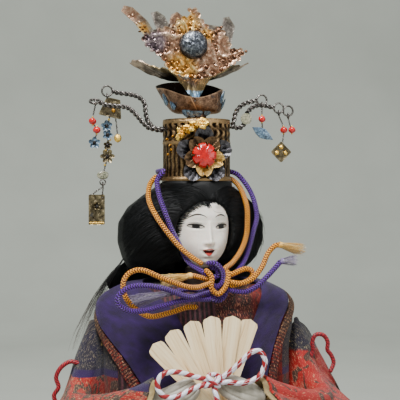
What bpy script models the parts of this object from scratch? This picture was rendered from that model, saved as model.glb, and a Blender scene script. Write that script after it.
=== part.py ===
"""A seated hina doll, the empress, with her tall crown, tied chin cords and an open slat fan.

Metres, +Z up. The doll faces -Y and the origin is the middle of the seat board's
underside, on the floor. At rest her head is turned a little to her left.
"""

import math

import bmesh
import bpy
from mathutils import Matrix, Vector
from mathutils.bvhtree import BVHTree

MM = 0.001
GAP = 0.3 * MM
OVERRUN = 2.0 * MM
FULL_TURN = 2.0 * math.pi
WELD = 0.001 * MM
ROUND_SIDES = 24
CORD_SIDES_RESOLUTION = 1
SHARP_ANGLE = math.radians(40.0)
ROUTE_SAMPLES = 24
TRIM_STEP = 0.25 * MM
TRIM_SPOKES = 8
PLACE_STEP = 0.002

# The seat board and the straw core carry everything else.
BOARD_WIDTH = 92.0 * MM
BOARD_DEPTH = 70.0 * MM
BOARD_FORWARD = 7.0 * MM
BOARD_HEIGHT = 6.0 * MM
BOARD_EDGE = 0.8 * MM
TORSO_TOP = 155.0 * MM
TORSO_HALF_WIDTH = 53.0 * MM
TORSO_HALF_DEPTH = 29.0 * MM
TORSO_SEGMENTS = 20
# Each row holds the share of the torso's height, its half width and its half depth.
TORSO_ROW_SHARES = [
    (0.00, 0.72, 0.86), (0.35, 0.76, 0.74), (0.60, 0.76, 0.72), (0.73, 0.94, 0.97),
    (0.86, 1.00, 0.97), (0.945, 0.98, 0.86), (1.00, 0.74, 0.60),
]
PADDING_INSET = 1.6 * MM
PADDING_CLEARANCE = 0.5 * MM

# The neck post slides in the straw and the head turns on it.
POST_RADIUS = 3.5 * MM
POST_BOTTOM = 108.0 * MM
POST_LENGTH = 88.0 * MM
POST_TOP = POST_BOTTOM + POST_LENGTH
POST_CLEARANCE = 0.35 * MM
POST_SIDES = 20

# The robe's trunk is a loft, and every collar lies on it at its own height off the cloth.
TRUNK_BOTTOM = 92.0 * MM
TRUNK_TOP = 170.5 * MM
TRUNK_HALF_WIDTH = 60.0 * MM
TRUNK_HALF_DEPTH = 38.0 * MM
TRUNK_CLOTH = 1.2 * MM
TRUNK_BACK_SHIFT = 5.0 * MM
TRUNK_SEGMENTS = 28
TRUNK_LEVELS = 8
# Each row holds height, half width, half depth and backward shift.
TRUNK_ROW_SHARES = [
    (0.00, 0.90, 1.00, -0.40),
    (0.25, 0.93, 0.92, -0.40),
    (0.51, 0.93, 0.86, -0.20),
    (0.74, 0.97, 0.76, 0.00),
    (0.88, 0.90, 0.63, 0.40),
    (0.96, 0.70, 0.50, 0.80),
    (1.00, 0.40, 0.39, 1.00),
]
# Each row holds the outer edge's share of a turn and its place, then the inner edge's.
CHEST_STATION_SHARES = [
    (-0.1556, 0.05, 0.1556, 0.05), (-0.1611, 0.35, 0.1611, 0.35), (-0.1667, 0.6, 0.1667, 0.6),
    (-0.1833, 0.86, 0.1833, 0.86),
]
LAPEL_STATION_SHARES = [
    (-0.075, 0.083, 0.0, 0.083), (-0.0944, 0.175, -0.0167, 0.2), (-0.1333, 0.3, -0.025, 0.35),
    (-0.1778, 0.417, -0.0333, 0.483), (-0.2333, 0.57, -0.0667, 0.655), (-0.2778, 0.7, -0.1333, 0.833),
    (-0.3389, 0.78, -0.2361, 0.93), (-0.4167, 0.81, -0.3611, 0.955), (-0.5, 0.82, -0.5, 0.96),
    (-0.5833, 0.81, -0.6389, 0.955), (-0.6667, 0.78, -0.7556, 0.93), (-0.7556, 0.72, -0.8278, 0.86),
    (-0.8167, 0.6, -0.8833, 0.68), (-0.8528, 0.49, -0.9139, 0.52), (-0.8694, 0.383, -0.9306, 0.383),
    (-0.8903, 0.217, -0.95, 0.217), (-0.9056, 0.083, -0.9722, 0.083),
]
BORDER_STATION_SHARES = [
    (-0.1, 0.083, -0.0792, 0.083), (-0.1194, 0.16, -0.0986, 0.172), (-0.1583, 0.28, -0.1375, 0.295),
    (-0.2, 0.38, -0.1819, 0.408), (-0.2528, 0.52, -0.2375, 0.558), (-0.2972, 0.64, -0.2819, 0.685),
    (-0.35, 0.72, -0.3417, 0.765), (-0.4194, 0.75, -0.4167, 0.795), (-0.5, 0.76, -0.5, 0.805),
    (-0.5806, 0.75, -0.5833, 0.795), (-0.6556, 0.72, -0.6639, 0.765), (-0.7361, 0.66, -0.7514, 0.705),
    (-0.7944, 0.55, -0.8125, 0.585), (-0.8306, 0.45, -0.8486, 0.478), (-0.8472, 0.36, -0.8653, 0.378),
    (-0.8667, 0.205, -0.8861, 0.214), (-0.8806, 0.083, -0.9014, 0.083),
]
CHEST_STEPS = 8
CHEST_COLUMNS = 8
LAPEL_STEPS = 28
LAPEL_COLUMNS = 4
BORDER_COLUMNS = 2
CHEST_LIFT = 0.7 * MM
CHEST_CLOTH = 0.9 * MM
LAPEL_LIFT = 2.2 * MM
LAPEL_CLOTH = 1.2 * MM
BORDER_CLOTH = 0.9 * MM

# The hakama mound over the folded legs, the hems under it and the train behind.
LAP_HALF_WIDTH = 90.0 * MM
LAP_HALF_DEPTH = 76.0 * MM
LAP_TOP = 97.0 * MM
LAP_FORWARD = 24.0 * MM
LAP_CLOTH = 1.4 * MM
LAP_SEGMENTS = 26
# Each row holds height, half width, half depth and forward shift.
LAP_ROW_SHARES = [
    (1.00, 0.545, 0.39, 0.22),
    (0.94, 0.565, 0.41, 0.22),
    (0.905, 0.64, 0.56, 0.48),
    (0.80, 0.76, 0.72, 0.72),
    (0.60, 0.86, 0.83, 0.86),
    (0.34, 0.95, 0.93, 0.96),
    (0.00, 1.00, 1.00, 1.00),
]
HEM_HEIGHT = 2.2 * MM
HEM_STEP = 4.0 * MM
HEM_BAND = 10.0 * MM
HEM_POINTS = 28
TRAIN_CLOTH = 1.6 * MM
TRAIN_START_HALF_WIDTH = 42.0 * MM
TRAIN_END_HALF_WIDTH = 88.0 * MM
TRAIN_START_HEIGHT = 95.0 * MM
TRAIN_START_BACK = 37.8 * MM
TRAIN_LENGTH = 108.0 * MM
TRAIN_PLEAT = 1.2 * MM
TRAIN_PLEAT_COUNT = 7
TRAIN_FLOOR_HEIGHT = 1.8 * MM
TRAIN_COLUMNS = 14
TRAIN_WRAP = 14.0 * MM
# Each row holds the way back and the height.
TRAIN_ROW_SHARES = [
    (0.00, 1.00), (0.06, 0.86), (0.14, 0.64), (0.22, 0.42), (0.30, 0.22),
    (0.40, 0.07), (0.55, 0.01), (0.78, 0.00), (1.00, 0.00),
]

# The sleeves hang over the bent arms, so their top line is the arm's own line.
SLEEVE_REACH = 70.0 * MM
SLEEVE_SPREAD = 130.0 * MM
SLEEVE_FRONT = 96.0 * MM
SLEEVE_RISE = 146.0 * MM
SLEEVE_FOLD_RADIUS = 7.0 * MM
SLEEVE_CLOTH = 1.3 * MM
SLEEVE_INNER_DROP = 13.0 * MM
SLEEVE_BULGES = {"right": 17.0 * MM, "left": 4.0 * MM}
SLEEVE_SWELL_POWER = 0.7
SLEEVE_RIPPLE = 2.2 * MM
SLEEVE_RIPPLE_COUNT = 3
SLEEVE_FLOOR = 1.2 * MM
SLEEVE_STATIONS = 11
SLEEVE_OUTER_STEPS = 5
SLEEVE_FOLD_STEPS = 4
SLEEVE_INNER_STEPS = 2
SLEEVE_INWARD = 1.0
LINING_OVERHANG = 0.035
LINING_STATIONS = 6
LINING_CLOTH = 0.8 * MM
LINING_LIFT = 0.5 * MM
# Each row holds the top line's side, front and height, then the fold's radius.
SLEEVE_TOP_SHARES = [
    (0.885, -0.030, 1.000, 0.40),
    (0.915, 0.010, 0.918, 0.75),
    (0.943, 0.073, 0.836, 1.00),
    (1.000, 0.156, 0.753, 1.00),
    (1.000, 0.281, 0.716, 1.00),
    (0.829, 0.427, 0.729, 1.00),
    (0.600, 0.521, 0.764, 1.00),
    (0.443, 0.568, 0.805, 1.00),
]
# Each row holds the lower edge's side, front and height.
SLEEVE_FOOT_SHARES = [
    (0.523, -0.250, 0.270),
    (0.646, -0.290, 0.060),
    (0.800, -0.167, 0.000),
    (0.938, 0.042, 0.000),
    (1.000, 0.312, 0.000),
    (0.938, 0.625, 0.000),
    (0.800, 0.854, 0.000),
    (0.646, 1.000, 0.000),
]
ARM_RADIUS = 2.0 * MM
ARM_CHANNEL_RADIUS = 2.9 * MM
ARM_POINT_SPACING = 9.0 * MM
# The right arm's hand-set line, from the straw core to the wrist; the left one mirrors it.
ARM_ROUTE = [
    (8, 2, 141), (28, 3, 142), (46, 2, 140), (58, 0, 134), (63.5, -6, 123), (69, -14, 110),
    (70, -26, 104.5), (58, -41, 106.5), (43, -49.5, 110), (32.6, -53.4, 112.8),
]

# The hands hold the fan's foot between them.
HAND_RING_POINTS = 20
HAND_FINGERS = 4
HAND_WIDTH = 14.5 * MM
HAND_THICKNESS = 5.6 * MM
HAND_GROOVE = 0.55 * MM
# Each row holds side, back, height, width share and thickness share.
HAND_LEFT_ROUTE = [
    (-31.5, -53.6, 112.4), (-27, -54.4, 111.5), (-21, -54.9, 112.0), (-15, -54.1, 114.2),
    (-10, -53.4, 117.0), (-6.2, -52.8, 119.6),
]
HAND_RIGHT_ROUTE = [
    (31.5, -53.6, 112.4), (27, -54.4, 112.4), (21.5, -54.9, 114.0), (16, -54.1, 116.2),
    (11, -53.4, 118.6), (7.2, -52.8, 120.6),
]
HAND_SECTION_SHARES = [
    (0.52, 0.95, 0.0), (0.78, 1.00, 0.2), (1.00, 1.00, 0.6), (1.00, 0.92, 1.0),
    (0.90, 0.74, 1.0), (0.62, 0.50, 1.0),
]

# Six cypress slats turn on one rivet.
FAN_SLATS = 6
FAN_PIVOT = Vector((8.1 * MM, -47.4 * MM, 99.3 * MM))
FAN_RADIUS = 57.0 * MM
FAN_FOOT = 4.5 * MM
FAN_TIP_WIDTH = 10.0 * MM
FAN_FOOT_WIDTH = 5.8 * MM
FAN_SLAT_THICKNESS = 0.85 * MM
FAN_PITCH = 1.2 * MM
FAN_TIP_ROUND = 2.4 * MM
FAN_TIP_SAG = 1.0 * MM
FAN_ANGLES = [-42.0, -30.0, -17.5, -5.5, 7.0, 17.5]
FAN_HOLE_RADIUS = 1.5 * MM
RIVET_RADIUS = 1.2 * MM
RIVET_HEAD_RADIUS = 2.6 * MM
RIVET_HEAD_HEIGHT = 0.7 * MM
RIVET_SIDES = 12
FAN_ROUND_STEPS = 6
CORNER_SHARE = 0.3
KNOT_FLAT_SHARE = 0.8
FAN_CORD_RADIUS = 1.6 * MM
FAN_CORD_SPACING = 6.0 * MM
FAN_KNOT_RADIUS = 3.4 * MM
FAN_KNOT_CENTRE = Vector((2.2 * MM, -55.2 * MM, 121.6 * MM))
FAN_LOOP_LEFT = [
    (1, -55.5, 122), (-7, -56.6, 124.2), (-17, -58.6, 127.4), (-25, -60.2, 127.0),
    (-28.6, -61.0, 121.6), (-25.4, -61.4, 115.4), (-18, -60.9, 114.6), (-9, -59.4, 118.4),
    (1, -56.2, 121),
]
FAN_LOOP_RIGHT = [
    (3.5, -55.5, 122), (10, -56.6, 125.4), (17, -57.8, 131.6), (23.5, -58.4, 137.6),
    (28.6, -58.8, 137.2), (30.6, -59.0, 131.4), (27.2, -59.2, 124.2), (19, -58.8, 120.8),
    (11, -58.0, 121.2), (3.5, -56.2, 121.2),
]
FAN_TAIL = [(2.2, -56.5, 121), (3.2, -60.0, 116), (4.2, -61.4, 110), (5.2, -61.2, 103), (5.6, -61.0, 98)]

# The head is a loft of half ellipses, rounder in front than behind.
HEAD_TURN = math.radians(12.0)
HEAD_HALF_WIDTH = 16.6 * MM
HEAD_FRONT_DEPTH = 20.0 * MM
HEAD_BACK_DEPTH = 19.0 * MM
HEAD_BOTTOM = 158.0 * MM
NECK_RISE = 23.5 * MM
FACE_RISE = 47.9 * MM
CHIN_HEIGHT = HEAD_BOTTOM + NECK_RISE
HEAD_TOP = CHIN_HEIGHT + FACE_RISE
HEAD_FORWARD = 4.0 * MM
NECK_RADIUS = 7.0 * MM
NECK_STEP_SHARE = 0.35
NOSE_RISE_SHARE = 0.15
NOSE_SPREAD = 1.6
HEAD_SEGMENTS = 24
POST_END_PLAY = 2.0 * MM
HEAD_BORE_TOP = POST_TOP + POST_END_PLAY
NOSE_RISE = 12.5 * MM
NOSE_HEIGHT = CHIN_HEIGHT + NOSE_RISE
NOSE_REACH = 2.6 * MM
NOSE_HALF_WIDTH = 2.6 * MM
NOSE_LENGTH = 12.0 * MM
# Each row holds the height between chin and crown, then width, front and back shares.
HEAD_ROW_SHARES = [
    (0.000, 0.30, 0.60, 0.30),
    (0.035, 0.46, 0.83, 0.42),
    (0.090, 0.64, 0.92, 0.55),
    (0.160, 0.79, 0.96, 0.68),
    (0.260, 0.91, 0.98, 0.80),
    (0.380, 0.98, 0.97, 0.90),
    (0.500, 1.00, 0.98, 0.98),
    (0.640, 0.99, 0.99, 1.00),
    (0.770, 0.92, 0.94, 0.96),
    (0.880, 0.74, 0.78, 0.80),
    (0.950, 0.50, 0.52, 0.55),
    (1.000, 0.18, 0.18, 0.20),
]

# The dressed hair: wide wings round the face, a flat crown seat and a long fall behind.
HAIR_DROP = 5.0 * MM
HAIR_CUSHION = 1.6 * MM
HAIR_BOTTOM = CHIN_HEIGHT - HAIR_DROP
HAIR_TOP = HEAD_TOP + HAIR_CUSHION
HAIR_HALF_WIDTH = 46.0 * MM
HAIR_HALF_DEPTH = 28.0 * MM
HAIR_BACK = 11.0 * MM
HAIR_SEGMENTS = 24
HAIR_HEAD_CLEARANCE = 0.5 * MM
FACE_HALF_WIDTH = 17.2 * MM
HAIRLINE_RISE = 39.0 * MM
HAIRLINE_DROP = 1.5 * MM
FACE_TOP = CHIN_HEIGHT + HAIRLINE_RISE
FACE_LOW = CHIN_HEIGHT - HAIRLINE_DROP
FACE_BACK = 9.0 * MM
COLLAR_OPENING_RADIUS = 17.0 * MM
COLLAR_OPENING_BACK = 8.0 * MM
# Each row holds height, half width, half depth and backward shift.
HAIR_ROW_SHARES = [
    (0.00, 0.72, 0.50, 1.60),
    (0.05, 0.84, 0.66, 1.40),
    (0.16, 0.93, 0.84, 1.15),
    (0.34, 1.00, 0.97, 1.00),
    (0.55, 0.99, 1.00, 0.95),
    (0.72, 0.87, 0.97, 0.80),
    (0.86, 0.66, 0.88, 0.60),
    (0.95, 0.50, 0.78, 0.40),
    (1.00, 0.43, 0.70, 0.25),
]
FALL_RISE = 9.5 * MM
FALL_TOP = HAIR_BOTTOM + FALL_RISE
FALL_BOTTOM = 99.0 * MM
FALL_HALF_WIDTH = 48.0 * MM
FALL_BACK = 43.5 * MM
FALL_CURVE = 8.0 * MM
FALL_THICKNESS = 3.6 * MM
FALL_WAVE = 0.5 * MM
FALL_COLUMNS = 8
# Each row holds height, half width, backward place and how far the sides come forward.
FALL_ROW_SHARES = [
    (1.00, 0.62, 0.905, 0.82), (0.90, 0.88, 0.88, 1.00), (0.82, 1.00, 0.86, 1.00), (0.735, 0.92, 0.84, 0.75),
    (0.655, 0.62, 0.862, 0.44), (0.56, 0.40, 0.908, 0.19), (0.45, 0.29, 0.943, 0.10),
    (0.24, 0.23, 0.977, 0.06), (0.00, 0.19, 1.00, 0.00),
]

# The gilt crown: a pierced band, a flared cup, a leaf dish and two upright flame plates.
CROWN_TURN = math.radians(5.0)
BAND_RADIUS = 20.1 * MM
BAND_SEAT = 0.4 * MM
BAND_HEIGHT = 36.4 * MM
BAND_BOTTOM = HAIR_TOP + BAND_SEAT
BAND_TOP = BAND_BOTTOM + BAND_HEIGHT
BAND_WALL = 0.8 * MM
BAND_RIM = 0.7 * MM
BAND_RIM_HEIGHT = 1.4 * MM
BAND_RIM_SLOPE = 0.7 * MM
BAND_SIDES = 28
FLOWER_RISE = 14.6 * MM
FLOWER_HEIGHT = BAND_BOTTOM + FLOWER_RISE
FLOWER_METAL = 0.7 * MM
FLOWER_OUTER_RADIUS = 17.2 * MM
FLOWER_INNER_RADIUS = 12.4 * MM
FLOWER_OUTER_NOTCH = 0.56
FLOWER_INNER_NOTCH = 0.70
FLOWER_PETALS = 5
FLOWER_POINTS = 40
FLOWER_TILT = math.radians(4.0)
CORAL_RADIUS = 7.3 * MM
CORAL_HEIGHT = 3.4 * MM
CORAL_LOBES = 7
CORAL_LOBE_SHARE = 0.12
CORAL_RINGS = 4
CORAL_LOBE_POINTS = 3
SPRAY_SWELL = 0.2
SPRAY_STRETCH = 1.35
SPRAY_RADIUS = 2.0 * MM
SPRAY_COLUMNS = 7
SPRAY_ROWS = 5
# The spray's beads lie beside the flower, in millimetres from its middle.
SPRAY_CENTRES = [
    (-15.4, -17.4, 12.6), (-12.4, -19.4, 14.6), (-9.2, -20.8, 16.0), (-6.0, -21.9, 17.4),
    (-2.8, -22.4, 18.6), (0.4, -22.4, 19.6),
]
CUP_BOTTOM_RADIUS = 12.8 * MM
CUP_TOP_RADIUS = 20.6 * MM
CUP_LIFT = 4.2 * MM
CUP_DEPTH = 14.2 * MM
CUP_BOTTOM = BAND_TOP + CUP_LIFT
CUP_TOP = CUP_BOTTOM + CUP_DEPTH
CUP_WALL = 0.8 * MM
CUP_LEAN = -4.4 * MM
CUP_DIP = 6.5 * MM
CUP_SEGMENTS = 24
CUP_LEVELS = 3
CUP_STEM_RADIUS = 6.0 * MM
PILLAR_RADIUS = 2.2 * MM
PILLAR_SIDES = 12
DISH_LIFT = 4.8 * MM
DISH_HEIGHT = CUP_TOP + DISH_LIFT
DISH_SIDE_REACH = 36.0 * MM
DISH_FRONT_REACH = 19.0 * MM
DISH_BACK_REACH = 17.0 * MM
DISH_SIDE_RISE = 10.5 * MM
DISH_FRONT_DROP = 11.5 * MM
DISH_BACK_RISE = 4.0 * MM
DISH_METAL = 0.7 * MM
DISH_OFFSET = -5.0 * MM
DISH_SEGMENTS = 28
DISH_RINGS = 4
DISH_FRILL = 1.0 * MM
DISH_FRILL_COUNT = 11
DISH_FRILL_LIFT = 0.6
DISH_PINCH = 3.0 * MM
DISH_HUB_RADIUS = 4.0 * MM
PLATE_HEIGHT = 42.0 * MM
PLATE_SEAT = 1.4 * MM
PLATE_FOOT = DISH_HEIGHT + PLATE_SEAT
PLATE_METAL = 0.8 * MM
BACK_PLATE_PLACE = -2.0 * MM
FRONT_PLATE_PLACE = -3.4 * MM
# Outlines in shares of the plate height, sideways then up.
BACK_PLATE_SHARES = [
    (-0.76, 0.59), (-0.91, 0.77), (-1.09, 0.92), (-1.05, 1.00), (-0.93, 0.98), (-0.72, 0.80),
    (-0.64, 0.68), (-0.59, 0.68), (-0.67, 0.91), (-0.58, 0.94), (-0.47, 0.87), (-0.42, 0.77),
    (-0.37, 0.90), (-0.29, 0.94), (-0.20, 0.87), (-0.10, 0.80), (0.20, 0.77), (0.36, 0.75),
    (0.38, 0.88), (0.46, 0.90), (0.55, 0.76), (0.48, 0.47), (0.37, 0.26), (0.12, 0.06),
    (-0.17, 0.06), (-0.53, 0.29), (-0.67, 0.43),
]
FRONT_PLATE_SHARES = [
    (-0.17, 0.03), (-0.32, 0.06), (-0.42, 0.10), (-0.47, 0.20), (-0.53, 0.30), (-0.65, 0.37),
    (-0.77, 0.49), (-0.78, 0.59), (-0.67, 0.61), (-0.55, 0.68), (-0.41, 0.72), (-0.29, 0.79),
    (-0.20, 0.86), (-0.11, 0.88), (-0.13, 0.97), (-0.08, 0.99), (0.00, 0.96), (0.04, 0.85),
    (0.12, 0.77), (0.20, 0.68), (0.34, 0.71), (0.46, 0.52), (0.50, 0.43), (0.67, 0.42),
    (0.59, 0.27), (0.45, 0.18), (0.40, 0.10), (0.33, 0.05), (0.16, 0.00), (-0.03, 0.00),
]
PLATE_SIDE = 0.0 * MM
BOSS_RADIUS = 8.6 * MM
BOSS_HEIGHT = 5.4 * MM
BOSS_SIDE = -2.6 * MM
BOSS_LIFT = 20.0 * MM
BOSS_SEGMENTS = 20
BOSS_RINGS = 5

# Twisted wire branches leave the band on both sides and end in rings; their routes, the rings and the
# disc are set in millimetres from the middle of the band's top.
BRANCH_RADIUS = 0.95 * MM
BRANCH_SPACING = 5.0 * MM
RING_WIRE = 0.45 * MM
RING_SIDES = 5
RING_SEGMENTS = 10
RING_RADIUS = 3.0 * MM
EYE_RADIUS = 1.6 * MM
STRAND_WIRE = 0.46 * MM
UPRIGHT_RING = Matrix.Rotation(math.pi / 2.0, 4, "X")
EYE_RING = Matrix.Rotation(math.pi / 2.0, 4, "Y")
BRANCH_LEFT_UPPER = [
    (-20.1, -5, -5.2), (-23.6, -6, -6.9), (-27.6, -6, -4.6), (-30.9, -6, -0.5), (-31.9, -6, 4.6),
    (-32.6, -6, 9.4), (-36.3, -6, 12.8), (-42, -6, 14.2), (-47.4, -6, 14.8), (-51.4, -6, 15.6),
]
BRANCH_LEFT_LOWER = [
    (-22.4, -6, -5.8), (-29.2, -7, -5.8), (-33.6, -8, -2.6), (-37.4, -9, 1.5), (-42.6, -10, 5.8),
    (-49, -11, 6.6), (-55.4, -12, 7.0), (-59.3, -12, 8.6),
]
RING_LEFT_UPPER = (-54.4, -6.0, 15.8)
RING_LEFT_LOWER = (-62.2, -12.0, 9.6)
BRANCH_RIGHT_UPPER = [
    (20.7, -5, -4.8), (21.7, -6, 0.2), (23.0, -6, 4.9), (26.4, -6, 8.8), (31.0, -6, 10.8),
    (36.1, -6, 12.0),
]
BRANCH_RIGHT_LOWER = [
    (21.0, -5, -3.8), (25.6, -4, -4.6), (29.4, -3, -1.0), (31.0, -1, 4.4), (35.4, 1, 8.6),
    (41.0, 1, 9.8), (45.4, -1, 8.8), (47.9, -2, 8.2),
]
RING_RIGHT_UPPER = (39.0, -6.0, 12.4)
RING_RIGHT_MIDDLE = (50.8, -2.0, 8.0)
RING_RIGHT_OUTER = (56.7, -2.0, 6.4)
SMALL_DISC_RADIUS = 3.4 * MM
SMALL_DISC_METAL = 0.8 * MM
DISC_POINTS = 16
LOWER_RING_TILT = math.radians(65.0)
RIGHT_DISC_CENTRE = (29.7, -4.2, 1.0)

# The pendants: sizes of the plaques, beads, leaves and discs on the strands.
PLAQUE_METAL = 0.7 * MM
TOP_PLAQUE_WIDTH = 9.6 * MM
TOP_PLAQUE_HEIGHT = 9.4 * MM
TOP_PLAQUE_SHARE = 0.55
TOP_PLAQUE_DROP = 6.5 * MM
TOP_PLAQUE_SIDE = 1.5 * MM
LEAF_RADIUS = 4.3 * MM
LEAF_NOTCH = 0.62
LEAF_LOBES = 6
LEAF_METAL = 1.0 * MM
LOBE_POINTS = 4
BELL_RADIUS = 2.2 * MM
PEARL_WIDTH = 3.4 * MM
PEARL_HEIGHT = 2.5 * MM
LOW_PLAQUE_WIDTH = 9.4 * MM
LOW_PLAQUE_HEIGHT = 17.6 * MM
LOW_PLAQUE_SIDE = -3.6 * MM
LOW_PLAQUE_DROP = 14.4 * MM
CORAL_BEAD_RADIUS = 2.2 * MM
BLUE_FLOWER_RADIUS = 3.5 * MM
KITE_LENGTH = 15.0 * MM
KITE_WIDTH = 6.4 * MM
KITE_TILT = math.radians(-30.0)
SQUARE_PLAQUE = 9.2 * MM
# Hand-set strand wires, in millimetres from the hinge; the beads and leaves sit at their points.
LEFT_LONG_WIRE = [(1.5, 0, -10.6), (0.6, 0, -20), (0, 0, -35), (-2.6, 0, -46)]
LEFT_BELL_WIRE = [(4.4, 0, -10.6), (5.4, 0, -16), (6.2, 0, -24.4)]
LEFT_FORK_WIRE = [(-7, 0, -6.4), (0, 0, -1.6), (-0.2, 0, -6.4)]
LEFT_CORAL_WIRE = [(0, 0, -1.6), (-1.6, 0, -10.8), (0.8, 0, -15.9), (-0.6, 0, -23.2)]
RIGHT_CORAL_WIRE = [(0, 0, -1.6), (0, 0, -8.5), (0.4, 0, -17.2)]
RIGHT_PLAQUE_WIRE = [(0, 0, -1.6), (3.0, 0, -10.3), (1.3, 0, -23.7)]
RIGHT_OUTER_WIRE = [(0, 0, -1.6), (2.3, 0, -8.6)]

# Silk cords: down the sides of the face, tied under the chin, with loops and tasselled tails.
CORD_RADIUS = 1.55 * MM
CORD_SPACING = 7.0 * MM
TASSEL_END_RADIUS = 3.9 * MM
TASSEL_SIDES = 12
TASSEL_ROW_SHARES = [(0.0, 0.42), (0.12, 0.56), (0.45, 0.86), (1.0, 1.0)]
KNOT_CENTRE = Vector((0.4 * MM, -34.0 * MM, 174.0 * MM))
KNOT_CORE = Vector((4.6 * MM, 2.4 * MM, 8.4 * MM))
KNOT_SPACING_SHARE = 0.75
# Each chin cord runs from the knot up the left cheek, round behind the crown and down the right.
CHIN_ORANGE = [
    (-6.8, -31.0, 183.8), (-12.7, -25.4, 188.4), (-18.8, -20.8, 194.8), (-25.0, -18.6, 203.0),
    (-30.0, -14.4, 211.8), (-31.8, -7.4, 220.0), (-29.8, -1.5, 228.4), (-25.4, 1.5, 233.4),
    (-22.6, 9.0, 233.2), (-16.4, 18.0, 233.2), (-6.0, 23.8, 233.2), (6.0, 23.8, 233.2),
    (16.4, 18.0, 233.2), (22.6, 9.0, 233.2), (24.4, 2.6, 232.0), (26.2, -5.6, 226.6),
    (26.4, -15.0, 216.6), (26.4, -16.2, 207.0), (25.6, -16.4, 198.8), (21.2, -19.4, 190.6),
    (14.0, -25.0, 184.2), (7.4, -29.6, 181.0),
]
CHIN_PURPLE = [
    (-7.0, -31.6, 179.4), (-12.6, -22.6, 184.6), (-16.2, -18.0, 193.8), (-21.0, -16.8, 203.4),
    (-24.4, -15.7, 212.8), (-26.4, -10.4, 222.6), (-26.6, -7.0, 231.6), (-22.9, -7.0, 236.8),
    (-23.5, 1.0, 237.0), (-19.0, 13.8, 237.0), (-8.0, 22.0, 237.0), (8.0, 22.0, 237.0),
    (19.0, 13.8, 237.0), (23.8, 5.0, 237.2), (28.6, 1.4, 234.0), (33.8, -4.4, 223.6),
    (35.2, -9.4, 211.0), (32.0, -11.6, 201.0), (29.0, -13.0, 192.4), (23.6, -18.0, 184.0),
    (15.5, -25.4, 178.0), (9.8, -28.8, 176.4),
]
KNOT_PURPLE = [
    (-5.4, -32.8, 184.4), (-1.0, -35.6, 184.4), (3.4, -35.4, 180.0), (4.0, -34.6, 174.0),
    (0.2, -33.6, 170.4), (-4.2, -33.4, 172.6), (-5.4, -33.4, 168.4), (-2.0, -34.2, 164.0),
    (3.0, -34.2, 163.6), (6.0, -33.8, 167.4), (4.4, -33.2, 171.6),
]
KNOT_ORANGE = [
    (-6.4, -33.8, 181.2), (-3.4, -36.6, 176.6), (-3.6, -36.8, 170.4), (0.4, -37.2, 167.2),
    (4.6, -37.0, 170.8), (6.6, -36.2, 175.8), (7.0, -34.4, 180.4),
]
LOOP_PURPLE = [
    (-2.6, -34.8, 169.0), (-8.0, -36.4, 168.2), (-18.3, -40.0, 166.6), (-32.8, -43.2, 171.6), (-43.4, -44.0, 173.8),
    (-52.7, -44.0, 173.4), (-59.0, -43.6, 169.2), (-59.2, -43.0, 164.4), (-54.0, -42.6, 160.6),
    (-46.0, -42.0, 159.8), (-35.7, -41.0, 161.6), (-24.1, -39.2, 164.0), (-13.0, -36.6, 164.6),
    (-7.4, -35.4, 164.2), (-3.0, -34.6, 164.0),
]
LOOP_ORANGE = [
    (-3.4, -36.0, 173.4), (-8.4, -37.2, 172.2), (-13.0, -38.6, 171.4), (-20.4, -40.6, 172.4), (-34.5, -41.4, 177.6),
    (-45.0, -40.4, 182.0), (-52.0, -39.4, 180.6), (-55.4, -38.6, 174.8), (-53.4, -37.6, 166.4),
    (-46.4, -36.6, 159.4), (-38.5, -35.8, 155.8), (-26.8, -35.0, 157.6), (-18.0, -34.4, 159.8),
    (-11.0, -34.4, 160.0),
]
TAIL_RIGHT_ORANGE = [
    (8.8, -36.0, 173.4), (14.6, -37.0, 172.8), (21.4, -37.0, 175.4), (27.4, -36.6, 182.0),
    (30.8, -36.4, 189.0), (35.0, -36.2, 193.4), (38.6, -36.0, 194.4),
]
TAIL_RIGHT_PURPLE = [
    (8.6, -34.6, 168.8), (16.8, -36.2, 167.8), (23.2, -37.6, 170.6), (29.8, -38.4, 176.4),
    (35.6, -38.2, 182.0), (38.8, -37.8, 185.2),
]
TAIL_LEFT_ORANGE = [(-6.0, -32.8, 175.6), (-12.0, -33.6, 177.2), (-16.4, -34.0, 178.0)]
TAIL_LEFT_PURPLE = [
    (-3.4, -30.8, 168.2), (-8.6, -31.2, 168.8), (-16.0, -33.0, 170.0), (-23.0, -34.6, 169.2),
    (-29.0, -35.2, 168.0),
]
RIGHT_ORANGE_TASSEL = Vector((13.0 * MM, 0.4 * MM, -2.6 * MM))
RIGHT_PURPLE_TASSEL = Vector((7.0 * MM, -2.6 * MM, 1.0 * MM))
LEFT_ORANGE_TASSEL = Vector((-14.0 * MM, -0.6 * MM, -2.4 * MM))
LEFT_PURPLE_TASSEL = Vector((-15.0 * MM, -0.4 * MM, -2.2 * MM))
SLEEVE_CORD_RADIUS = 1.35 * MM
SLEEVE_CORD_SPACING = 4.4 * MM
SLEEVE_CORD_RIGHT = [
    (68.0, -6.6, 124.6), (70.0, -6.6, 129.6), (69.4, -6.8, 134.0), (71.4, -6.8, 138.6), (76.0, -6.8, 138.6),
    (78.9, -6.8, 134.6), (78.8, -6.8, 129.6), (81.2, -6.8, 126.2), (82.6, -6.8, 121.6), (80.0, -8.0, 116.0),
]
SLEEVE_CORD_LEFT = [
    (-66.0, -6.8, 122.0), (-71.8, -6.8, 125.0), (-76.0, -6.8, 125.4), (-81.0, -6.8, 121.8), (-83.4, -6.8, 116.4),
    (-82.0, -6.8, 110.8), (-84.6, -6.8, 106.0), (-83.0, -6.8, 101.0), (-80.0, -8.0, 97.0),
]

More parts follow.
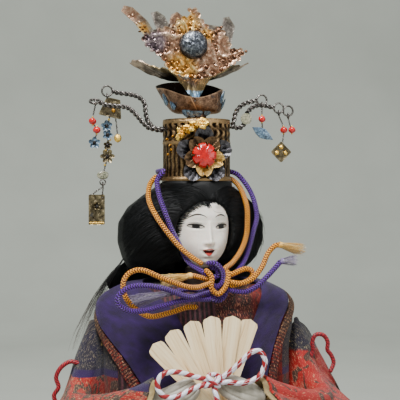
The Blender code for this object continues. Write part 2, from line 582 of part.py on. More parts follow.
FINISHES = {
    "board": ((0.10, 0.05, 0.03, 1.0), 0.35, 0.0),
    "straw": ((0.62, 0.50, 0.28, 1.0), 0.9, 0.0),
    "wood": ((0.86, 0.74, 0.52, 1.0), 0.6, 0.0),
    "brocade": ((0.45, 0.10, 0.06, 1.0), 0.8, 0.0),
    "indigo": ((0.06, 0.05, 0.16, 1.0), 0.8, 0.0),
    "violet": ((0.05, 0.02, 0.16, 1.0), 0.7, 0.0),
    "crimson": ((0.42, 0.02, 0.03, 1.0), 0.7, 0.0),
    "gold_cloth": ((0.50, 0.38, 0.16, 1.0), 0.7, 0.0),
    "white_cloth": ((0.75, 0.72, 0.64, 1.0), 0.8, 0.0),
    "gofun": ((0.86, 0.83, 0.78, 1.0), 0.35, 0.0),
    "hair": ((0.01, 0.01, 0.012, 1.0), 0.5, 0.0),
    "bronze": ((0.20, 0.15, 0.10, 1.0), 0.4, 1.0),
    "gilt": ((0.72, 0.50, 0.26, 1.0), 0.3, 1.0),
    "silver": ((0.35, 0.37, 0.40, 1.0), 0.3, 1.0),
    "coral": ((0.62, 0.02, 0.02, 1.0), 0.2, 0.0),
    "purple_silk": ((0.11, 0.05, 0.38, 1.0), 0.7, 0.0),
    "orange_silk": ((0.70, 0.28, 0.05, 1.0), 0.7, 0.0),
    "red_silk": ((0.55, 0.02, 0.03, 1.0), 0.7, 0.0),
    "wire": ((0.30, 0.27, 0.22, 1.0), 0.4, 1.0),
}


def clear_scene():
    """Remove whatever the opened file holds."""
    for obj in list(bpy.data.objects):
        bpy.data.objects.remove(obj, do_unlink=True)


def new_collection(name):
    """Link a new collection to the scene."""
    made = bpy.data.collections.new(name)
    bpy.context.scene.collection.children.link(made)
    return made


def new_frame(name, location, turn, parent=None):
    """Add an empty that its children stand in."""
    frame = bpy.data.objects.new(name, None)
    PARTS.objects.link(frame)
    frame.location = location
    frame.rotation_euler = (0.0, 0.0, turn)
    frame.parent = parent
    return frame


def paint(obj, finish):
    """Give an object its own plain material."""
    colour, roughness, metallic = FINISHES[finish]
    material = bpy.data.materials.new(obj.name)
    material.use_nodes = True
    surface = material.node_tree.nodes["Principled BSDF"]
    surface.inputs["Base Color"].default_value = colour
    surface.inputs["Roughness"].default_value = roughness
    surface.inputs["Metallic"].default_value = metallic
    obj.data.materials.append(material)


def add_part(name, data, finish, parent=None, location=(0.0, 0.0, 0.0)):
    """Place a named piece in the doll's collection."""
    obj = bpy.data.objects.new(name, data)
    PARTS.objects.link(obj)
    obj.parent = parent
    obj.location = location
    if isinstance(data, bpy.types.Mesh):
        data.shade_smooth()
        data.set_sharp_from_angle(angle=SHARP_ANGLE)
    paint(obj, finish)
    return obj


def add_cutter(name, data, parent=None):
    """Place a shape that only cuts or joins other pieces."""
    obj = bpy.data.objects.new(name, data)
    CUTTERS.objects.link(obj)
    obj.parent = parent
    obj.hide_render = True
    obj.display_type = "WIRE"
    return obj


def cut(obj, cutter):
    """Take the cutter's shape out of the object."""
    modifier = obj.modifiers.new(cutter.name, "BOOLEAN")
    modifier.operation = "DIFFERENCE"
    modifier.solver = "EXACT"
    modifier.object = cutter


def mesh_from(shape):
    """Turn a bmesh into a mesh with its faces pointing out."""
    bmesh.ops.recalc_face_normals(shape, faces=shape.faces)
    mesh = bpy.data.meshes.new("shape")
    shape.to_mesh(mesh)
    shape.free()
    return mesh


def baked(obj):
    """Return an object's evaluated, welded mesh in its parent's space, and drop the object."""
    evaluated = obj.evaluated_get(bpy.context.evaluated_depsgraph_get())
    mesh = bpy.data.meshes.new_from_object(evaluated)
    mesh.transform(obj.matrix_world)
    bpy.data.objects.remove(obj, do_unlink=True)
    shape = bmesh.new()
    shape.from_mesh(mesh)
    bmesh.ops.triangulate(shape, faces=shape.faces)
    bmesh.ops.remove_doubles(shape, verts=shape.verts, dist=WELD)
    bpy.data.meshes.remove(mesh)
    return mesh_from(shape)


def united(meshes, crossing=False):
    """Join overlapping closed meshes into one body; crossing says that a mesh meets itself."""
    result = meshes[0]
    for other in meshes[1:]:
        base = add_cutter("joined", result)
        tool = add_cutter("joining", other)
        modifier = base.modifiers.new("join", "BOOLEAN")
        modifier.operation = "UNION"
        modifier.solver = "EXACT"
        modifier.use_self = crossing
        modifier.object = tool
        bpy.context.view_layer.update()
        result = baked(base)
        bpy.data.objects.remove(tool, do_unlink=True)
    return result


def moved(mesh, offset):
    """Shift a mesh."""
    mesh.transform(Matrix.Translation(offset))
    return mesh


def catmull(rows, place):
    """Read a smooth curve through equally spaced rows, where place runs from 0 to 1."""
    last = len(rows) - 1
    scaled = max(0.0, min(place, 1.0)) * last
    index = min(int(scaled), last - 1)
    t = scaled - index
    before = rows[max(index - 1, 0)]
    start = rows[index]
    end = rows[index + 1]
    after = rows[min(index + 2, last)]
    values = []
    for p0, p1, p2, p3 in zip(before, start, end, after):
        bend = 2.0 * p0 - 5.0 * p1 + 4.0 * p2 - p3
        twist = 3.0 * (p1 - p2) + p3 - p0
        values.append(0.5 * (2.0 * p1 + (p2 - p0) * t + bend * t * t + twist * t * t * t))
    return values


def smooth_route(points, spacing, unit=MM):
    """Return evenly spaced points of a smooth curve through a hand-set route."""
    fine = []
    samples = len(points) * ROUTE_SAMPLES
    for step in range(samples + 1):
        fine.append(Vector(catmull(points, step / samples)) * unit)
    lengths = [0.0]
    for a, b in zip(fine, fine[1:]):
        lengths.append(lengths[-1] + (b - a).length)
    count = max(2, round(lengths[-1] / spacing))
    route = []
    index = 0
    for step in range(count + 1):
        wanted = lengths[-1] * step / count
        while index < len(fine) - 2 and lengths[index + 1] < wanted:
            index += 1
        span = lengths[index + 1] - lengths[index]
        share = (wanted - lengths[index]) / span if span else 0.0
        route.append(fine[index].lerp(fine[index + 1], share))
    return route


def tube_curve(points, radius):
    """Make a round tube's curve data along the points."""
    curve = bpy.data.curves.new("tube", "CURVE")
    curve.dimensions = "3D"
    curve.bevel_depth = radius
    curve.bevel_resolution = CORD_SIDES_RESOLUTION
    curve.use_fill_caps = True
    spline = curve.splines.new("POLY")
    spline.points.add(len(points) - 1)
    for spot, point in zip(spline.points, points):
        spot.co = (*point, 1.0)
    return curve


def tube_mesh(points, radius):
    """Make a tube as a closed mesh."""
    return baked(add_cutter("tube", tube_curve(points, radius)))


def outline_curve(outlines, thickness):
    """Make a flat plate's curve data; outlines after the first are holes."""
    curve = bpy.data.curves.new("outline", "CURVE")
    curve.dimensions = "2D"
    curve.fill_mode = "BOTH"
    curve.extrude = thickness / 2.0
    for outline in outlines:
        spline = curve.splines.new("POLY")
        spline.points.add(len(outline) - 1)
        for spot, (x, y) in zip(spline.points, outline):
            spot.co = (x, y, 0.0, 1.0)
        spline.use_cyclic_u = True
    return curve


def plate_mesh(outlines, thickness, centre=(0.0, 0.0, 0.0), tilt=0.0, lean=0.0):
    """Make an upright plate whose outline lies in the XZ plane, leaned and tilted about its centre."""
    obj = add_cutter("plate", outline_curve(outlines, thickness))
    turn = Matrix.Rotation(tilt, 4, "Y") @ Matrix.Rotation(math.pi / 2.0 + lean, 4, "X")
    obj.matrix_world = Matrix.Translation(centre) @ turn
    bpy.context.view_layer.update()
    return baked(obj)


def loft_mesh(rings):
    """Make a closed body through rings of equal count, with fanned ends."""
    shape = bmesh.new()
    rows = []
    for ring in rings:
        rows.append([shape.verts.new(point) for point in ring])
    for low, high in zip(rows, rows[1:]):
        for i in range(len(low)):
            j = (i + 1) % len(low)
            shape.faces.new((low[i], low[j], high[j], high[i]))
    for ring, row in ((rings[0], rows[0]), (rings[-1], rows[-1])):
        centre = shape.verts.new(sum((Vector(p) for p in ring), Vector()) / len(ring))
        for i in range(len(row)):
            shape.faces.new((row[i], row[(i + 1) % len(row)], centre))
    return mesh_from(shape)


def open_loft_mesh(rings):
    """Make an open skin through rings, for a Solidify modifier."""
    shape = bmesh.new()
    rows = []
    for ring in rings:
        rows.append([shape.verts.new(point) for point in ring])
    for low, high in zip(rows, rows[1:]):
        for i in range(len(low)):
            j = (i + 1) % len(low)
            shape.faces.new((low[i], low[j], high[j], high[i]))
    return mesh_from(shape)


def slab_mesh(front, back):
    """Make a closed sheet between two grids of points."""
    shape = bmesh.new()
    sheets = []
    for grid in (front, back):
        sheets.append([[shape.verts.new(point) for point in row] for row in grid])
    rows = len(front)
    columns = len(front[0])
    for sheet in sheets:
        for i in range(rows - 1):
            for j in range(columns - 1):
                shape.faces.new((sheet[i][j], sheet[i + 1][j], sheet[i + 1][j + 1], sheet[i][j + 1]))
    rim = [(i, 0) for i in range(rows)]
    rim += [(rows - 1, j) for j in range(1, columns)]
    rim += [(i, columns - 1) for i in range(rows - 2, -1, -1)]
    rim += [(0, j) for j in range(columns - 2, 0, -1)]
    for (a, b), (c, d) in zip(rim, rim[1:] + rim[:1]):
        shape.faces.new((sheets[0][a][b], sheets[0][c][d], sheets[1][c][d], sheets[1][a][b]))
    return mesh_from(shape)


def lifted_grid(grid, lift, outward):
    """Move a grid of points along its own normals, towards the outward side."""
    rows = len(grid)
    columns = len(grid[0])
    moved_rows = []
    for i in range(rows):
        row = []
        for j in range(columns):
            along = grid[min(i + 1, rows - 1)][j] - grid[max(i - 1, 0)][j]
            across = grid[i][min(j + 1, columns - 1)] - grid[i][max(j - 1, 0)]
            normal = along.cross(across).normalized()
            row.append(grid[i][j] + normal * lift * outward)
        moved_rows.append(row)
    return moved_rows


def solidify(obj, thickness):
    """Thicken an open skin inwards."""
    modifier = obj.modifiers.new("cloth", "SOLIDIFY")
    modifier.thickness = thickness
    modifier.offset = -1.0
    modifier.use_even_offset = True


def cylinder_mesh(radius, low, high, sides=ROUND_SIDES, x=0.0, y=0.0):
    """Make an upright cylinder between two heights."""
    shape = bmesh.new()
    bmesh.ops.create_cone(
        shape, cap_ends=True, segments=sides, radius1=radius, radius2=radius, depth=high - low,
    )
    bmesh.ops.translate(shape, verts=shape.verts, vec=(x, y, (low + high) / 2.0))
    return mesh_from(shape)


def ball_mesh(centre, size, columns=8, rows=5):
    """Make an ellipsoid of the given half sizes."""
    shape = bmesh.new()
    bmesh.ops.create_uvsphere(shape, u_segments=columns, v_segments=rows, radius=1.0)
    bmesh.ops.scale(shape, verts=shape.verts, vec=size)
    bmesh.ops.translate(shape, verts=shape.verts, vec=centre)
    return mesh_from(shape)


def ring_mesh(centre, radius, wire, turn):
    """Make a wire ring; turn carries its axis from Z to where it points."""
    bpy.ops.mesh.primitive_torus_add(
        major_radius=radius, minor_radius=wire,
        major_segments=RING_SEGMENTS, minor_segments=RING_SIDES,
    )
    obj = bpy.context.object
    obj.matrix_world = Matrix.Translation(centre) @ turn
    bpy.context.view_layer.update()
    return baked(obj)


def turned(name, profile, finish, parent=None, sides=ROUND_SIDES):
    """Turn a profile of radius and height, listed down its outer side, about the Z axis."""
    shape = bmesh.new()
    spots = [shape.verts.new((radius, 0.0, height)) for radius, height in profile]
    for a, b in zip(spots, spots[1:]):
        shape.edges.new((a, b))
    mesh = bpy.data.meshes.new(name)
    shape.to_mesh(mesh)
    shape.free()
    obj = add_part(name, mesh, finish, parent)
    screw = obj.modifiers.new("turn", "SCREW")
    screw.steps = sides
    screw.render_steps = sides
    screw.use_merge_vertices = True
    screw.merge_threshold = WELD
    return obj


def petal_outline(radius, notch_share, petals, points, phase=0.0):
    """Return a flower outline whose edge dips between the petals."""
    outline = []
    for step in range(points):
        angle = FULL_TURN * step / points
        wave = 0.5 + 0.5 * math.cos(petals * (angle - phase))
        reach = radius * (notch_share + (1.0 - notch_share) * math.sqrt(wave))
        outline.append((reach * math.cos(angle), reach * math.sin(angle)))
    return outline


def ellipse_ring(half_width, half_depth, centre_y, height, segments):
    """Return a level ring of points, starting at the front."""
    ring = []
    for step in range(segments):
        angle = FULL_TURN * step / segments
        ring.append(Vector((half_width * math.sin(angle), centre_y - half_depth * math.cos(angle), height)))
    return ring


def trunk_point(angle, place, lift=0.0):
    """Return a point on the robe's trunk, lifted off the cloth; place runs from hem to neck."""
    def on_cloth(at_angle, at_place):
        height, width, depth, shift = catmull(TRUNK_ROW_SHARES, at_place)
        return Vector((
            TRUNK_HALF_WIDTH * width * math.sin(at_angle),
            TRUNK_BACK_SHIFT * shift - TRUNK_HALF_DEPTH * depth * math.cos(at_angle),
            TRUNK_BOTTOM + (TRUNK_TOP - TRUNK_BOTTOM) * height,
        ))

    place = min(max(place, PLACE_STEP), 1.0 - PLACE_STEP)
    point = on_cloth(angle, place)
    around = on_cloth(angle + PLACE_STEP, place) - on_cloth(angle - PLACE_STEP, place)
    upward = on_cloth(angle, place + PLACE_STEP) - on_cloth(angle, place - PLACE_STEP)
    return point + around.cross(upward).normalized() * lift


def trunk_strip(station_shares, lift, thickness, steps, columns):
    """Make a band of cloth on the trunk between two edges given by share of a turn and place."""
    rows = []
    for step in range(steps + 1):
        outer_angle, outer_place, inner_angle, inner_place = catmull(station_shares, step / steps)
        row = []
        for column in range(columns + 1):
            share = column / columns
            angle = FULL_TURN * (outer_angle + (inner_angle - outer_angle) * share)
            row.append((angle, outer_place + (inner_place - outer_place) * share))
        rows.append(row)
    high = [[trunk_point(a, p, lift + thickness) for a, p in row] for row in rows]
    low = [[trunk_point(a, p, lift) for a, p in row] for row in rows]
    return slab_mesh(high, low)


def torso_rings(extra=0.0):
    """Return the straw core's rings, grown by extra."""
    rings = []
    foot = BOARD_HEIGHT + GAP
    for height, width, depth in TORSO_ROW_SHARES:
        level = foot + (TORSO_TOP - foot) * height
        rings.append(ellipse_ring(
            TORSO_HALF_WIDTH * width + extra, TORSO_HALF_DEPTH * depth + extra, 0.0, level, TORSO_SEGMENTS,
        ))
    return rings


def build_core():
    """Make the seat board and the straw core with its socket."""
    shape = bmesh.new()
    bmesh.ops.create_cube(shape, size=1.0)
    bmesh.ops.scale(shape, verts=shape.verts, vec=(BOARD_WIDTH, BOARD_DEPTH, BOARD_HEIGHT))
    board = add_part("seat_board", mesh_from(shape), "board", location=(0.0, -BOARD_FORWARD, BOARD_HEIGHT / 2.0))
    bevel = board.modifiers.new("edge", "BEVEL")
    bevel.width = BOARD_EDGE
    bevel.segments = 1
    torso = add_part("straw_torso", loft_mesh(torso_rings()), "straw")
    socket = cylinder_mesh(POST_RADIUS + POST_CLEARANCE, POST_BOTTOM - GAP, TORSO_TOP + OVERRUN)
    cut(torso, add_cutter("neck_socket", socket))
    return torso


def build_trunk():
    """Make the robe's trunk and the collars that lie on it."""
    rings = []
    for level in range(TRUNK_LEVELS):
        place = level / (TRUNK_LEVELS - 1)
        ring = [trunk_point(FULL_TURN * i / TRUNK_SEGMENTS, place) for i in range(TRUNK_SEGMENTS)]
        rings.append(ring)
    robe = add_part("robe_body", open_loft_mesh(rings), "indigo")
    solidify(robe, TRUNK_CLOTH)
    chest = trunk_strip(CHEST_STATION_SHARES, CHEST_LIFT, CHEST_CLOTH, CHEST_STEPS, CHEST_COLUMNS)
    add_part("chest_panel", chest, "brocade")
    lapels = trunk_strip(LAPEL_STATION_SHARES, LAPEL_LIFT, LAPEL_CLOTH, LAPEL_STEPS, LAPEL_COLUMNS)
    add_part("violet_lapels", lapels, "violet")
    border = trunk_strip(BORDER_STATION_SHARES, LAPEL_LIFT, BORDER_CLOTH, LAPEL_STEPS, BORDER_COLUMNS)
    add_part("lapel_border", border, "brocade")
    return robe


def lap_rings(rows, foot, inset=0.0):
    """Return the rings of the mound over the folded legs, drawn in by inset."""
    rings = []
    for height, width, depth, forward in rows:
        rings.append(ellipse_ring(
            LAP_HALF_WIDTH * width - inset, LAP_HALF_DEPTH * depth - inset, -LAP_FORWARD * forward,
            foot + (LAP_TOP - inset - foot) * height, LAP_SEGMENTS,
        ))
    return rings


def build_lap():
    """Make the hakama mound with its padding, the two hem layers on the floor and the train."""
    lap = add_part("lap_hakama", open_loft_mesh(lap_rings(LAP_ROW_SHARES, 2.0 * (HEM_HEIGHT + GAP))), "crimson")
    solidify(lap, LAP_CLOTH)
    inner = lap_rings(LAP_ROW_SHARES[2:], BOARD_HEIGHT + GAP, LAP_CLOTH + PADDING_INSET)
    padding = add_part("leg_padding", loft_mesh(inner), "straw")
    core = [ring for ring in torso_rings(PADDING_CLEARANCE) if ring[0].z < LAP_TOP + OVERRUN]
    core[0] = [point - Vector((0.0, 0.0, OVERRUN)) for point in core[0]]
    core.append([Vector((point.x, point.y, LAP_TOP + OVERRUN)) for point in core[-1]])
    cut(padding, add_cutter("torso_room", loft_mesh(core)))
    for index, (name, finish) in enumerate((("hem_lower", "white_cloth"), ("hem_upper", "violet"))):
        reach = HEM_STEP * (2 - index)
        outlines = []
        for inset in (0.0, HEM_BAND + reach):
            outline = []
            for step in range(HEM_POINTS):
                angle = FULL_TURN * step / HEM_POINTS
                x = (LAP_HALF_WIDTH + reach - inset) * math.sin(angle)
                y = (LAP_HALF_DEPTH + reach - inset) * math.cos(angle) - LAP_FORWARD
                outline.append((x, y))
            outlines.append(outline)
        level = HEM_HEIGHT / 2.0 + index * (HEM_HEIGHT + GAP)
        add_part(name, outline_curve(outlines, HEM_HEIGHT), finish, location=(0.0, 0.0, level))
    middle = []
    for back, height in TRAIN_ROW_SHARES:
        half_width = TRAIN_START_HALF_WIDTH + (TRAIN_END_HALF_WIDTH - TRAIN_START_HALF_WIDTH) * back
        level = TRAIN_FLOOR_HEIGHT + (TRAIN_START_HEIGHT - TRAIN_FLOOR_HEIGHT) * height
        row = []
        for column in range(TRAIN_COLUMNS + 1):
            side = 2.0 * column / TRAIN_COLUMNS - 1.0
            pleat = TRAIN_PLEAT * (0.5 + 0.5 * math.cos(math.pi * TRAIN_PLEAT_COUNT * side))
            wrap = TRAIN_WRAP * side * side * height
            row.append(Vector((
                half_width * side,
                TRAIN_START_BACK + TRAIN_LENGTH * back - wrap,
                level + pleat * (1.0 - height),
            )))
        middle.append(row)
    below = lifted_grid(middle, TRAIN_CLOTH / 2.0, -1.0)
    above = lifted_grid(middle, TRAIN_CLOTH / 2.0, 1.0)
    add_part("train", slab_mesh(above, below), "brocade")


def sleeve_grid(swell):
    """Return a right-hand sleeve's outer skin with that swell, from the shoulder to past the mouth."""
    places = [step / (SLEEVE_STATIONS - 1) for step in range(SLEEVE_STATIONS)]
    grid = []
    for place in places + [1.0 + LINING_OVERHANG]:
        inside = min(place, 1.0)
        before = Vector(catmull(SLEEVE_TOP_SHARES, inside - PLACE_STEP)[:3])
        after = Vector(catmull(SLEEVE_TOP_SHARES, min(inside, 1.0 - PLACE_STEP) + PLACE_STEP)[:3])
        side, front, rise, radius_share = catmull(SLEEVE_TOP_SHARES, inside)
        step = Vector((
            (after.x - before.x) * SLEEVE_REACH,
            -(after.y - before.y) * SLEEVE_FRONT,
            0.0,
        ))
        outward = Vector((-step.y, step.x, 0.0)).normalized()
        past = step.normalized() * (place - inside) * SLEEVE_FRONT
        top = Vector((side * SLEEVE_REACH, -front * SLEEVE_FRONT, rise * SLEEVE_RISE)) + past
        foot_side, foot_front, foot_rise = catmull(SLEEVE_FOOT_SHARES, inside)
        foot = Vector((
            foot_side * SLEEVE_SPREAD,
            -foot_front * SLEEVE_FRONT,
            SLEEVE_FLOOR + foot_rise * SLEEVE_RISE,
        )) + past
        radius = SLEEVE_FOLD_RADIUS * radius_share
        row = []
        for k in range(SLEEVE_OUTER_STEPS):
            down = 1.0 - k / SLEEVE_OUTER_STEPS
            ripple = SLEEVE_RIPPLE * down * math.sin(FULL_TURN * SLEEVE_RIPPLE_COUNT * inside)
            bulge = swell * math.sin(math.pi * down ** SLEEVE_SWELL_POWER)
            row.append((top + outward * radius).lerp(foot, down) + outward * (bulge + ripple))
        for k in range(SLEEVE_FOLD_STEPS + 1):
            angle = math.pi * k / SLEEVE_FOLD_STEPS
            rim = outward * math.cos(angle) + Vector((0.0, 0.0, math.sin(angle)))
            row.append(top + rim * radius)
        for k in range(SLEEVE_INNER_STEPS):
            drop = SLEEVE_INNER_DROP * (k + 1) / SLEEVE_INNER_STEPS
            row.append(top - outward * radius - Vector((0.0, 0.0, drop)))
        grid.append(row)
    return grid


def mirrored(points):
    """Carry points to the other side of the doll."""
    return [Vector((-point.x, point.y, point.z)) for point in points]


def build_sleeves(torso, robe):
    """Make both sleeves with their linings and the padded arm wires inside them."""
    arm = smooth_route(ARM_ROUTE, ARM_POINT_SPACING)
    first = SLEEVE_STATIONS - LINING_STATIONS
    meshes = {}
    for name in ("right", "left"):
        place = mirrored if name == "left" else list
        grid = sleeve_grid(SLEEVE_BULGES[name])
        inner = lifted_grid(grid, SLEEVE_CLOTH, SLEEVE_INWARD)
        lining_high = lifted_grid(grid, SLEEVE_CLOTH + LINING_LIFT, SLEEVE_INWARD)
        lining_low = lifted_grid(grid, SLEEVE_CLOTH + LINING_LIFT + LINING_CLOTH, SLEEVE_INWARD)
        meshes[name] = slab_mesh([place(row) for row in grid[:-1]], [place(row) for row in inner[:-1]])
        sleeve = add_part("sleeve_" + name, meshes[name], "brocade")
        add_part(
            "sleeve_lining_" + name,
            slab_mesh([place(row) for row in lining_high[first:]], [place(row) for row in lining_low[first:]]),
            "gold_cloth",
        )
        add_part("arm_wire_" + name, tube_curve(place(arm), ARM_RADIUS), "straw")
        start = arm[0] - (arm[1] - arm[0]).normalized() * GAP
        channel = tube_mesh(place([start] + arm[1:]), ARM_CHANNEL_RADIUS)
        cutter = add_cutter("arm_channel_" + name, channel)
        for obj in (torso, robe, sleeve):
            cut(obj, cutter)
    return meshes


def hand_mesh(route):
    """Make a closed hand whose front shows four fingers laid together."""
    path = [Vector(point) * MM for point in route]
    rings = []
    for index, centre in enumerate(path):
        after = path[min(index + 1, len(path) - 1)]
        before = path[max(index - 1, 0)]
        along = (after - before).normalized()
        width_way = Vector((-along.z, 0.0, along.x)).normalized()
        width_share, thickness_share, groove_share = HAND_SECTION_SHARES[index]
        ring = []
        for step in range(HAND_RING_POINTS):
            angle = FULL_TURN * step / HAND_RING_POINTS
            across = math.cos(angle)
            wave = 0.5 + 0.5 * math.cos(math.pi * HAND_FINGERS * (across + 1.0))
            groove = HAND_GROOVE * groove_share * wave * abs(math.sin(angle))
            depth = HAND_THICKNESS / 2.0 * thickness_share * math.sin(angle)
            if depth < 0.0:
                depth += groove
            offset = width_way * HAND_WIDTH / 2.0 * width_share * across
            ring.append(centre + offset + Vector((0.0, depth, 0.0)))
        rings.append(ring)
    return loft_mesh(rings)


def slat_outline():
    """Return one slat's outline, its pivot at the origin and its tip up."""
    foot = FAN_FOOT_WIDTH / 2.0
    tip = FAN_TIP_WIDTH / 2.0
    outline = []
    for step in range(FAN_ROUND_STEPS + 1):
        angle = math.pi + math.pi * step / FAN_ROUND_STEPS
        outline.append((foot * math.cos(angle), (foot + FAN_FOOT) / 2.0 * math.sin(angle)))
    shoulder = FAN_RADIUS - FAN_TIP_ROUND - FAN_TIP_SAG
    outline.append((tip, shoulder))
    outline.append((tip - FAN_TIP_ROUND * CORNER_SHARE, shoulder + FAN_TIP_ROUND * (1.0 - CORNER_SHARE)))
    outline.append((tip - FAN_TIP_ROUND, FAN_RADIUS - FAN_TIP_SAG))
    outline.append((0.0, FAN_RADIUS))
    outline.append((FAN_TIP_ROUND - tip, FAN_RADIUS - FAN_TIP_SAG))
    outline.append((FAN_TIP_ROUND * CORNER_SHARE - tip, shoulder + FAN_TIP_ROUND * (1.0 - CORNER_SHARE)))
    outline.append((-tip, shoulder))
    return outline


def build_fan():
    """Make the slats, their rivet, the red and white bow and the two hands."""
    hole = []
    for step in range(RIVET_SIDES):
        angle = FULL_TURN * step / RIVET_SIDES
        hole.append((FAN_HOLE_RADIUS * math.cos(angle), FAN_HOLE_RADIUS * math.sin(angle)))
    middle = (FAN_SLATS - 1) / 2.0
    for index, angle in enumerate(FAN_ANGLES):
        place = FAN_PIVOT + Vector((0.0, (index - middle) * FAN_PITCH, 0.0))
        slat = add_part(
            "fan_slat_{}".format(index + 1), outline_curve([slat_outline(), hole], FAN_SLAT_THICKNESS),
            "wood", location=place,
        )
        slat.rotation_euler = (math.pi / 2.0, math.radians(angle), 0.0)
    reach = middle * FAN_PITCH + FAN_SLAT_THICKNESS / 2.0 + GAP
    profile = [
        (0.0, reach + RIVET_HEAD_HEIGHT),
        (RIVET_HEAD_RADIUS, reach + RIVET_HEAD_HEIGHT),
        (RIVET_HEAD_RADIUS, reach),
        (RIVET_RADIUS, reach),
        (RIVET_RADIUS, -reach),
        (RIVET_HEAD_RADIUS, -reach),
        (RIVET_HEAD_RADIUS, -reach - RIVET_HEAD_HEIGHT),
        (0.0, -reach - RIVET_HEAD_HEIGHT),
    ]
    rivet = turned("fan_rivet", profile, "wire", sides=RIVET_SIDES)
    rivet.location = FAN_PIVOT
    rivet.rotation_euler = (math.pi / 2.0, 0.0, 0.0)
    pieces = [ball_mesh(FAN_KNOT_CENTRE, (FAN_KNOT_RADIUS, FAN_KNOT_RADIUS * KNOT_FLAT_SHARE, FAN_KNOT_RADIUS))]
    for route in (FAN_LOOP_LEFT, FAN_LOOP_RIGHT, FAN_TAIL):
        pieces.append(tube_mesh(smooth_route(route, FAN_CORD_SPACING), FAN_CORD_RADIUS))
    add_part("fan_bow", united(pieces, crossing=True), "red_silk")
    add_part("hand_left", hand_mesh(HAND_LEFT_ROUTE), "gofun")
    add_part("hand_right", hand_mesh(HAND_RIGHT_ROUTE), "gofun")


def build_sleeve_cords(sleeves):
    """Make the red lacing loops that stand off the sleeves."""
    for side, route in (("right", SLEEVE_CORD_RIGHT), ("left", SLEEVE_CORD_LEFT)):
        tree = surface_tree(sleeves[side])
        points = trimmed_route(route, SLEEVE_CORD_SPACING, SLEEVE_CORD_RADIUS, tree)
        add_part("sleeve_cord_" + side, tube_curve(points, SLEEVE_CORD_RADIUS), "red_silk")


def head_rings(extra=0.0):
    """Return the head's rings from the neck to the crown of the skull, grown by extra."""
    rings = []
    for height in (HEAD_BOTTOM, (HEAD_BOTTOM + CHIN_HEIGHT) / 2.0, CHIN_HEIGHT - NECK_RADIUS * NECK_STEP_SHARE):
        level = height if height > HEAD_BOTTOM else height - extra
        rings.append(ellipse_ring(NECK_RADIUS + extra, NECK_RADIUS + extra, 0.0, level, HEAD_SEGMENTS))
    for height_share, width, front, back in HEAD_ROW_SHARES:
        height = CHIN_HEIGHT + (HEAD_TOP + extra - CHIN_HEIGHT) * height_share
        ring = []
        for step in range(HEAD_SEGMENTS):
            angle = FULL_TURN * step / HEAD_SEGMENTS
            x = (HEAD_HALF_WIDTH * width + extra) * math.sin(angle)
            depth = HEAD_FRONT_DEPTH * front if math.cos(angle) > 0.0 else HEAD_BACK_DEPTH * back
            y = -HEAD_FORWARD - (depth + extra) * math.cos(angle)
            rise = 1.0 - abs(height - NOSE_HEIGHT - NOSE_LENGTH * NOSE_RISE_SHARE) / NOSE_LENGTH
            slim = 1.0 - abs(x) / (NOSE_HALF_WIDTH * NOSE_SPREAD)
            if math.cos(angle) > 0.0 and rise > 0.0 and slim > 0.0:
                y -= NOSE_REACH * rise * slim
            ring.append(Vector((x, y, height)))
        rings.append(ring)
    return rings


def build_head():
    """Make the neck post, the head with its bore, the dressed hair and the fall of hair behind."""
    head_frame = new_frame("head_turn", (0.0, 0.0, 0.0), HEAD_TURN)
    add_part("neck_post", cylinder_mesh(POST_RADIUS, POST_BOTTOM, POST_TOP, POST_SIDES), "wood")
    head = add_part("head", loft_mesh(head_rings()), "gofun", head_frame)
    bore = cylinder_mesh(POST_RADIUS + POST_CLEARANCE, HEAD_BOTTOM - OVERRUN, HEAD_BORE_TOP)
    cut(head, add_cutter("post_bore", bore, head_frame))
    rings = []
    for height, width, depth, shift in HAIR_ROW_SHARES:
        level = HAIR_BOTTOM + (HAIR_TOP - HAIR_BOTTOM) * height
        rings.append(ellipse_ring(
            HAIR_HALF_WIDTH * width, HAIR_HALF_DEPTH * depth, HAIR_BACK * shift, level, HAIR_SEGMENTS,
        ))
    hair = add_part("hair", loft_mesh(rings), "hair", head_frame)
    cut(hair, add_cutter("head_hollow", loft_mesh(head_rings(HAIR_HEAD_CLEARANCE)), head_frame))
    window = cylinder_mesh(1.0, -HAIR_HALF_DEPTH, HAIR_HALF_DEPTH)
    window.transform(Matrix.Diagonal((FACE_HALF_WIDTH, (FACE_TOP - FACE_LOW) / 2.0, 1.0, 1.0)))
    window.transform(Matrix.Rotation(math.pi / 2.0, 4, "X"))
    centre = (0.0, -FACE_BACK - HAIR_HALF_DEPTH, (FACE_TOP + FACE_LOW) / 2.0)
    cut(hair, add_cutter("face_window", moved(window, centre), head_frame))
    low = HAIR_BOTTOM - OVERRUN
    opening = cylinder_mesh(
        COLLAR_OPENING_RADIUS, low, CHIN_HEIGHT + NECK_RADIUS * NECK_STEP_SHARE,
        y=COLLAR_OPENING_BACK - COLLAR_OPENING_RADIUS,
    )
    cut(hair, add_cutter("neck_opening", opening, head_frame))
    grid = []
    for height, width, back, curve in FALL_ROW_SHARES:
        level = FALL_BOTTOM + (FALL_TOP - FALL_BOTTOM) * height
        row = []
        for column in range(FALL_COLUMNS + 1):
            side = 2.0 * column / FALL_COLUMNS - 1.0
            wave = FALL_WAVE * math.cos(math.pi * column)
            place = FALL_BACK * back - FALL_CURVE * curve * side * side + wave
            row.append(Vector((FALL_HALF_WIDTH * width * side, place, level)))
        grid.append(row)
    thick = FALL_THICKNESS / 2.0
    fall = slab_mesh(lifted_grid(grid, thick, 1.0), lifted_grid(grid, thick, -1.0))
    add_part("hair_fall", fall, "hair", head_frame)
    return head_frame


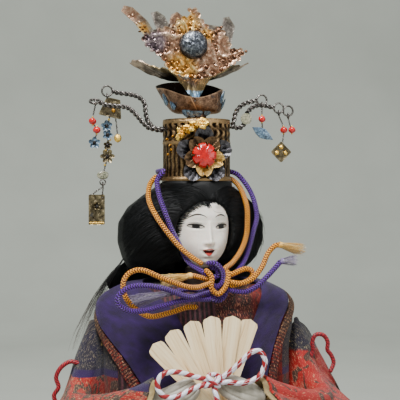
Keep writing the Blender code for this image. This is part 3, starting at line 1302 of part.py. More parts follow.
def build_band(crown_frame):
    """Make the crown's band with its double flower, coral and gold spray."""
    profile = [
        (0.0, BAND_TOP),
        (BAND_RADIUS, BAND_TOP),
        (BAND_RADIUS, BAND_BOTTOM + BAND_RIM_HEIGHT + BAND_RIM_SLOPE),
        (BAND_RADIUS + BAND_RIM, BAND_BOTTOM + BAND_RIM_HEIGHT),
        (BAND_RADIUS + BAND_RIM, BAND_BOTTOM),
        (BAND_RADIUS - BAND_WALL, BAND_BOTTOM),
        (BAND_RADIUS - BAND_WALL, BAND_TOP - BAND_WALL),
        (0.0, BAND_TOP - BAND_WALL),
    ]
    turned("crown_band", profile, "bronze", crown_frame, BAND_SIDES)
    place = -BAND_RADIUS - GAP - FLOWER_METAL / 2.0
    outer = petal_outline(FLOWER_OUTER_RADIUS, FLOWER_OUTER_NOTCH, FLOWER_PETALS, FLOWER_POINTS, math.pi / 2.0)
    add_part(
        "crown_flower_outer", plate_mesh([outer], FLOWER_METAL, (0.0, place, FLOWER_HEIGHT)), "bronze", crown_frame,
    )
    place -= FLOWER_METAL + GAP
    inner = petal_outline(FLOWER_INNER_RADIUS, FLOWER_INNER_NOTCH, FLOWER_PETALS, FLOWER_POINTS, -math.pi / 2.0)
    add_part(
        "crown_flower_inner", plate_mesh([inner], FLOWER_METAL, (0.0, place, FLOWER_HEIGHT)), "gilt", crown_frame,
    )
    back = place - FLOWER_METAL / 2.0 - GAP
    rings = []
    for step in range(CORAL_RINGS):
        rise = math.pi / 2.0 * step / CORAL_RINGS
        ring = []
        for point in range(CORAL_LOBES * CORAL_LOBE_POINTS):
            angle = FULL_TURN * point / (CORAL_LOBES * CORAL_LOBE_POINTS)
            lobe = 1.0 + CORAL_LOBE_SHARE * math.cos(CORAL_LOBES * angle)
            reach = CORAL_RADIUS * lobe * math.cos(rise) / (1.0 + CORAL_LOBE_SHARE)
            ring.append(Vector((
                reach * math.cos(angle),
                back - CORAL_HEIGHT * math.sin(rise),
                FLOWER_HEIGHT + reach * math.sin(angle),
            )))
        rings.append(ring)
    add_part("crown_coral", loft_mesh(rings), "coral", crown_frame)
    beads = []
    for index, centre in enumerate(SPRAY_CENTRES):
        swell = SPRAY_RADIUS * (1.0 + SPRAY_SWELL * (index % 2))
        middle = Vector(centre) * MM + Vector((0.0, 0.0, FLOWER_HEIGHT))
        beads.append(ball_mesh(middle, (swell * SPRAY_STRETCH, swell, swell), SPRAY_COLUMNS, SPRAY_ROWS))
    add_part("crown_spray", united(beads), "gilt", crown_frame)


def build_crown_top(crown_frame):
    """Make the flared cup on its stem, the leaf dish, the two flame plates and the boss."""
    outer = []
    inner = []
    for level in range(CUP_LEVELS + 1):
        share = level / CUP_LEVELS
        for rings, wall in ((outer, 0.0), (inner, CUP_WALL)):
            ring = []
            for step in range(CUP_SEGMENTS):
                angle = FULL_TURN * step / CUP_SEGMENTS
                radius = CUP_BOTTOM_RADIUS + (CUP_TOP_RADIUS - CUP_BOTTOM_RADIUS) * math.sqrt(share) - wall
                dip = CUP_DIP * max(0.0, math.cos(angle)) ** 4 * share
                ring.append(Vector((
                    radius * math.sin(angle) + CUP_LEAN * share,
                    -radius * math.cos(angle),
                    CUP_BOTTOM + (CUP_TOP - CUP_BOTTOM) * share - dip + wall * (1.0 - share),
                )))
            rings.append(ring)
    pieces = [
        loft_mesh(outer + inner[::-1]),
        cylinder_mesh(CUP_STEM_RADIUS, BAND_TOP + GAP, CUP_BOTTOM + CUP_WALL / 2.0),
        cylinder_mesh(
            PILLAR_RADIUS, CUP_BOTTOM + CUP_WALL / 2.0, DISH_HEIGHT - DISH_METAL - GAP,
            PILLAR_SIDES, DISH_OFFSET / 2.0,
        ),
    ]
    add_part("crown_cup", united(pieces), "bronze", crown_frame)
    grid = []
    for ring_index in range(DISH_RINGS + 1):
        share = ring_index / DISH_RINGS
        ring = []
        for step in range(DISH_SEGMENTS):
            angle = FULL_TURN * step / DISH_SEGMENTS
            side = math.cos(angle)
            front = max(0.0, -math.sin(angle))
            back = max(0.0, math.sin(angle))
            reach = DISH_SIDE_REACH * side * side + DISH_FRONT_REACH * front * front + DISH_BACK_REACH * back * back
            reach -= DISH_PINCH * abs(math.sin(2.0 * angle))
            rise = DISH_SIDE_RISE * side * side - DISH_FRONT_DROP * front ** 4 + DISH_BACK_RISE * back * back
            frill = DISH_FRILL * math.cos(DISH_FRILL_COUNT * angle) * share
            radius = DISH_HUB_RADIUS + (reach + frill - DISH_HUB_RADIUS) * share
            ring.append(Vector((
                DISH_OFFSET + radius * math.cos(angle),
                radius * math.sin(angle),
                DISH_HEIGHT + rise * share * share + frill * DISH_FRILL_LIFT,
            )))
        grid.append(ring)
    shape = bmesh.new()
    rows = [[shape.verts.new(point) for point in ring] for ring in grid]
    for low, high in zip(rows, rows[1:]):
        for i in range(DISH_SEGMENTS):
            j = (i + 1) % DISH_SEGMENTS
            shape.faces.new((low[i], low[j], high[j], high[i]))
    shape.faces.new(rows[0])
    dish = add_part("crown_dish", mesh_from(shape), "bronze", crown_frame)
    solidify(dish, DISH_METAL)
    for name, shares, place, finish in (
        ("crown_back_plate", BACK_PLATE_SHARES, BACK_PLATE_PLACE, "bronze"),
        ("crown_front_plate", FRONT_PLATE_SHARES, FRONT_PLATE_PLACE, "gilt"),
    ):
        outline = [(x * PLATE_HEIGHT, z * PLATE_HEIGHT) for x, z in shares]
        centre = (PLATE_SIDE, place, PLATE_FOOT)
        add_part(name, plate_mesh([outline], PLATE_METAL, centre), finish, crown_frame)
    back = FRONT_PLATE_PLACE - PLATE_METAL / 2.0 - GAP
    rings = []
    for step in range(BOSS_RINGS):
        rise = math.pi / 2.0 * step / BOSS_RINGS
        ring = []
        for point in range(BOSS_SEGMENTS):
            angle = FULL_TURN * point / BOSS_SEGMENTS
            reach = BOSS_RADIUS * math.cos(rise)
            ring.append(Vector((
                BOSS_SIDE + reach * math.cos(angle),
                back - BOSS_HEIGHT * math.sin(rise),
                PLATE_FOOT + BOSS_LIFT + reach * math.sin(angle),
            )))
        rings.append(ring)
    add_part("crown_boss", loft_mesh(rings), "silver", crown_frame)


def on_band(place):
    """Carry a place set from the middle of the band's top to the crown's own frame."""
    return Vector(place) * MM + Vector((0.0, 0.0, BAND_TOP))


def branch_mesh(route):
    """Make one branch's wire."""
    lift = Vector((0.0, 0.0, BAND_TOP))
    return tube_mesh([point + lift for point in smooth_route(route, BRANCH_SPACING)], BRANCH_RADIUS)


def hinge_point(ring_place, tilt=0.0):
    """Return the middle of the ring's wire on which a strand's eye hangs."""
    return on_band(ring_place) - Vector((0.0, math.sin(tilt), math.cos(tilt))) * RING_RADIUS


def build_branches(crown_frame):
    """Make the two twisted wire branches with their rings."""
    left = [
        branch_mesh(BRANCH_LEFT_UPPER),
        branch_mesh(BRANCH_LEFT_LOWER),
        ring_mesh(on_band(RING_LEFT_UPPER), RING_RADIUS, RING_WIRE, UPRIGHT_RING),
        ring_mesh(on_band(RING_LEFT_LOWER), RING_RADIUS, RING_WIRE, Matrix.Rotation(-LOWER_RING_TILT, 4, "X") @ UPRIGHT_RING),
    ]
    add_part("branch_left", united(left), "wire", crown_frame)
    disc = []
    for step in range(DISC_POINTS):
        angle = FULL_TURN * step / DISC_POINTS
        disc.append((SMALL_DISC_RADIUS * math.cos(angle), SMALL_DISC_RADIUS * math.sin(angle)))
    right = [
        branch_mesh(BRANCH_RIGHT_UPPER),
        branch_mesh(BRANCH_RIGHT_LOWER),
        ring_mesh(on_band(RING_RIGHT_UPPER), RING_RADIUS, RING_WIRE, UPRIGHT_RING),
        ring_mesh(on_band(RING_RIGHT_MIDDLE), RING_RADIUS, RING_WIRE, UPRIGHT_RING),
        ring_mesh(on_band(RING_RIGHT_OUTER), RING_RADIUS, RING_WIRE, UPRIGHT_RING),
        plate_mesh([disc], SMALL_DISC_METAL, on_band(RIGHT_DISC_CENTRE)),
    ]
    add_part("branch_right", united(right), "wire", crown_frame)


def wire_mesh(route):
    """Make a strand wire along a route given in millimetres from the hinge."""
    return tube_mesh([Vector(point) * MM for point in route], STRAND_WIRE)


def eye_mesh():
    """Make the eye that hangs round a ring's wire, centred on the hinge."""
    return ring_mesh(Vector(), EYE_RADIUS, STRAND_WIRE, EYE_RING)


def bead_mesh(place, radius=CORAL_BEAD_RADIUS):
    """Make a round bead at a place given in millimetres from the hinge."""
    return ball_mesh(Vector(place) * MM, (radius, radius, radius))


def box_outline(width, height, top_share=1.0):
    """Return a plaque outline, narrower at the top if the share says so."""
    half = width / 2.0
    return [
        (-half, -height / 2.0), (half, -height / 2.0),
        (half * top_share, height / 2.0), (-half * top_share, height / 2.0),
    ]


def build_left_pendants(crown_frame):
    """Make the long two-part strand and the coral strand on the left branch."""
    upper = hinge_point(RING_LEFT_UPPER)
    leaf = petal_outline(LEAF_RADIUS, LEAF_NOTCH, LEAF_LOBES, LEAF_LOBES * LOBE_POINTS)
    pearl = Vector(LEFT_LONG_WIRE[-1]) * MM
    link = pearl - Vector((0.0, 0.0, PEARL_HEIGHT + EYE_RADIUS))
    pieces = [
        eye_mesh(),
        plate_mesh(
            [box_outline(TOP_PLAQUE_WIDTH, TOP_PLAQUE_HEIGHT, TOP_PLAQUE_SHARE)], PLAQUE_METAL,
            (TOP_PLAQUE_SIDE, 0.0, -TOP_PLAQUE_DROP),
        ),
        wire_mesh(LEFT_LONG_WIRE),
        wire_mesh(LEFT_BELL_WIRE),
        plate_mesh([leaf], LEAF_METAL, Vector(LEFT_LONG_WIRE[-2]) * MM),
        bead_mesh(LEFT_BELL_WIRE[-1], BELL_RADIUS),
        ball_mesh(pearl, (PEARL_WIDTH, LEAF_METAL, PEARL_HEIGHT)),
        ring_mesh(link, EYE_RADIUS, STRAND_WIRE, UPRIGHT_RING),
    ]
    add_part("pendant_left_upper", united(pieces), "wire", crown_frame, upper)
    pieces = [
        eye_mesh(),
        wire_mesh(LEFT_FORK_WIRE),
        plate_mesh(
            [box_outline(LOW_PLAQUE_WIDTH, LOW_PLAQUE_HEIGHT)], PLAQUE_METAL,
            (LOW_PLAQUE_SIDE, 0.0, -LOW_PLAQUE_DROP),
        ),
    ]
    lower = upper + link - Vector((0.0, 0.0, EYE_RADIUS))
    add_part("pendant_left_lower", united(pieces), "wire", crown_frame, lower)
    flower = petal_outline(
        BLUE_FLOWER_RADIUS, LEAF_NOTCH, FLOWER_PETALS, FLOWER_PETALS * LOBE_POINTS, math.pi / 2.0,
    )
    pieces = [eye_mesh(), wire_mesh(LEFT_CORAL_WIRE)]
    pieces += [bead_mesh(place) for place in LEFT_CORAL_WIRE[1:-1]]
    pieces.append(plate_mesh([flower], LEAF_METAL, Vector(LEFT_CORAL_WIRE[-1]) * MM))
    hinge = hinge_point(RING_LEFT_LOWER, LOWER_RING_TILT)
    add_part("pendant_left_coral", united(pieces), "coral", crown_frame, hinge)


def build_right_pendants(crown_frame):
    """Make the three short strands on the right branch."""
    kite = [
        (-KITE_LENGTH / 2.0, 0.0), (0.0, -KITE_WIDTH / 2.0), (KITE_LENGTH / 2.0, 0.0), (0.0, KITE_WIDTH / 2.0),
    ]
    pieces = [
        eye_mesh(),
        wire_mesh(RIGHT_CORAL_WIRE),
        bead_mesh(RIGHT_CORAL_WIRE[1]),
        plate_mesh([kite], LEAF_METAL, Vector(RIGHT_CORAL_WIRE[-1]) * MM, -KITE_TILT),
    ]
    add_part("pendant_right_coral", united(pieces), "coral", crown_frame, hinge_point(RING_RIGHT_UPPER))
    pieces = [
        eye_mesh(),
        wire_mesh(RIGHT_PLAQUE_WIRE),
        bead_mesh(RIGHT_PLAQUE_WIRE[1]),
        plate_mesh(
            [box_outline(SQUARE_PLAQUE, SQUARE_PLAQUE)], PLAQUE_METAL,
            Vector(RIGHT_PLAQUE_WIRE[-1]) * MM, math.pi / 4.0,
        ),
    ]
    add_part("pendant_right_plaque", united(pieces), "wire", crown_frame, hinge_point(RING_RIGHT_MIDDLE))
    pieces = [eye_mesh(), wire_mesh(RIGHT_OUTER_WIRE), bead_mesh(RIGHT_OUTER_WIRE[-1])]
    add_part("pendant_right_outer", united(pieces), "coral", crown_frame, hinge_point(RING_RIGHT_OUTER))


def surface_tree(mesh):
    """Index a mesh's surface, to measure distances to it."""
    return BVHTree.FromPolygons([v.co for v in mesh.vertices], [p.vertices for p in mesh.polygons])


def cap_is_clear(points, index, radius, tree):
    """Say whether a cord's end cap at this point would keep the gap from a surface."""
    along = (points[min(index + 1, len(points) - 1)] - points[max(index - 1, 0)]).normalized()
    side = along.orthogonal().normalized()
    up = along.cross(side)
    for spoke in range(TRIM_SPOKES):
        angle = FULL_TURN * spoke / TRIM_SPOKES
        rim = points[index] + (side * math.cos(angle) + up * math.sin(angle)) * radius
        if tree.find_nearest(rim)[3] < GAP:
            return False
    return tree.find_nearest(points[index])[3] >= GAP


def trimmed_route(route, spacing, radius, tree):
    """Return a cord's points with the ends trimmed where the cord meets a surface."""
    fine = smooth_route(route, TRIM_STEP)
    first = len(fine) // 2
    last = first
    while first > 0 and cap_is_clear(fine, first - 1, radius, tree):
        first -= 1
    while last < len(fine) - 1 and cap_is_clear(fine, last + 1, radius, tree):
        last += 1
    count = max(2, round((last - first) * TRIM_STEP / spacing))
    return [fine[first + round((last - first) * step / count)] for step in range(count + 1)]


def tassel_mesh(start, reach):
    """Make a brushed-out tassel from the cord's end along reach."""
    forward = reach.normalized()
    side = forward.cross(Vector((0.0, 0.0, 1.0))).normalized()
    up = side.cross(forward)
    rings = []
    for share, swell in TASSEL_ROW_SHARES:
        ring = []
        for step in range(TASSEL_SIDES):
            angle = FULL_TURN * step / TASSEL_SIDES
            spoke = side * math.cos(angle) + up * math.sin(angle)
            ring.append(start + reach * share + spoke * TASSEL_END_RADIUS * swell)
        rings.append(ring)
    return loft_mesh(rings)


def build_cords(head_frame):
    """Make the chin cords, their knot, the bow loops and the tasselled tails."""
    pieces = [ball_mesh(KNOT_CENTRE, KNOT_CORE)]
    for route in (KNOT_PURPLE, KNOT_ORANGE):
        pieces.append(tube_mesh(smooth_route(route, CORD_SPACING * KNOT_SPACING_SHARE), CORD_RADIUS))
    knot = united(pieces, crossing=True)
    tree = surface_tree(knot)
    add_part("cord_knot", knot, "purple_silk", head_frame)
    for name, route, finish in (
        ("chin_cord_orange", CHIN_ORANGE, "orange_silk"),
        ("chin_cord_purple", CHIN_PURPLE, "purple_silk"),
        ("bow_loop_purple", LOOP_PURPLE, "purple_silk"),
        ("bow_loop_orange", LOOP_ORANGE, "orange_silk"),
    ):
        points = trimmed_route(route, CORD_SPACING, CORD_RADIUS, tree)
        add_part(name, tube_curve(points, CORD_RADIUS), finish, head_frame)
    for name, route, tassel, finish in (
        ("tail_right_orange", TAIL_RIGHT_ORANGE, RIGHT_ORANGE_TASSEL, "orange_silk"),
        ("tail_right_purple", TAIL_RIGHT_PURPLE, RIGHT_PURPLE_TASSEL, "purple_silk"),
        ("tail_left_orange", TAIL_LEFT_ORANGE, LEFT_ORANGE_TASSEL, "orange_silk"),
        ("tail_left_purple", TAIL_LEFT_PURPLE, LEFT_PURPLE_TASSEL, "purple_silk"),
    ):
        points = trimmed_route(route, CORD_SPACING, CORD_RADIUS, tree)
        start = points[-1] - tassel.normalized() * CORD_RADIUS
        pieces = [tube_mesh(points, CORD_RADIUS), tassel_mesh(start, tassel)]
        add_part(name, united(pieces), finish, head_frame)


clear_scene()
PARTS = new_collection("hina_doll")
CUTTERS = new_collection("cutters")
straw_core = build_core()
trunk = build_trunk()
build_lap()
sleeve_meshes = build_sleeves(straw_core, trunk)
build_fan()
build_sleeve_cords(sleeve_meshes)
head_turn = build_head()
crown_turn = new_frame("crown_turn", (0.0, 0.0, 0.0), CROWN_TURN - HEAD_TURN, head_turn)
bpy.context.view_layer.update()
build_band(crown_turn)
build_crown_top(crown_turn)
build_branches(crown_turn)
build_left_pendants(crown_turn)
build_right_pendants(crown_turn)
build_cords(head_turn)
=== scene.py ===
"""The looks of a hina empress: stage and light first, then the doll in the order she is put together."""

import math
import random

import bpy
import numpy as np
from mathutils import Matrix, Vector, geometry, noise
from mathutils.bvhtree import BVHTree


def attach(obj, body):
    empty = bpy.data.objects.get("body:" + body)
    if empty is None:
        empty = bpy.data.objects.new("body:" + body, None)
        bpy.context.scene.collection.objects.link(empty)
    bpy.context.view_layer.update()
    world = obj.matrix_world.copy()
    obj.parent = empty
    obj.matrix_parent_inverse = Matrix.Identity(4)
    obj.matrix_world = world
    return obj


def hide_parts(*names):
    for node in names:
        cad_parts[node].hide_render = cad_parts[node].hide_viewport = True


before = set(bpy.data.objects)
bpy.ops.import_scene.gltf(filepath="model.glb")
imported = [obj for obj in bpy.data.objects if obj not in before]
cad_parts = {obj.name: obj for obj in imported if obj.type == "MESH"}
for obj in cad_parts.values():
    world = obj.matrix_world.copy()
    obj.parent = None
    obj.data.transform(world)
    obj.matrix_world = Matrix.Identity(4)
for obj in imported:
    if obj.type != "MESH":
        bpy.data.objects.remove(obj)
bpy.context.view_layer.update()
MM = 0.001
TURN = 2.0 * math.pi


# Stage. A plain sweep of pale grey-green paper, lit by one broad soft lamp high on the left and a weaker
# one on the right. The picture is taken from a little to the doll's right, level with her chin.
VIEW_TURN = math.radians(-7.0)
VIEW_RISE = math.radians(0.5)
VIEW_FAR = 600 * MM
VIEW_SIDE = 2.1 * MM
VIEW_LEVEL = 220 * MM
SWEEP_HALF_WIDTH = 2.6
SWEEP_FRONT = -2.2
SWEEP_FOOT = 0.9
SWEEP_BEND = 0.5
SWEEP_TOP = 2.4
BEND_STEPS = 16
PAPER = (168, 172, 164)


def dye(red, green, blue):
    """Turn a colour given in steps of 0 to 255 into light."""
    shares = [part / 255.0 for part in (red, green, blue)]
    return tuple(s / 12.92 if s < 0.04 else ((s + 0.055) / 1.055) ** 2.4 for s in shares) + (1.0,)


class Finish:
    """A surface finish: one shader and the patterns that feed it."""

    def __init__(self, name, **fixed):
        self.paint = bpy.data.materials.new(name)
        self.paint.use_nodes = True
        self.tree = self.paint.node_tree
        self.shader = self.tree.nodes["Principled BSDF"]
        for socket, value in fixed.items():
            self.shader.inputs[socket.replace("_", " ")].default_value = value

    def add(self, kind, feeds, out=0, **settings):
        """Add one node, feed its sockets and hand back its outlet."""
        node = self.tree.nodes.new("ShaderNode" + kind)
        for key, value in settings.items():
            setattr(node, key, value)
        for socket, value in feeds.items():
            if isinstance(value, bpy.types.NodeSocket):
                self.tree.links.new(value, node.inputs[socket])
            else:
                node.inputs[socket].default_value = value
        return node.outputs[out]

    def place(self, stretch=(1.0, 1.0, 1.0), turn=(0.0, 0.0, 0.0)):
        """Give the spot on the piece itself, stretched to run a pattern one way."""
        spot = self.add("TexCoord", {}, "Object")
        return self.add("Mapping", {"Vector": spot, "Scale": stretch, "Rotation": turn})

    def lay(self, stretch=(1.0, 1.0, 1.0)):
        """Give the spot along and across the thread, as the mesh carries it."""
        spot = self.add("Attribute", {}, "Vector", attribute_name="lay")
        return self.add("Mapping", {"Vector": spot, "Scale": stretch})

    def part(self, spot, axis):
        """Give one of a spot's three shares."""
        return self.add("SeparateXYZ", {"Vector": spot}, axis)

    def clouds(self, spot, size, detail=3.0, rough=0.55, twist=0.0):
        """Give soft uneven patches of about that size."""
        feeds = {"Vector": spot, "Scale": 1.0 / size, "Detail": detail, "Roughness": rough, "Distortion": twist}
        return self.add("TexNoise", feeds, "Fac")

    def cells(self, spot, size, feature="F1", out="Distance"):
        """Give packed cells of about that size."""
        return self.add("TexVoronoi", {"Vector": spot, "Scale": 1.0 / size}, out, feature=feature)

    def ribs(self, spot, size, direction="X", waver=0.0):
        """Give even ribs that far apart."""
        feeds = {"Vector": spot, "Scale": 1.0 / (size * TURN) * math.pi, "Distortion": waver, "Detail": 2.0}
        return self.add("TexWave", feeds, "Fac", bands_direction=direction)

    def sum(self, work, first, second=0.5, third=0.5):
        """Work two patterns into one."""
        return self.add("Math", {0: first, 1: second, 2: third}, operation=work)

    def steps(self, pattern, *stops):
        """Turn a pattern into colours, each from its own level."""
        node = self.tree.nodes.new("ShaderNodeValToRGB")
        self.tree.links.new(pattern, node.inputs[0])
        marks = node.color_ramp.elements
        while len(marks) < len(stops):
            marks.new(0.5)
        for mark, (level, colour) in zip(marks, stops):
            mark.position = level
            mark.color = colour if isinstance(colour, tuple) else (colour, colour, colour, 1.0)
        return node.outputs[0]

    def over(self, share, below, above, way="MIX"):
        """Lay one colour over another where the share says."""
        return self.add("MixRGB", {0: share, 1: below, 2: above}, blend_type=way)

    def relief(self, pattern, depth, under=None):
        """Raise a pattern by a depth in metres."""
        feeds = {"Height": pattern, "Distance": depth, "Strength": 1.0}
        if under is not None:
            feeds["Normal"] = under
        return self.add("Bump", feeds)

    def done(self, colour=None, rough=None, normal=None):
        """Feed the shader and hand back the paint."""
        for socket, value in (("Base Color", colour), ("Roughness", rough), ("Normal", normal)):
            if value is not None:
                self.tree.links.new(value, self.shader.inputs[socket])
        return self.paint


class Heap:
    """Loose shells gathered into one mesh, each with its own finish and lay."""

    def __init__(self):
        self.points = []
        self.faces = []
        self.lays = []
        self.kinds = []

    def add(self, points, faces, lay=None, kind=0):
        """Add one shell."""
        start = len(self.points)
        self.points.extend(tuple(point) for point in points)
        self.lays.extend([(0.0, 0.0, 0.0)] * len(points) if lay is None else [tuple(spot) for spot in lay])
        self.faces.extend(tuple(start + corner for corner in face) for face in faces)
        self.kinds.extend([kind] * len(faces))

    def cast(self, name, finishes, sharp=None, turn=None):
        """Make the object."""
        mesh = bpy.data.meshes.new(name)
        mesh.from_pydata(self.points, [], self.faces)
        mesh.polygons.foreach_set("material_index", self.kinds)
        lay = mesh.attributes.new("lay", "FLOAT_VECTOR", "POINT")
        lay.data.foreach_set("vector", np.array(self.lays, np.float32).ravel())
        mesh.shade_smooth()
        if sharp is not None:
            mesh.set_sharp_from_angle(angle=math.radians(sharp))
        for finish in finishes:
            mesh.materials.append(finish)
        mesh.update()
        obj = bpy.data.objects.new(name, mesh)
        bpy.context.scene.collection.objects.link(obj)
        if turn is not None:
            obj.matrix_world = turn
        return obj


camera = bpy.data.objects.new("viewer", bpy.data.cameras.new("viewer"))
camera.data.lens = 90.0
camera.data.sensor_width = 36.0
camera.data.clip_start = 0.05
back = Vector((
    math.sin(VIEW_TURN) * math.cos(VIEW_RISE), -math.cos(VIEW_TURN) * math.cos(VIEW_RISE), math.sin(VIEW_RISE),
))
camera.location = back * VIEW_FAR + Vector((
    VIEW_SIDE * math.cos(VIEW_TURN), VIEW_SIDE * math.sin(VIEW_TURN), VIEW_LEVEL,
))
camera.rotation_mode = "QUATERNION"
camera.rotation_quaternion = (-back).to_track_quat("-Z", "Y")
bpy.context.scene.collection.objects.link(camera)
bpy.context.scene.camera = camera

sweep = [(SWEEP_FRONT, 0.0), (SWEEP_FOOT, 0.0)]
for step in range(1, BEND_STEPS + 1):
    bend = math.pi / 2.0 * step / BEND_STEPS
    sweep.append((SWEEP_FOOT + SWEEP_BEND * math.sin(bend), SWEEP_BEND * (1.0 - math.cos(bend))))
sweep.append((SWEEP_FOOT + SWEEP_BEND, SWEEP_TOP))
heap = Heap()
heap.add(
    [(side * SWEEP_HALF_WIDTH, y, z) for y, z in sweep for side in (-1.0, 1.0)],
    [(2 * i, 2 * i + 1, 2 * i + 3, 2 * i + 2) for i in range(len(sweep) - 1)],
)
paper = Finish("sweep_paper", Roughness=0.85, Specular_IOR_Level=0.2)
mottle = paper.clouds(paper.place(), 120 * MM)
shades = paper.steps(mottle, (0.3, dye(*[c - 3 for c in PAPER])), (0.7, dye(*[c + 3 for c in PAPER])))
backdrop = heap.cast("backdrop", [paper.done(shades, normal=paper.relief(mottle, 0.2 * MM))])

room = bpy.data.worlds.new("room")
room.use_nodes = True
room.node_tree.nodes["Background"].inputs[0].default_value = dye(214, 218, 214)
room.node_tree.nodes["Background"].inputs[1].default_value = 0.5
bpy.context.scene.world = room
for name, spot, aim, size, power in (
    ("key_lamp", (-0.25, -0.62, 1.15), (0.0, -0.02, 0.2), 0.36, 24.0),
    ("fill_lamp", (0.95, -0.85, 0.45), (0.0, 0.0, 0.2), 0.9, 4.6),
    ("paper_lamp", (0.0, -0.1, 2.1), (0.0, 1.2, 0.5), 1.4, 25.0),
):
    lamp = bpy.data.objects.new(name, bpy.data.lights.new(name, "AREA"))
    lamp.data.size = size
    lamp.data.energy = power
    lamp.location = spot
    lamp.rotation_mode = "QUATERNION"
    lamp.rotation_quaternion = (Vector(aim) - Vector(spot)).to_track_quat("-Z", "Y")
    bpy.context.scene.collection.objects.link(lamp)


# Seat and core. A lacquered board carries a bound straw bundle with a socket for the neck, and a straw wad
# stands in for her folded legs; none of it shows once she is dressed.
WAD_GRAIN = 2.0 * MM


def fit(piece, body, *nodes):
    """Seat a piece on its body in place of the solids it dresses."""
    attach(piece, body)
    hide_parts(*nodes)
    return piece


def skin(line, reach, open_end=False):
    """Skin a line with rings; reach holds each ring's radii. Hands back points, faces and lay."""
    line = np.asarray(line, float)
    ahead = np.gradient(line, axis=0)
    ahead /= np.linalg.norm(ahead, axis=1)[:, None]
    aside = np.cross(ahead[0], (0.0, 0.0, 1.0))
    if np.linalg.norm(aside) < 0.2:
        aside = np.cross(ahead[0], (1.0, 0.0, 0.0))
    asides = []
    for direction in ahead:
        aside = aside - direction * (aside @ direction)
        aside = aside / np.linalg.norm(aside)
        asides.append(aside)
    asides = np.array(asides)
    above = np.cross(ahead, asides)
    rings, sides = reach.shape
    angles = np.arange(sides) * TURN / sides
    spokes = asides[:, None, :] * np.cos(angles)[None, :, None] + above[:, None, :] * np.sin(angles)[None, :, None]
    points = (line[:, None, :] + spokes * reach[:, :, None]).reshape(-1, 3)
    run = np.concatenate([[0.0], np.cumsum(np.linalg.norm(np.diff(line, axis=0), axis=1))])
    lay = np.stack([np.repeat(run, sides), np.tile(angles / TURN, rings), np.zeros(rings * sides)], axis=1)
    faces = [
        (r * sides + s, r * sides + (s + 1) % sides, (r + 1) * sides + (s + 1) % sides, (r + 1) * sides + s)
        for r in range(rings - 1) for s in range(sides)
    ]
    faces.append(tuple(range(sides))[::-1])
    if not open_end:
        faces.append(tuple((rings - 1) * sides + s for s in range(sides)))
    return points, faces, lay


def flow(stops, step, unit=MM):
    """Round a given route into an even run of points."""
    knots = np.array(stops, float) * unit
    ends = np.vstack([2.0 * knots[0] - knots[1], knots, 2.0 * knots[-1] - knots[-2]])
    fine = []
    for a, b, c, d in zip(ends, ends[1:], ends[2:], ends[3:]):
        for t in np.linspace(0.0, 1.0, 24, endpoint=False):
            fine.append(0.5 * (
                2.0 * b + (c - a) * t + (2.0 * a - 5.0 * b + 4.0 * c - d) * t * t
                + (3.0 * b - 3.0 * c + d - a) * t ** 3
            ))
    fine = np.array(fine + [knots[-1]])
    run = np.concatenate([[0.0], np.cumsum(np.linalg.norm(np.diff(fine, axis=0), axis=1))])
    spots = np.linspace(0.0, run[-1], max(2, int(round(run[-1] / step))) + 1)
    return np.stack([np.interp(spots, run, fine[:, k]) for k in range(3)], axis=1)


def dress(node, finish):
    """Give a plain CAD piece its finish."""
    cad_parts[node].material_slots[0].material = finish


def evened(node, name, grain, rubs, finish, turn):
    """Recast a solid's form in even small faces and rub its edges soft, in its own turned frame."""
    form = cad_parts[node].data.copy()
    form.transform(turn.inverted())
    form.materials.clear()
    obj = bpy.data.objects.new(name, form)
    bpy.context.scene.collection.objects.link(obj)
    even = obj.modifiers.new("even", "REMESH")
    even.mode = "VOXEL"
    even.voxel_size = grain
    rub = obj.modifiers.new("rub", "SMOOTH")
    rub.iterations = rubs
    rub.factor = 0.6
    grown = obj.evaluated_get(bpy.context.evaluated_depsgraph_get())
    mesh = bpy.data.meshes.new_from_object(grown)
    bpy.data.objects.remove(obj)
    mesh.shade_smooth()
    mesh.materials.append(finish)
    made = bpy.data.objects.new(name, mesh)
    made.matrix_world = turn
    bpy.context.scene.collection.objects.link(made)
    return made


straw = Finish("straw", Roughness=0.8)
stalks = straw.ribs(straw.place((1.0, 1.0, 0.15)), 1.2 * MM, "DIAGONAL", 4.0)
colour = straw.steps(stalks, (0.1, dye(110, 82, 40)), (0.6, dye(188, 152, 86)), (1.0, dye(220, 190, 122)))
straw.done(colour, normal=straw.relief(stalks, 0.4 * MM))
dress("straw_torso", straw.paint)
dress("leg_padding", straw.paint)
wadding = evened("leg_padding", "leg_wadding", WAD_GRAIN, 4, straw.paint, Matrix.Identity(4))
fit(wadding, "doll_body", "leg_padding")
lacquer = Finish("black_lacquer", Roughness=0.22, Coat_Weight=0.6, Coat_Roughness=0.08)
wear = lacquer.clouds(lacquer.place(), 9 * MM, 4.0)
lacquer.done(lacquer.steps(wear, (0.3, dye(12, 9, 9)), (0.7, dye(34, 24, 20))), lacquer.steps(
    wear, (0.3, 0.16), (0.7, 0.34),
))
dress("seat_board", lacquer.paint)
pine = Finish("pine", Roughness=0.6)
rings = pine.ribs(pine.place((1.0, 1.0, 0.1)), 1.6 * MM, "DIAGONAL", 3.0)
pine.done(pine.steps(rings, (0.1, dye(164, 122, 74)), (0.9, dye(214, 178, 124))), normal=pine.relief(rings, 0.1 * MM))
dress("neck_post", pine.paint)


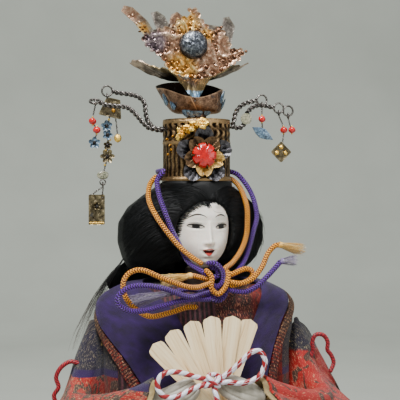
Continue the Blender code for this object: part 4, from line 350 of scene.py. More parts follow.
# Robe. Paper-backed silk brocade glued round the straw as one stiff shell, closed at the centre back. Navy
# ground with grey-gold threads shows at the shoulders and a crimson under-robe down its left edge.
ROBE_HALF_WIDTH = 60.0
ROBE_HALF_DEPTH = 38.0
ROBE_FOOT = 92.0
ROBE_RISE = 78.5
ROBE_BACK_SHIFT = 5.0
ROBE_CLOTH = 1.2
ROBE_ROWS = [
    (0.00, 0.90, 1.00, -0.40), (0.25, 0.93, 0.92, -0.40), (0.51, 0.93, 0.86, -0.20), (0.74, 0.97, 0.76, 0.00),
    (0.88, 0.90, 0.63, 0.40), (0.96, 0.70, 0.50, 0.80), (1.00, 0.40, 0.39, 1.00),
]
ROBE_STEP = 0.002
NAVY = (18, 8, 52)
NAVY_FIGURE = (30, 22, 46)
CRIMSON = (128, 8, 22)
GREY_GOLD = (150, 136, 106)
BAND_VIOLET = (34, 1, 66)
LEFT_BAND_FOOT = 117.5 * MM
LEFT_BAND_TOP = 121.5 * MM


def curve(rows, places):
    """Read listed rows as smooth curves; places run from 0 to 1."""
    rows = np.array(rows, float)
    spot = np.clip(np.asarray(places, float), 0.0, 1.0) * (len(rows) - 1)
    low = np.minimum(spot.astype(int), len(rows) - 2)
    t = (spot - low)[..., None]
    a, b, c, d = (rows[np.clip(low + k, 0, len(rows) - 1)] for k in (-1, 0, 1, 2))
    return 0.5 * (
        2.0 * b + (c - a) * t + (2.0 * a - 5.0 * b + 4.0 * c - d) * t ** 2 + (3.0 * (b - c) + d - a) * t ** 3
    )


def on_robe(angles, places, lift):
    """Give spots on the robe's shell, lifted off the cloth by millimetres."""
    def spots(a, p):
        rise, width, depth, shift = np.moveaxis(curve(ROBE_ROWS, p), -1, 0)
        return np.stack([
            ROBE_HALF_WIDTH * width * np.sin(a), ROBE_BACK_SHIFT * shift - ROBE_HALF_DEPTH * depth * np.cos(a),
            ROBE_FOOT + ROBE_RISE * rise,
        ], axis=-1)

    places = np.clip(places, ROBE_STEP, 1.0 - ROBE_STEP)
    around = spots(angles + ROBE_STEP, places) - spots(angles - ROBE_STEP, places)
    upward = spots(angles, places + ROBE_STEP) - spots(angles, places - ROBE_STEP)
    normal = np.cross(around, upward)
    normal /= np.linalg.norm(normal, axis=-1)[..., None]
    return (spots(angles, places) + normal * np.asarray(lift)[..., None]) * MM


def outward(grid, core, ring=False):
    """Give a grid of spots its normals, pointing away from the core."""
    along = np.gradient(grid, axis=0)
    across = np.roll(grid, -1, 1) - np.roll(grid, 1, 1) if ring else np.gradient(grid, axis=1)
    normal = np.cross(along, across)
    normal /= np.maximum(np.linalg.norm(normal, axis=2), 1e-12)[..., None]
    return normal * (1.0 if np.sum(normal * (grid - np.array(core))) > 0.0 else -1.0)


def crumpled(grid, core, size, depth, ring=False, seed=0.0):
    """Push a grid of spots softly in and out."""
    normal = outward(grid, core, ring)
    push = np.array([
        [noise.noise(Vector(spot) / size + Vector((seed, 0.0, seed))) for spot in row] for row in grid
    ])
    return grid + normal * (push * depth)[..., None]


def cloth(heap, top, core, thick, kind=0, ring=False):
    """Lay a grid of spots as cloth, its thickness on the side of the core; a ring closes on itself."""
    rows, columns = top.shape[:2]
    normal = outward(top, core, ring)
    facing = np.sum(np.cross(np.gradient(top, axis=0), np.gradient(top, axis=1)) * normal) > 0.0
    low = top - normal * thick
    runs = []
    for axis in (0, 1):
        run = np.cumsum(np.linalg.norm(np.diff(top, axis=axis), axis=2), axis=axis)
        runs.append(np.concatenate([np.zeros_like(run[:1] if axis == 0 else run[:, :1]), run], axis=axis))
    runs[0] = runs[0] - runs[0].mean(axis=0) + runs[0].mean()
    lay = np.stack([runs[0], runs[1] - runs[1][:, columns // 2][:, None], np.zeros((rows, columns))], axis=2)
    count = rows * columns
    wide = columns if ring else columns - 1
    faces = []
    for i in range(rows - 1):
        for j in range(wide):
            k = (j + 1) % columns
            face = (i * columns + j, (i + 1) * columns + j, (i + 1) * columns + k, i * columns + k)
            face = face if facing else face[::-1]
            faces.append(face)
            faces.append(tuple(corner + count for corner in face[::-1]))
    rims = [[(0, j) for j in range(columns)], [(rows - 1, j) for j in range(columns)][::-1]]
    if ring:
        rims = [rim + rim[:1] for rim in rims]
    else:
        rims += [[(i, 0) for i in range(rows)][::-1], [(i, columns - 1) for i in range(rows)]]
    for rim in rims:
        for (a, b), (c, d) in zip(rim, rim[1:]):
            face = (a * columns + b, c * columns + d, count + c * columns + d, count + a * columns + b)
            faces.append(face if facing else face[::-1])
    heap.add(np.concatenate([top.reshape(-1, 3), low.reshape(-1, 3)]), faces, np.tile(lay.reshape(-1, 3), (2, 1)), kind)


def weave(made, ground, figure, glint, size=16 * MM, share=0.5, slant="DIAGONAL", bright=0.62, seed=0.0):
    """Add one figured silk to a finish: ground, woven figures and dashes of metal thread. Gives colour and height."""
    spot = made.add("Mapping", {"Vector": made.lay(), "Location": (seed, seed, seed)})
    twill = made.ribs(spot, 0.62 * MM, slant, 1.2)
    drift = made.clouds(spot, 3.4 * MM, 2.0)
    shape = made.sum("ADD", made.clouds(spot, size, 1.0, 0.4, 1.6), made.sum(
        "MULTIPLY_ADD", made.cells(spot, size * 0.42, "SMOOTH_F1"), 0.3, -0.12,
    ))
    figures = made.steps(shape, (share - 0.015, 0.0), (share + 0.015, 1.0))
    dashes = made.clouds(made.add("Mapping", {"Vector": spot, "Scale": (0.42, 2.0, 1.0)}), 0.9 * MM, 2.0, 0.7, 0.3)
    shown = made.steps(dashes, (bright - 0.04, 0.0), (bright + 0.03, 1.0))
    base = made.over(figures, dye(*ground), dye(*figure))
    base = made.over(made.sum("MULTIPLY", twill, 0.75), base, (0.08, 0.07, 0.08, 1.0), "MULTIPLY")
    base = made.over(made.sum("MULTIPLY", drift, 0.55), base, made.over(1.0, base, (0.35, 0.32, 0.32, 1.0), "MULTIPLY"))
    colour = made.over(made.sum("MULTIPLY", shown, 0.8), base, dye(*glint))
    height = made.sum("ADD", made.sum("MULTIPLY", shown, 0.6), made.sum("MULTIPLY", twill, -0.5))
    return colour, height


def level_share(made, low, high, waver=0.0):
    """Give 0 below a level of the piece and 1 above it, with a wandering edge."""
    height = made.part(made.place(), 2)
    if waver:
        height = made.sum("ADD", height, made.sum("MULTIPLY_ADD", made.clouds(made.place(), 3 * MM), waver, -waver / 2.0))
    return made.add("MapRange", {"Value": height, "From Min": low, "From Max": high})


def plain_silk(name, dark, plain, bright, thread=0.34 * MM, **fixed):
    """Give a plain woven silk with a soft bloom."""
    made = Finish(name, **{"Roughness": 0.72, "Sheen_Weight": 0.25, "Sheen_Roughness": 0.4, **fixed})
    spot = made.lay()
    warp = made.ribs(spot, thread, "X", 0.6)
    weft = made.ribs(spot, thread * 1.2, "Y", 0.6)
    tone = made.sum("ADD", made.clouds(spot, 7 * MM, 4.0), made.sum("MULTIPLY_ADD", made.sum(
        "MULTIPLY", warp, weft,
    ), 0.3, -0.1))
    colour = made.steps(tone, (0.25, dye(*dark)), (0.5, dye(*plain)), (0.85, dye(*bright)))
    return made.done(colour, normal=made.relief(warp, 0.05 * MM, made.relief(weft, 0.05 * MM)))


robe_silk = Finish("robe_silk", Roughness=0.66, Specular_IOR_Level=0.4, Sheen_Weight=0.15)
upper, upper_height = weave(robe_silk, NAVY, NAVY_FIGURE, GREY_GOLD, 11 * MM, 0.5, "X", 0.6)
lower, lower_height = weave(robe_silk, (140, 12, 8), (74, 50, 40), (180, 130, 90), 10 * MM, 0.56)
above_band = level_share(robe_silk, LEFT_BAND_TOP - 0.2 * MM, LEFT_BAND_TOP + 0.2 * MM, 0.8 * MM)
below_band = level_share(robe_silk, LEFT_BAND_FOOT - 0.2 * MM, LEFT_BAND_FOOT + 0.2 * MM, 0.8 * MM)
colour = robe_silk.over(above_band, robe_silk.over(below_band, lower, dye(*BAND_VIOLET)), upper)
side_way = robe_silk.add("MapRange", {
    "Value": robe_silk.part(robe_silk.place(), 0), "From Min": -52.4 * MM, "From Max": -51.8 * MM,
})
edge_red = robe_silk.sum("MULTIPLY", robe_silk.sum("SUBTRACT", 1.0, side_way), level_share(
    robe_silk, 139 * MM, 141 * MM, 3 * MM,
))
robe_silk.done(
    robe_silk.over(edge_red, colour, dye(*CRIMSON)),
    normal=robe_silk.relief(upper_height, 0.22 * MM),
)
grid = on_robe(*np.meshgrid(np.arange(180) * TURN / 180, np.linspace(0.0, 1.0, 56)), 0.0)
grid = crumpled(grid, (0.0, 0.0, 0.13), 22 * MM, 0.5 * MM, True)
heap = Heap()
cloth(heap, grid, (0.0, 0.0, 0.13), ROBE_CLOTH * MM, ring=True)
fit(heap.cast("robe_shell", [robe_silk.paint], 40), "doll_body", "robe_body")

# Collars. Inside the lapels lies a folded gown of red and brown-gold brocade, pleated under the knot. The
# broad violet outer lapels cross over it, and a stitched brocade border runs along their outer edge.
CHEST_STATIONS = [(-56, 0.05, 56, 0.05), (-58, 0.35, 58, 0.35), (-60, 0.6, 60, 0.6), (-66, 0.86, 66, 0.86)]
LAPEL_STATIONS = [
    (-27, 0.083, 0, 0.083), (-34, 0.175, -6, 0.20), (-48, 0.30, -9, 0.35), (-64, 0.417, -12, 0.483),
    (-84, 0.57, -24, 0.655), (-100, 0.70, -48, 0.833), (-122, 0.78, -85, 0.93), (-150, 0.81, -130, 0.955),
    (-180, 0.82, -180, 0.96), (-210, 0.81, -230, 0.955), (-240, 0.78, -272, 0.93), (-272, 0.72, -298, 0.86),
    (-294, 0.60, -318, 0.68), (-307, 0.49, -329, 0.52), (-313, 0.383, -335, 0.383),
    (-320.5, 0.217, -342, 0.217), (-326, 0.083, -350, 0.083),
]
BORDER_STATIONS = [
    (-36, 0.083, -28.5, 0.083), (-43, 0.16, -35.5, 0.172), (-57, 0.28, -49.5, 0.295), (-72, 0.38, -65.5, 0.408),
    (-91, 0.52, -85.5, 0.558), (-107, 0.64, -101.5, 0.685), (-126, 0.72, -123, 0.765), (-151, 0.75, -150, 0.795),
    (-180, 0.76, -180, 0.805), (-209, 0.75, -210, 0.795), (-236, 0.72, -239, 0.765), (-265, 0.66, -270.5, 0.705),
    (-286, 0.55, -292.5, 0.585), (-299, 0.45, -305.5, 0.478), (-305, 0.36, -311.5, 0.378),
    (-312, 0.205, -319, 0.214), (-317, 0.083, -324.5, 0.083),
]
CHEST_LIFT = 0.7
CHEST_CLOTH = 0.9
LAPEL_LIFT = 2.2
LAPEL_CLOTH = 1.2
BORDER_CLOTH = 0.9
PLEAT_HALF_WIDTH = 13.0
PLEAT_DEPTH = 0.75


def strip(stations, lift, thick, steps, columns):
    """Give a band on the robe between two edges, as angles, places and the lift of its top."""
    edges = curve(stations, np.linspace(0.0, 1.0, steps + 1))
    share = np.linspace(0.0, 1.0, columns + 1)[None, :]
    angles = np.radians(edges[:, 0, None] + (edges[:, 2] - edges[:, 0])[:, None] * share)
    places = edges[:, 1, None] + (edges[:, 3] - edges[:, 1])[:, None] * share
    return angles, places, np.full(angles.shape, lift + thick)


chest_silk = Finish("chest_silk", Roughness=0.6, Specular_IOR_Level=0.4)
chest_colour, chest_height = weave(chest_silk, (84, 6, 6), (34, 8, 8), (206, 132, 100), 4 * MM, 0.5, "DIAGONAL", 0.6)
chest_red, _ = weave(chest_silk, (128, 10, 6), (84, 10, 8), (186, 90, 60), 8 * MM, 0.6)
across = chest_silk.part(chest_silk.place(), 0)
# Under the knot the gown's pleats are painted as dark and light stripes: painted shade and light of the folds.
pleat_shading = chest_silk.steps(
    chest_silk.ribs(chest_silk.place((1.0, 0.0, 0.06)), 4.4 * MM, "X", 2.4),
    (0.15, dye(14, 4, 10)), (0.55, dye(44, 14, 24)), (0.9, dye(88, 44, 54)),
)
shaded_pleat_area = chest_silk.add("MapRange", {"Value": across, "From Min": 9 * MM, "From Max": 7 * MM})
red_side = chest_silk.add("MapRange", {"Value": across, "From Min": 29 * MM, "From Max": 32 * MM})
colour = chest_silk.over(shaded_pleat_area, chest_colour, chest_silk.over(0.85, chest_colour, pleat_shading))
chest_silk.done(chest_silk.over(red_side, colour, chest_red), normal=chest_silk.relief(chest_height, 0.2 * MM))
angles, places, lift = strip(CHEST_STATIONS, CHEST_LIFT, CHEST_CLOTH, 60, 160)
side_places = np.sin(angles) * ROBE_HALF_WIDTH * 0.9
pleats = np.abs((side_places / 3.1) % 1.0 - 0.5) * 2.0
fade = np.clip((PLEAT_HALF_WIDTH - np.abs(side_places + 2.0)) / 3.0, 0.0, 1.0) * np.clip((places - 0.3) * 5.0, 0.0, 1.0)
grid = on_robe(angles, places, lift + (pleats - 0.5) * PLEAT_DEPTH * fade)
heap = Heap()
cloth(heap, grid, (0.0, 0.0, 0.13), CHEST_CLOTH * MM)
fit(heap.cast("gown_front", [chest_silk.paint], 40), "doll_body", "chest_panel")

violet_silk = plain_silk("violet_silk", (15, 0, 30), (33, 1, 64), (54, 6, 96), Sheen_Weight=0.08, Roughness=0.8)
angles, places, lift = strip(LAPEL_STATIONS, LAPEL_LIFT, LAPEL_CLOTH, 260, 26)
crease = np.exp(-((angles + math.radians(319.0)) / 0.045 - (places - 0.50) * 34.0) ** 2) * (angles < -5.0)
crease *= np.clip(1.0 - np.abs(places - 0.52) / 0.08, 0.0, 1.0)
grid = crumpled(on_robe(angles, places, lift - 1.1 * crease), (0.0, 0.0, 0.13), 14 * MM, 0.8 * MM, seed=3.0)
heap = Heap()
cloth(heap, grid, (0.0, 0.0, 0.13), LAPEL_CLOTH * MM)
fit(heap.cast("lapel_outer", [violet_silk], 40), "doll_body", "violet_lapels")

border_silk = Finish("border_silk", Roughness=0.55, Specular_IOR_Level=0.45)
red_thread, border_height = weave(border_silk, (150, 16, 8), (92, 12, 8), (216, 170, 130), 5 * MM, 0.52, "X", 0.6)
brown_thread, _ = weave(border_silk, (88, 40, 26), (52, 22, 16), (186, 140, 100), 4 * MM, 0.5, "X", 0.55)
stitches = border_silk.steps(
    border_silk.sum("ADD", border_silk.ribs(border_silk.lay(), 3.0 * MM, "X", 1.0), border_silk.sum(
        "MULTIPLY_ADD", border_silk.clouds(border_silk.lay(), 2.0 * MM), 0.4, -0.2,
    )), (0.26, 1.0), (0.42, 0.0),
)
tops = level_share(border_silk, 134 * MM, 146 * MM, 4 * MM)
colour = border_silk.over(tops, red_thread, brown_thread)
border_silk.done(
    border_silk.over(stitches, colour, border_silk.over(0.85, colour, (0.02, 0.006, 0.008, 1.0))),
    normal=border_silk.relief(stitches, -0.25 * MM, border_silk.relief(border_height, 0.15 * MM)),
)
heap = Heap()
cloth(heap, on_robe(*strip(BORDER_STATIONS, LAPEL_LIFT, BORDER_CLOTH, 300, 10)), (0.0, 0.0, 0.13), BORDER_CLOTH * MM)
fit(heap.cast("lapel_edging", [border_silk.paint], 40), "doll_body", "lapel_border")

# Hakama. Crimson silk trousers gathered over the straw-padded legs, pleated outwards from the waist, standing
# on two padded hems, white under violet, that fan out on the floor round the knees.
LAP_HALF_WIDTH = 90.0
LAP_HALF_DEPTH = 76.0
LAP_TOP = 97.0
LAP_FOOT = 5.0
LAP_FORWARD = 24.0
LAP_CLOTH = 1.4
LAP_ROWS = [
    (1.00, 0.545, 0.39, 0.22), (0.94, 0.565, 0.41, 0.22), (0.905, 0.64, 0.56, 0.48), (0.80, 0.76, 0.72, 0.72),
    (0.60, 0.86, 0.83, 0.86), (0.34, 0.95, 0.93, 0.96), (0.00, 1.00, 1.00, 1.00),
]
LAP_PLEATS = 34
HEM_HALF_HEIGHT = 1.1
HEM_STEP = 4.0
HEM_BAND = 10.0
crimson_silk = plain_silk("crimson_silk", (80, 4, 8), (132, 10, 12), (176, 34, 28), Roughness=0.55)
angles, levels = np.meshgrid(np.arange(476) * TURN / 476, np.linspace(0.0, 1.0, 60))
rise, width, depth, forward = np.moveaxis(curve(LAP_ROWS, levels), -1, 0)
pleat = np.abs((angles / TURN * LAP_PLEATS) % 1.0 - 0.62) * 2.2 * np.clip(levels * 2.0 - 0.3, 0.0, 1.0)
grid = np.stack([
    (LAP_HALF_WIDTH * width - pleat) * np.sin(angles),
    -LAP_FORWARD * forward - (LAP_HALF_DEPTH * depth - pleat) * np.cos(angles),
    LAP_FOOT + (LAP_TOP - LAP_FOOT) * rise,
], axis=-1) * MM
heap = Heap()
cloth(heap, crumpled(grid, (0.0, 0.0, 0.04), 26 * MM, 1.0 * MM, True), (0.0, 0.0, 0.04), LAP_CLOTH * MM, ring=True)
fit(heap.cast("hakama", [crimson_silk], 40), "doll_body", "lap_hakama")
white_silk = plain_silk("white_silk", (170, 162, 150), (206, 200, 190), (232, 228, 222))
for number, (name, node, finish) in enumerate((
    ("hem_under", "hem_lower", white_silk), ("hem_over", "hem_upper", violet_silk),
)):
    reach = HEM_STEP * (2 - number)
    middle = HEM_HALF_HEIGHT + 0.05 + number * 2.5
    around = np.arange(300) * TURN / 300
    heap = Heap()
    rings = []
    for angle in np.arange(20) * TURN / 20:
        out = np.sign(math.cos(angle)) * abs(math.cos(angle)) ** 0.5
        up = math.sin(angle)
        inset = (HEM_BAND + reach) * (0.5 - 0.5 * out)
        rings.append(np.stack([
            (LAP_HALF_WIDTH + reach - inset) * np.sin(around), (LAP_HALF_DEPTH + reach - inset) * np.cos(around) - LAP_FORWARD,
            middle + up * HEM_HALF_HEIGHT * (0.9 + 0.08 * np.sin(around * 23.0 + number)),
        ], axis=-1) * MM)
    grid = np.stack(rings, axis=1)
    count = len(around)
    lay = [(LAP_HALF_WIDTH * a * MM, c * 0.7 * MM, 0.0) for a in around for c in range(20)]
    faces = [
        (i * 20 + j, i * 20 + (j + 1) % 20, (i + 1) % count * 20 + (j + 1) % 20, (i + 1) % count * 20 + j)
        for i in range(count) for j in range(20)
    ]
    heap.add(grid.reshape(-1, 3), faces, lay)
    fit(heap.cast(name, [finish]), "doll_body", node)

# Train. The outermost skirt is tied at the back of the waist, falls to the floor and spreads behind her in
# shallow pleats: stiff white silk printed with gold and red waves, lined and glued down at the waist.
TRAIN_CLOTH = 1.6
TRAIN_START_HALF_WIDTH = 42.0
TRAIN_END_HALF_WIDTH = 88.0
TRAIN_START_HEIGHT = 95.0
TRAIN_START_BACK = 37.8
TRAIN_LENGTH = 108.0
TRAIN_FLOOR_HEIGHT = 1.8
TRAIN_WRAP = 14.0
TRAIN_PLEATS = 7
TRAIN_ROWS = [
    (0.00, 1.00), (0.06, 0.86), (0.14, 0.64), (0.22, 0.42), (0.30, 0.22),
    (0.40, 0.07), (0.55, 0.01), (0.78, 0.00), (1.00, 0.00),
]
train_silk = Finish("train_silk", Roughness=0.6, Specular_IOR_Level=0.4)
colour, height = weave(train_silk, (146, 16, 10), (140, 100, 62), (206, 172, 120), 14 * MM, 0.5)
train_silk.done(colour, normal=train_silk.relief(height, 0.2 * MM))
levels, sides = np.meshgrid(np.linspace(0.0, 1.0, 90), np.linspace(-1.0, 1.0, 121), indexing="ij")
way, rise = np.moveaxis(curve(TRAIN_ROWS, levels), -1, 0)
pleat = 1.2 * (0.5 + 0.5 * np.cos(math.pi * TRAIN_PLEATS * sides)) * (1.0 - rise)
grid = np.stack([
    (TRAIN_START_HALF_WIDTH + (TRAIN_END_HALF_WIDTH - TRAIN_START_HALF_WIDTH) * way) * sides,
    TRAIN_START_BACK + TRAIN_LENGTH * way - TRAIN_WRAP * sides ** 2 * rise,
    TRAIN_FLOOR_HEIGHT + TRAIN_CLOTH / 2.0 + (TRAIN_START_HEIGHT - TRAIN_FLOOR_HEIGHT) * np.maximum(rise, 0.0) + pleat,
], axis=-1) * MM
heap = Heap()
cloth(heap, grid, (0.0, 0.06, -0.2), TRAIN_CLOTH * MM)
fit(heap.cast("train_skirt", [train_silk.paint], 40), "doll_body", "train")

# Sleeves. Each is a stiff folded panel hung over the padded arm wire: brocade outside, gold silk inside that
# shows at the wide mouth. The left one has a navy upper part and a violet band above the red squares.
SLEEVE_REACH = 70.0
SLEEVE_SPREAD = 130.0
SLEEVE_FRONT = 96.0
SLEEVE_RISE = 146.0
SLEEVE_FOLD = 7.0
SLEEVE_CLOTH = 1.3
SLEEVE_DROP = 13.0
TUCK_END = 0.42
TUCK_DROP = 34.0
TUCK_REACH = 13.0
SLEEVE_RIPPLE = 2.2
SLEEVE_FLOOR = 1.2
LINING_PAST = 0.035
RIGHT_NAVY = 129.5 * MM
CRIMSON_EDGE = 107.5 * MM
BULGES = {"right": 17.0, "left": 4.0}
LINING_CLOTH = 0.8
LINING_LIFT = 0.5
SLEEVE_TOPS = [
    (0.885, -0.030, 1.000, 0.40), (0.915, 0.010, 0.918, 0.75), (0.943, 0.073, 0.836, 1.00),
    (1.000, 0.156, 0.753, 1.00), (1.000, 0.281, 0.716, 1.00), (0.829, 0.427, 0.729, 1.00),
    (0.600, 0.521, 0.764, 1.00), (0.443, 0.568, 0.805, 1.00),
]
SLEEVE_FEET = [
    (0.523, -0.250, 0.270), (0.646, -0.290, 0.060), (0.800, -0.167, 0.000), (0.938, 0.042, 0.000),
    (1.000, 0.312, 0.000), (0.938, 0.625, 0.000), (0.800, 0.854, 0.000), (0.646, 1.000, 0.000),
]
SLEEVE_CORE = (0.05, -0.025, 0.06)


def sleeve_grid(places, bulge):
    """Give the right sleeve's outer skin, from the shoulder to the mouth and a little past it."""
    inside = np.minimum(places, 1.0)
    before = curve(SLEEVE_TOPS, inside - ROBE_STEP)
    after = curve(SLEEVE_TOPS, np.minimum(inside, 1.0 - ROBE_STEP) + ROBE_STEP)
    side, front, rise, swell = curve(SLEEVE_TOPS, inside).T
    ahead = np.stack([
        (after - before)[:, 0] * SLEEVE_REACH, -(after - before)[:, 1] * SLEEVE_FRONT, np.zeros(len(places)),
    ], axis=1)
    ahead /= np.linalg.norm(ahead, axis=1)[:, None]
    out = np.stack([-ahead[:, 1], ahead[:, 0], np.zeros(len(places))], axis=1)
    past = ahead * ((places - inside) * SLEEVE_FRONT)[:, None]
    top = np.stack([side * SLEEVE_REACH, -front * SLEEVE_FRONT, rise * SLEEVE_RISE], axis=1) + past
    foot_side, foot_front, foot_rise = curve(SLEEVE_FEET, inside).T
    foot = np.stack([
        foot_side * SLEEVE_SPREAD, -foot_front * SLEEVE_FRONT, SLEEVE_FLOOR + foot_rise * SLEEVE_RISE,
    ], axis=1) + past
    radius = (SLEEVE_FOLD * swell)[:, None]
    up = np.array([[0.0, 0.0, 1.0]])
    columns = []
    for share in np.linspace(1.0, 0.0, 40, endpoint=False):
        ripple = SLEEVE_RIPPLE * share * np.sin(TURN * 3.0 * inside)
        push = (bulge * math.sin(math.pi * share ** 0.7) + ripple)[:, None]
        columns.append((top + out * radius) * (1.0 - share) + foot * share + out * push)
    for angle in np.linspace(0.0, math.pi, 13):
        columns.append(top + (out * math.cos(angle) + up * math.sin(angle)) * radius)
    tuck = (1.0 - np.clip(inside / TUCK_END, 0.0, 1.0))[:, None]
    inward = np.array([[-1.0, 0.0, 0.0]]) * TUCK_REACH * tuck
    for share in np.linspace(0.0, 1.0, 13)[1:]:
        drop = (SLEEVE_DROP + TUCK_DROP * tuck) * share
        columns.append(top - out * radius - up * drop + inward * share ** 0.6)
    return np.stack(columns, axis=1) * MM


gold_silk = plain_silk("gold_silk", (112, 92, 52), (158, 136, 88), (196, 176, 126), Roughness=0.5)
red_silk = Finish("sleeve_silk_right", Roughness=0.62, Specular_IOR_Level=0.4, Sheen_Weight=0.1)
upper, _ = weave(red_silk, NAVY, NAVY_FIGURE, GREY_GOLD, 11 * MM, 0.5, "X", 0.6)
lower, height = weave(red_silk, (198, 18, 6), (84, 54, 42), (214, 156, 116), 13 * MM, 0.6, "DIAGONAL", 0.63, 0.21)
colour = red_silk.over(level_share(red_silk, RIGHT_NAVY - 1.0 * MM, RIGHT_NAVY + 1.0 * MM, 5 * MM), lower, upper)
red_silk.done(colour, normal=red_silk.relief(height, 0.22 * MM))
left_silk = Finish("sleeve_silk_left", Roughness=0.62, Specular_IOR_Level=0.4, Sheen_Weight=0.1)
upper, upper_height = weave(left_silk, NAVY, NAVY_FIGURE, GREY_GOLD, 11 * MM, 0.5, "X", 0.6)
lower, _ = weave(left_silk, (204, 22, 6), (76, 58, 46), (214, 166, 118), 8 * MM, 0.53, "DIAGONAL", 0.6)
above_band = level_share(left_silk, LEFT_BAND_TOP - 0.2 * MM, LEFT_BAND_TOP + 0.2 * MM, 0.8 * MM)
below_band = level_share(left_silk, LEFT_BAND_FOOT - 0.2 * MM, LEFT_BAND_FOOT + 0.2 * MM, 0.8 * MM)
outer_way = left_silk.sum("MULTIPLY_ADD", left_silk.part(left_silk.place(), 2), 0.27, left_silk.sum(
    "MULTIPLY", left_silk.part(left_silk.place(), 0), -1.0,
))
crimson_edge = left_silk.sum("MULTIPLY", above_band, left_silk.add("MapRange", {
    "Value": outer_way, "From Min": CRIMSON_EDGE - 0.3 * MM, "From Max": CRIMSON_EDGE + 0.3 * MM,
}))
upper = left_silk.over(crimson_edge, upper, dye(*CRIMSON))
left_silk.done(
    left_silk.over(above_band, left_silk.over(below_band, lower, dye(*BAND_VIOLET)), upper),
    normal=left_silk.relief(upper_height, 0.22 * MM),
)
for side, name, finish, seed in ((1.0, "right", red_silk.paint, 5.0), (-1.0, "left", left_silk.paint, 9.0)):
    across = np.array([side, 1.0, 1.0])
    core = np.array(SLEEVE_CORE) * across
    grid = crumpled(sleeve_grid(np.linspace(0.0, 1.0, 90), BULGES[name]) * across, core, 20 * MM, 1.1 * MM, seed=seed)
    heap = Heap()
    cloth(heap, grid, core, SLEEVE_CLOTH * MM)
    fit(heap.cast("sleeve_panel_" + name, [finish], 50), "doll_body", "sleeve_" + name)
    grid = sleeve_grid(np.linspace(0.5, 1.0 + LINING_PAST, 50), BULGES[name]) * across
    grid = grid - outward(grid, core) * (SLEEVE_CLOTH + LINING_LIFT) * MM
    heap = Heap()
    cloth(heap, grid, core, LINING_CLOTH * MM)
    fit(heap.cast("sleeve_inside_" + name, [gold_silk], 50), "doll_body", "sleeve_lining_" + name)


# Arms and hands. A wire padded with straw runs inside each sleeve; it ends in a small carved hand, coated
# with shell paste and polished, its four fingers laid together round the foot of the fan.
HAND_WIDTH = 14.5
HAND_THICKNESS = 5.6
HAND_GROOVE = 0.75
HAND_ROUTES = {
    "left": [
        (-31.5, -53.6, 112.4), (-27, -54.4, 111.5), (-21, -54.9, 112.0), (-15, -54.1, 114.2),
        (-10, -53.4, 117.0), (-6.2, -52.8, 119.6),
    ],
    "right": [
        (31.5, -53.6, 112.4), (27, -54.4, 112.4), (21.5, -54.9, 114.0), (16, -54.1, 116.2),
        (11, -53.4, 118.6), (7.2, -52.8, 120.6),
    ],
}
HAND_SECTIONS = [
    (0.52, 0.95, 0.0), (0.78, 1.00, 0.2), (1.00, 1.00, 0.6), (1.00, 0.92, 1.0), (0.90, 0.74, 1.0), (0.62, 0.50, 1.0),
]
HAND_RINGS = 44
HAND_SIDES = 96

for side in ("left", "right"):
    dress("arm_wire_" + side, straw.paint)
hand_paste = Finish("hand_paste", Roughness=0.42, Specular_IOR_Level=0.5, Coat_Weight=0.12, Coat_Roughness=0.3)
age = hand_paste.clouds(hand_paste.place(), 5 * MM, 5.0)
colour = hand_paste.steps(age, (0.3, dye(140, 134, 120)), (0.55, dye(172, 166, 152)), (0.8, dye(196, 192, 180)))
hand_paste.done(colour, normal=hand_paste.relief(hand_paste.clouds(hand_paste.place(), 0.8 * MM), 0.03 * MM))
for side, stops in HAND_ROUTES.items():
    shares = np.linspace(0.0, 1.0, HAND_RINGS)
    line = curve(stops, shares)
    ahead = np.gradient(line, axis=0)
    wide = np.stack([-ahead[:, 2], np.zeros(HAND_RINGS), ahead[:, 0]], axis=1)
    wide /= np.linalg.norm(wide, axis=1)[:, None]
    width, thick, groove = curve(HAND_SECTIONS, shares).T
    tips = np.sqrt(np.clip((1.0 - shares) / 0.07, 0.04, 1.0))
    points = []
    for ring in range(HAND_RINGS):
        for step in range(HAND_SIDES):
            angle = TURN * step / HAND_SIDES
            across = math.cos(angle)
            finger = abs(math.cos(math.pi * 2.0 * (across + 1.0)))
            dip = HAND_GROOVE * groove[ring] * (1.0 - math.sqrt(1.0 - finger ** 6)) * abs(math.sin(angle))
            depth = HAND_THICKNESS / 2.0 * thick[ring] * math.sin(angle) * tips[ring]
            depth += dip if depth < 0.0 else 0.0
            out = wide[ring] * HAND_WIDTH / 2.0 * width[ring] * across * (0.8 + 0.2 * tips[ring])
            points.append((line[ring] + out + np.array([0.0, depth, 0.0])) * MM)
    faces = [
        (r * HAND_SIDES + s, r * HAND_SIDES + (s + 1) % HAND_SIDES,
         (r + 1) * HAND_SIDES + (s + 1) % HAND_SIDES, (r + 1) * HAND_SIDES + s)
        for r in range(HAND_RINGS - 1) for s in range(HAND_SIDES)
    ]
    faces += [tuple(range(HAND_SIDES))[::-1], tuple((HAND_RINGS - 1) * HAND_SIDES + s for s in range(HAND_SIDES))]
    if side == "left":
        faces = [face[::-1] for face in faces]
    heap = Heap()
    heap.add(points, faces)
    fit(heap.cast("carved_hand_" + side, [hand_paste.paint]), "doll_body", "hand_" + side)

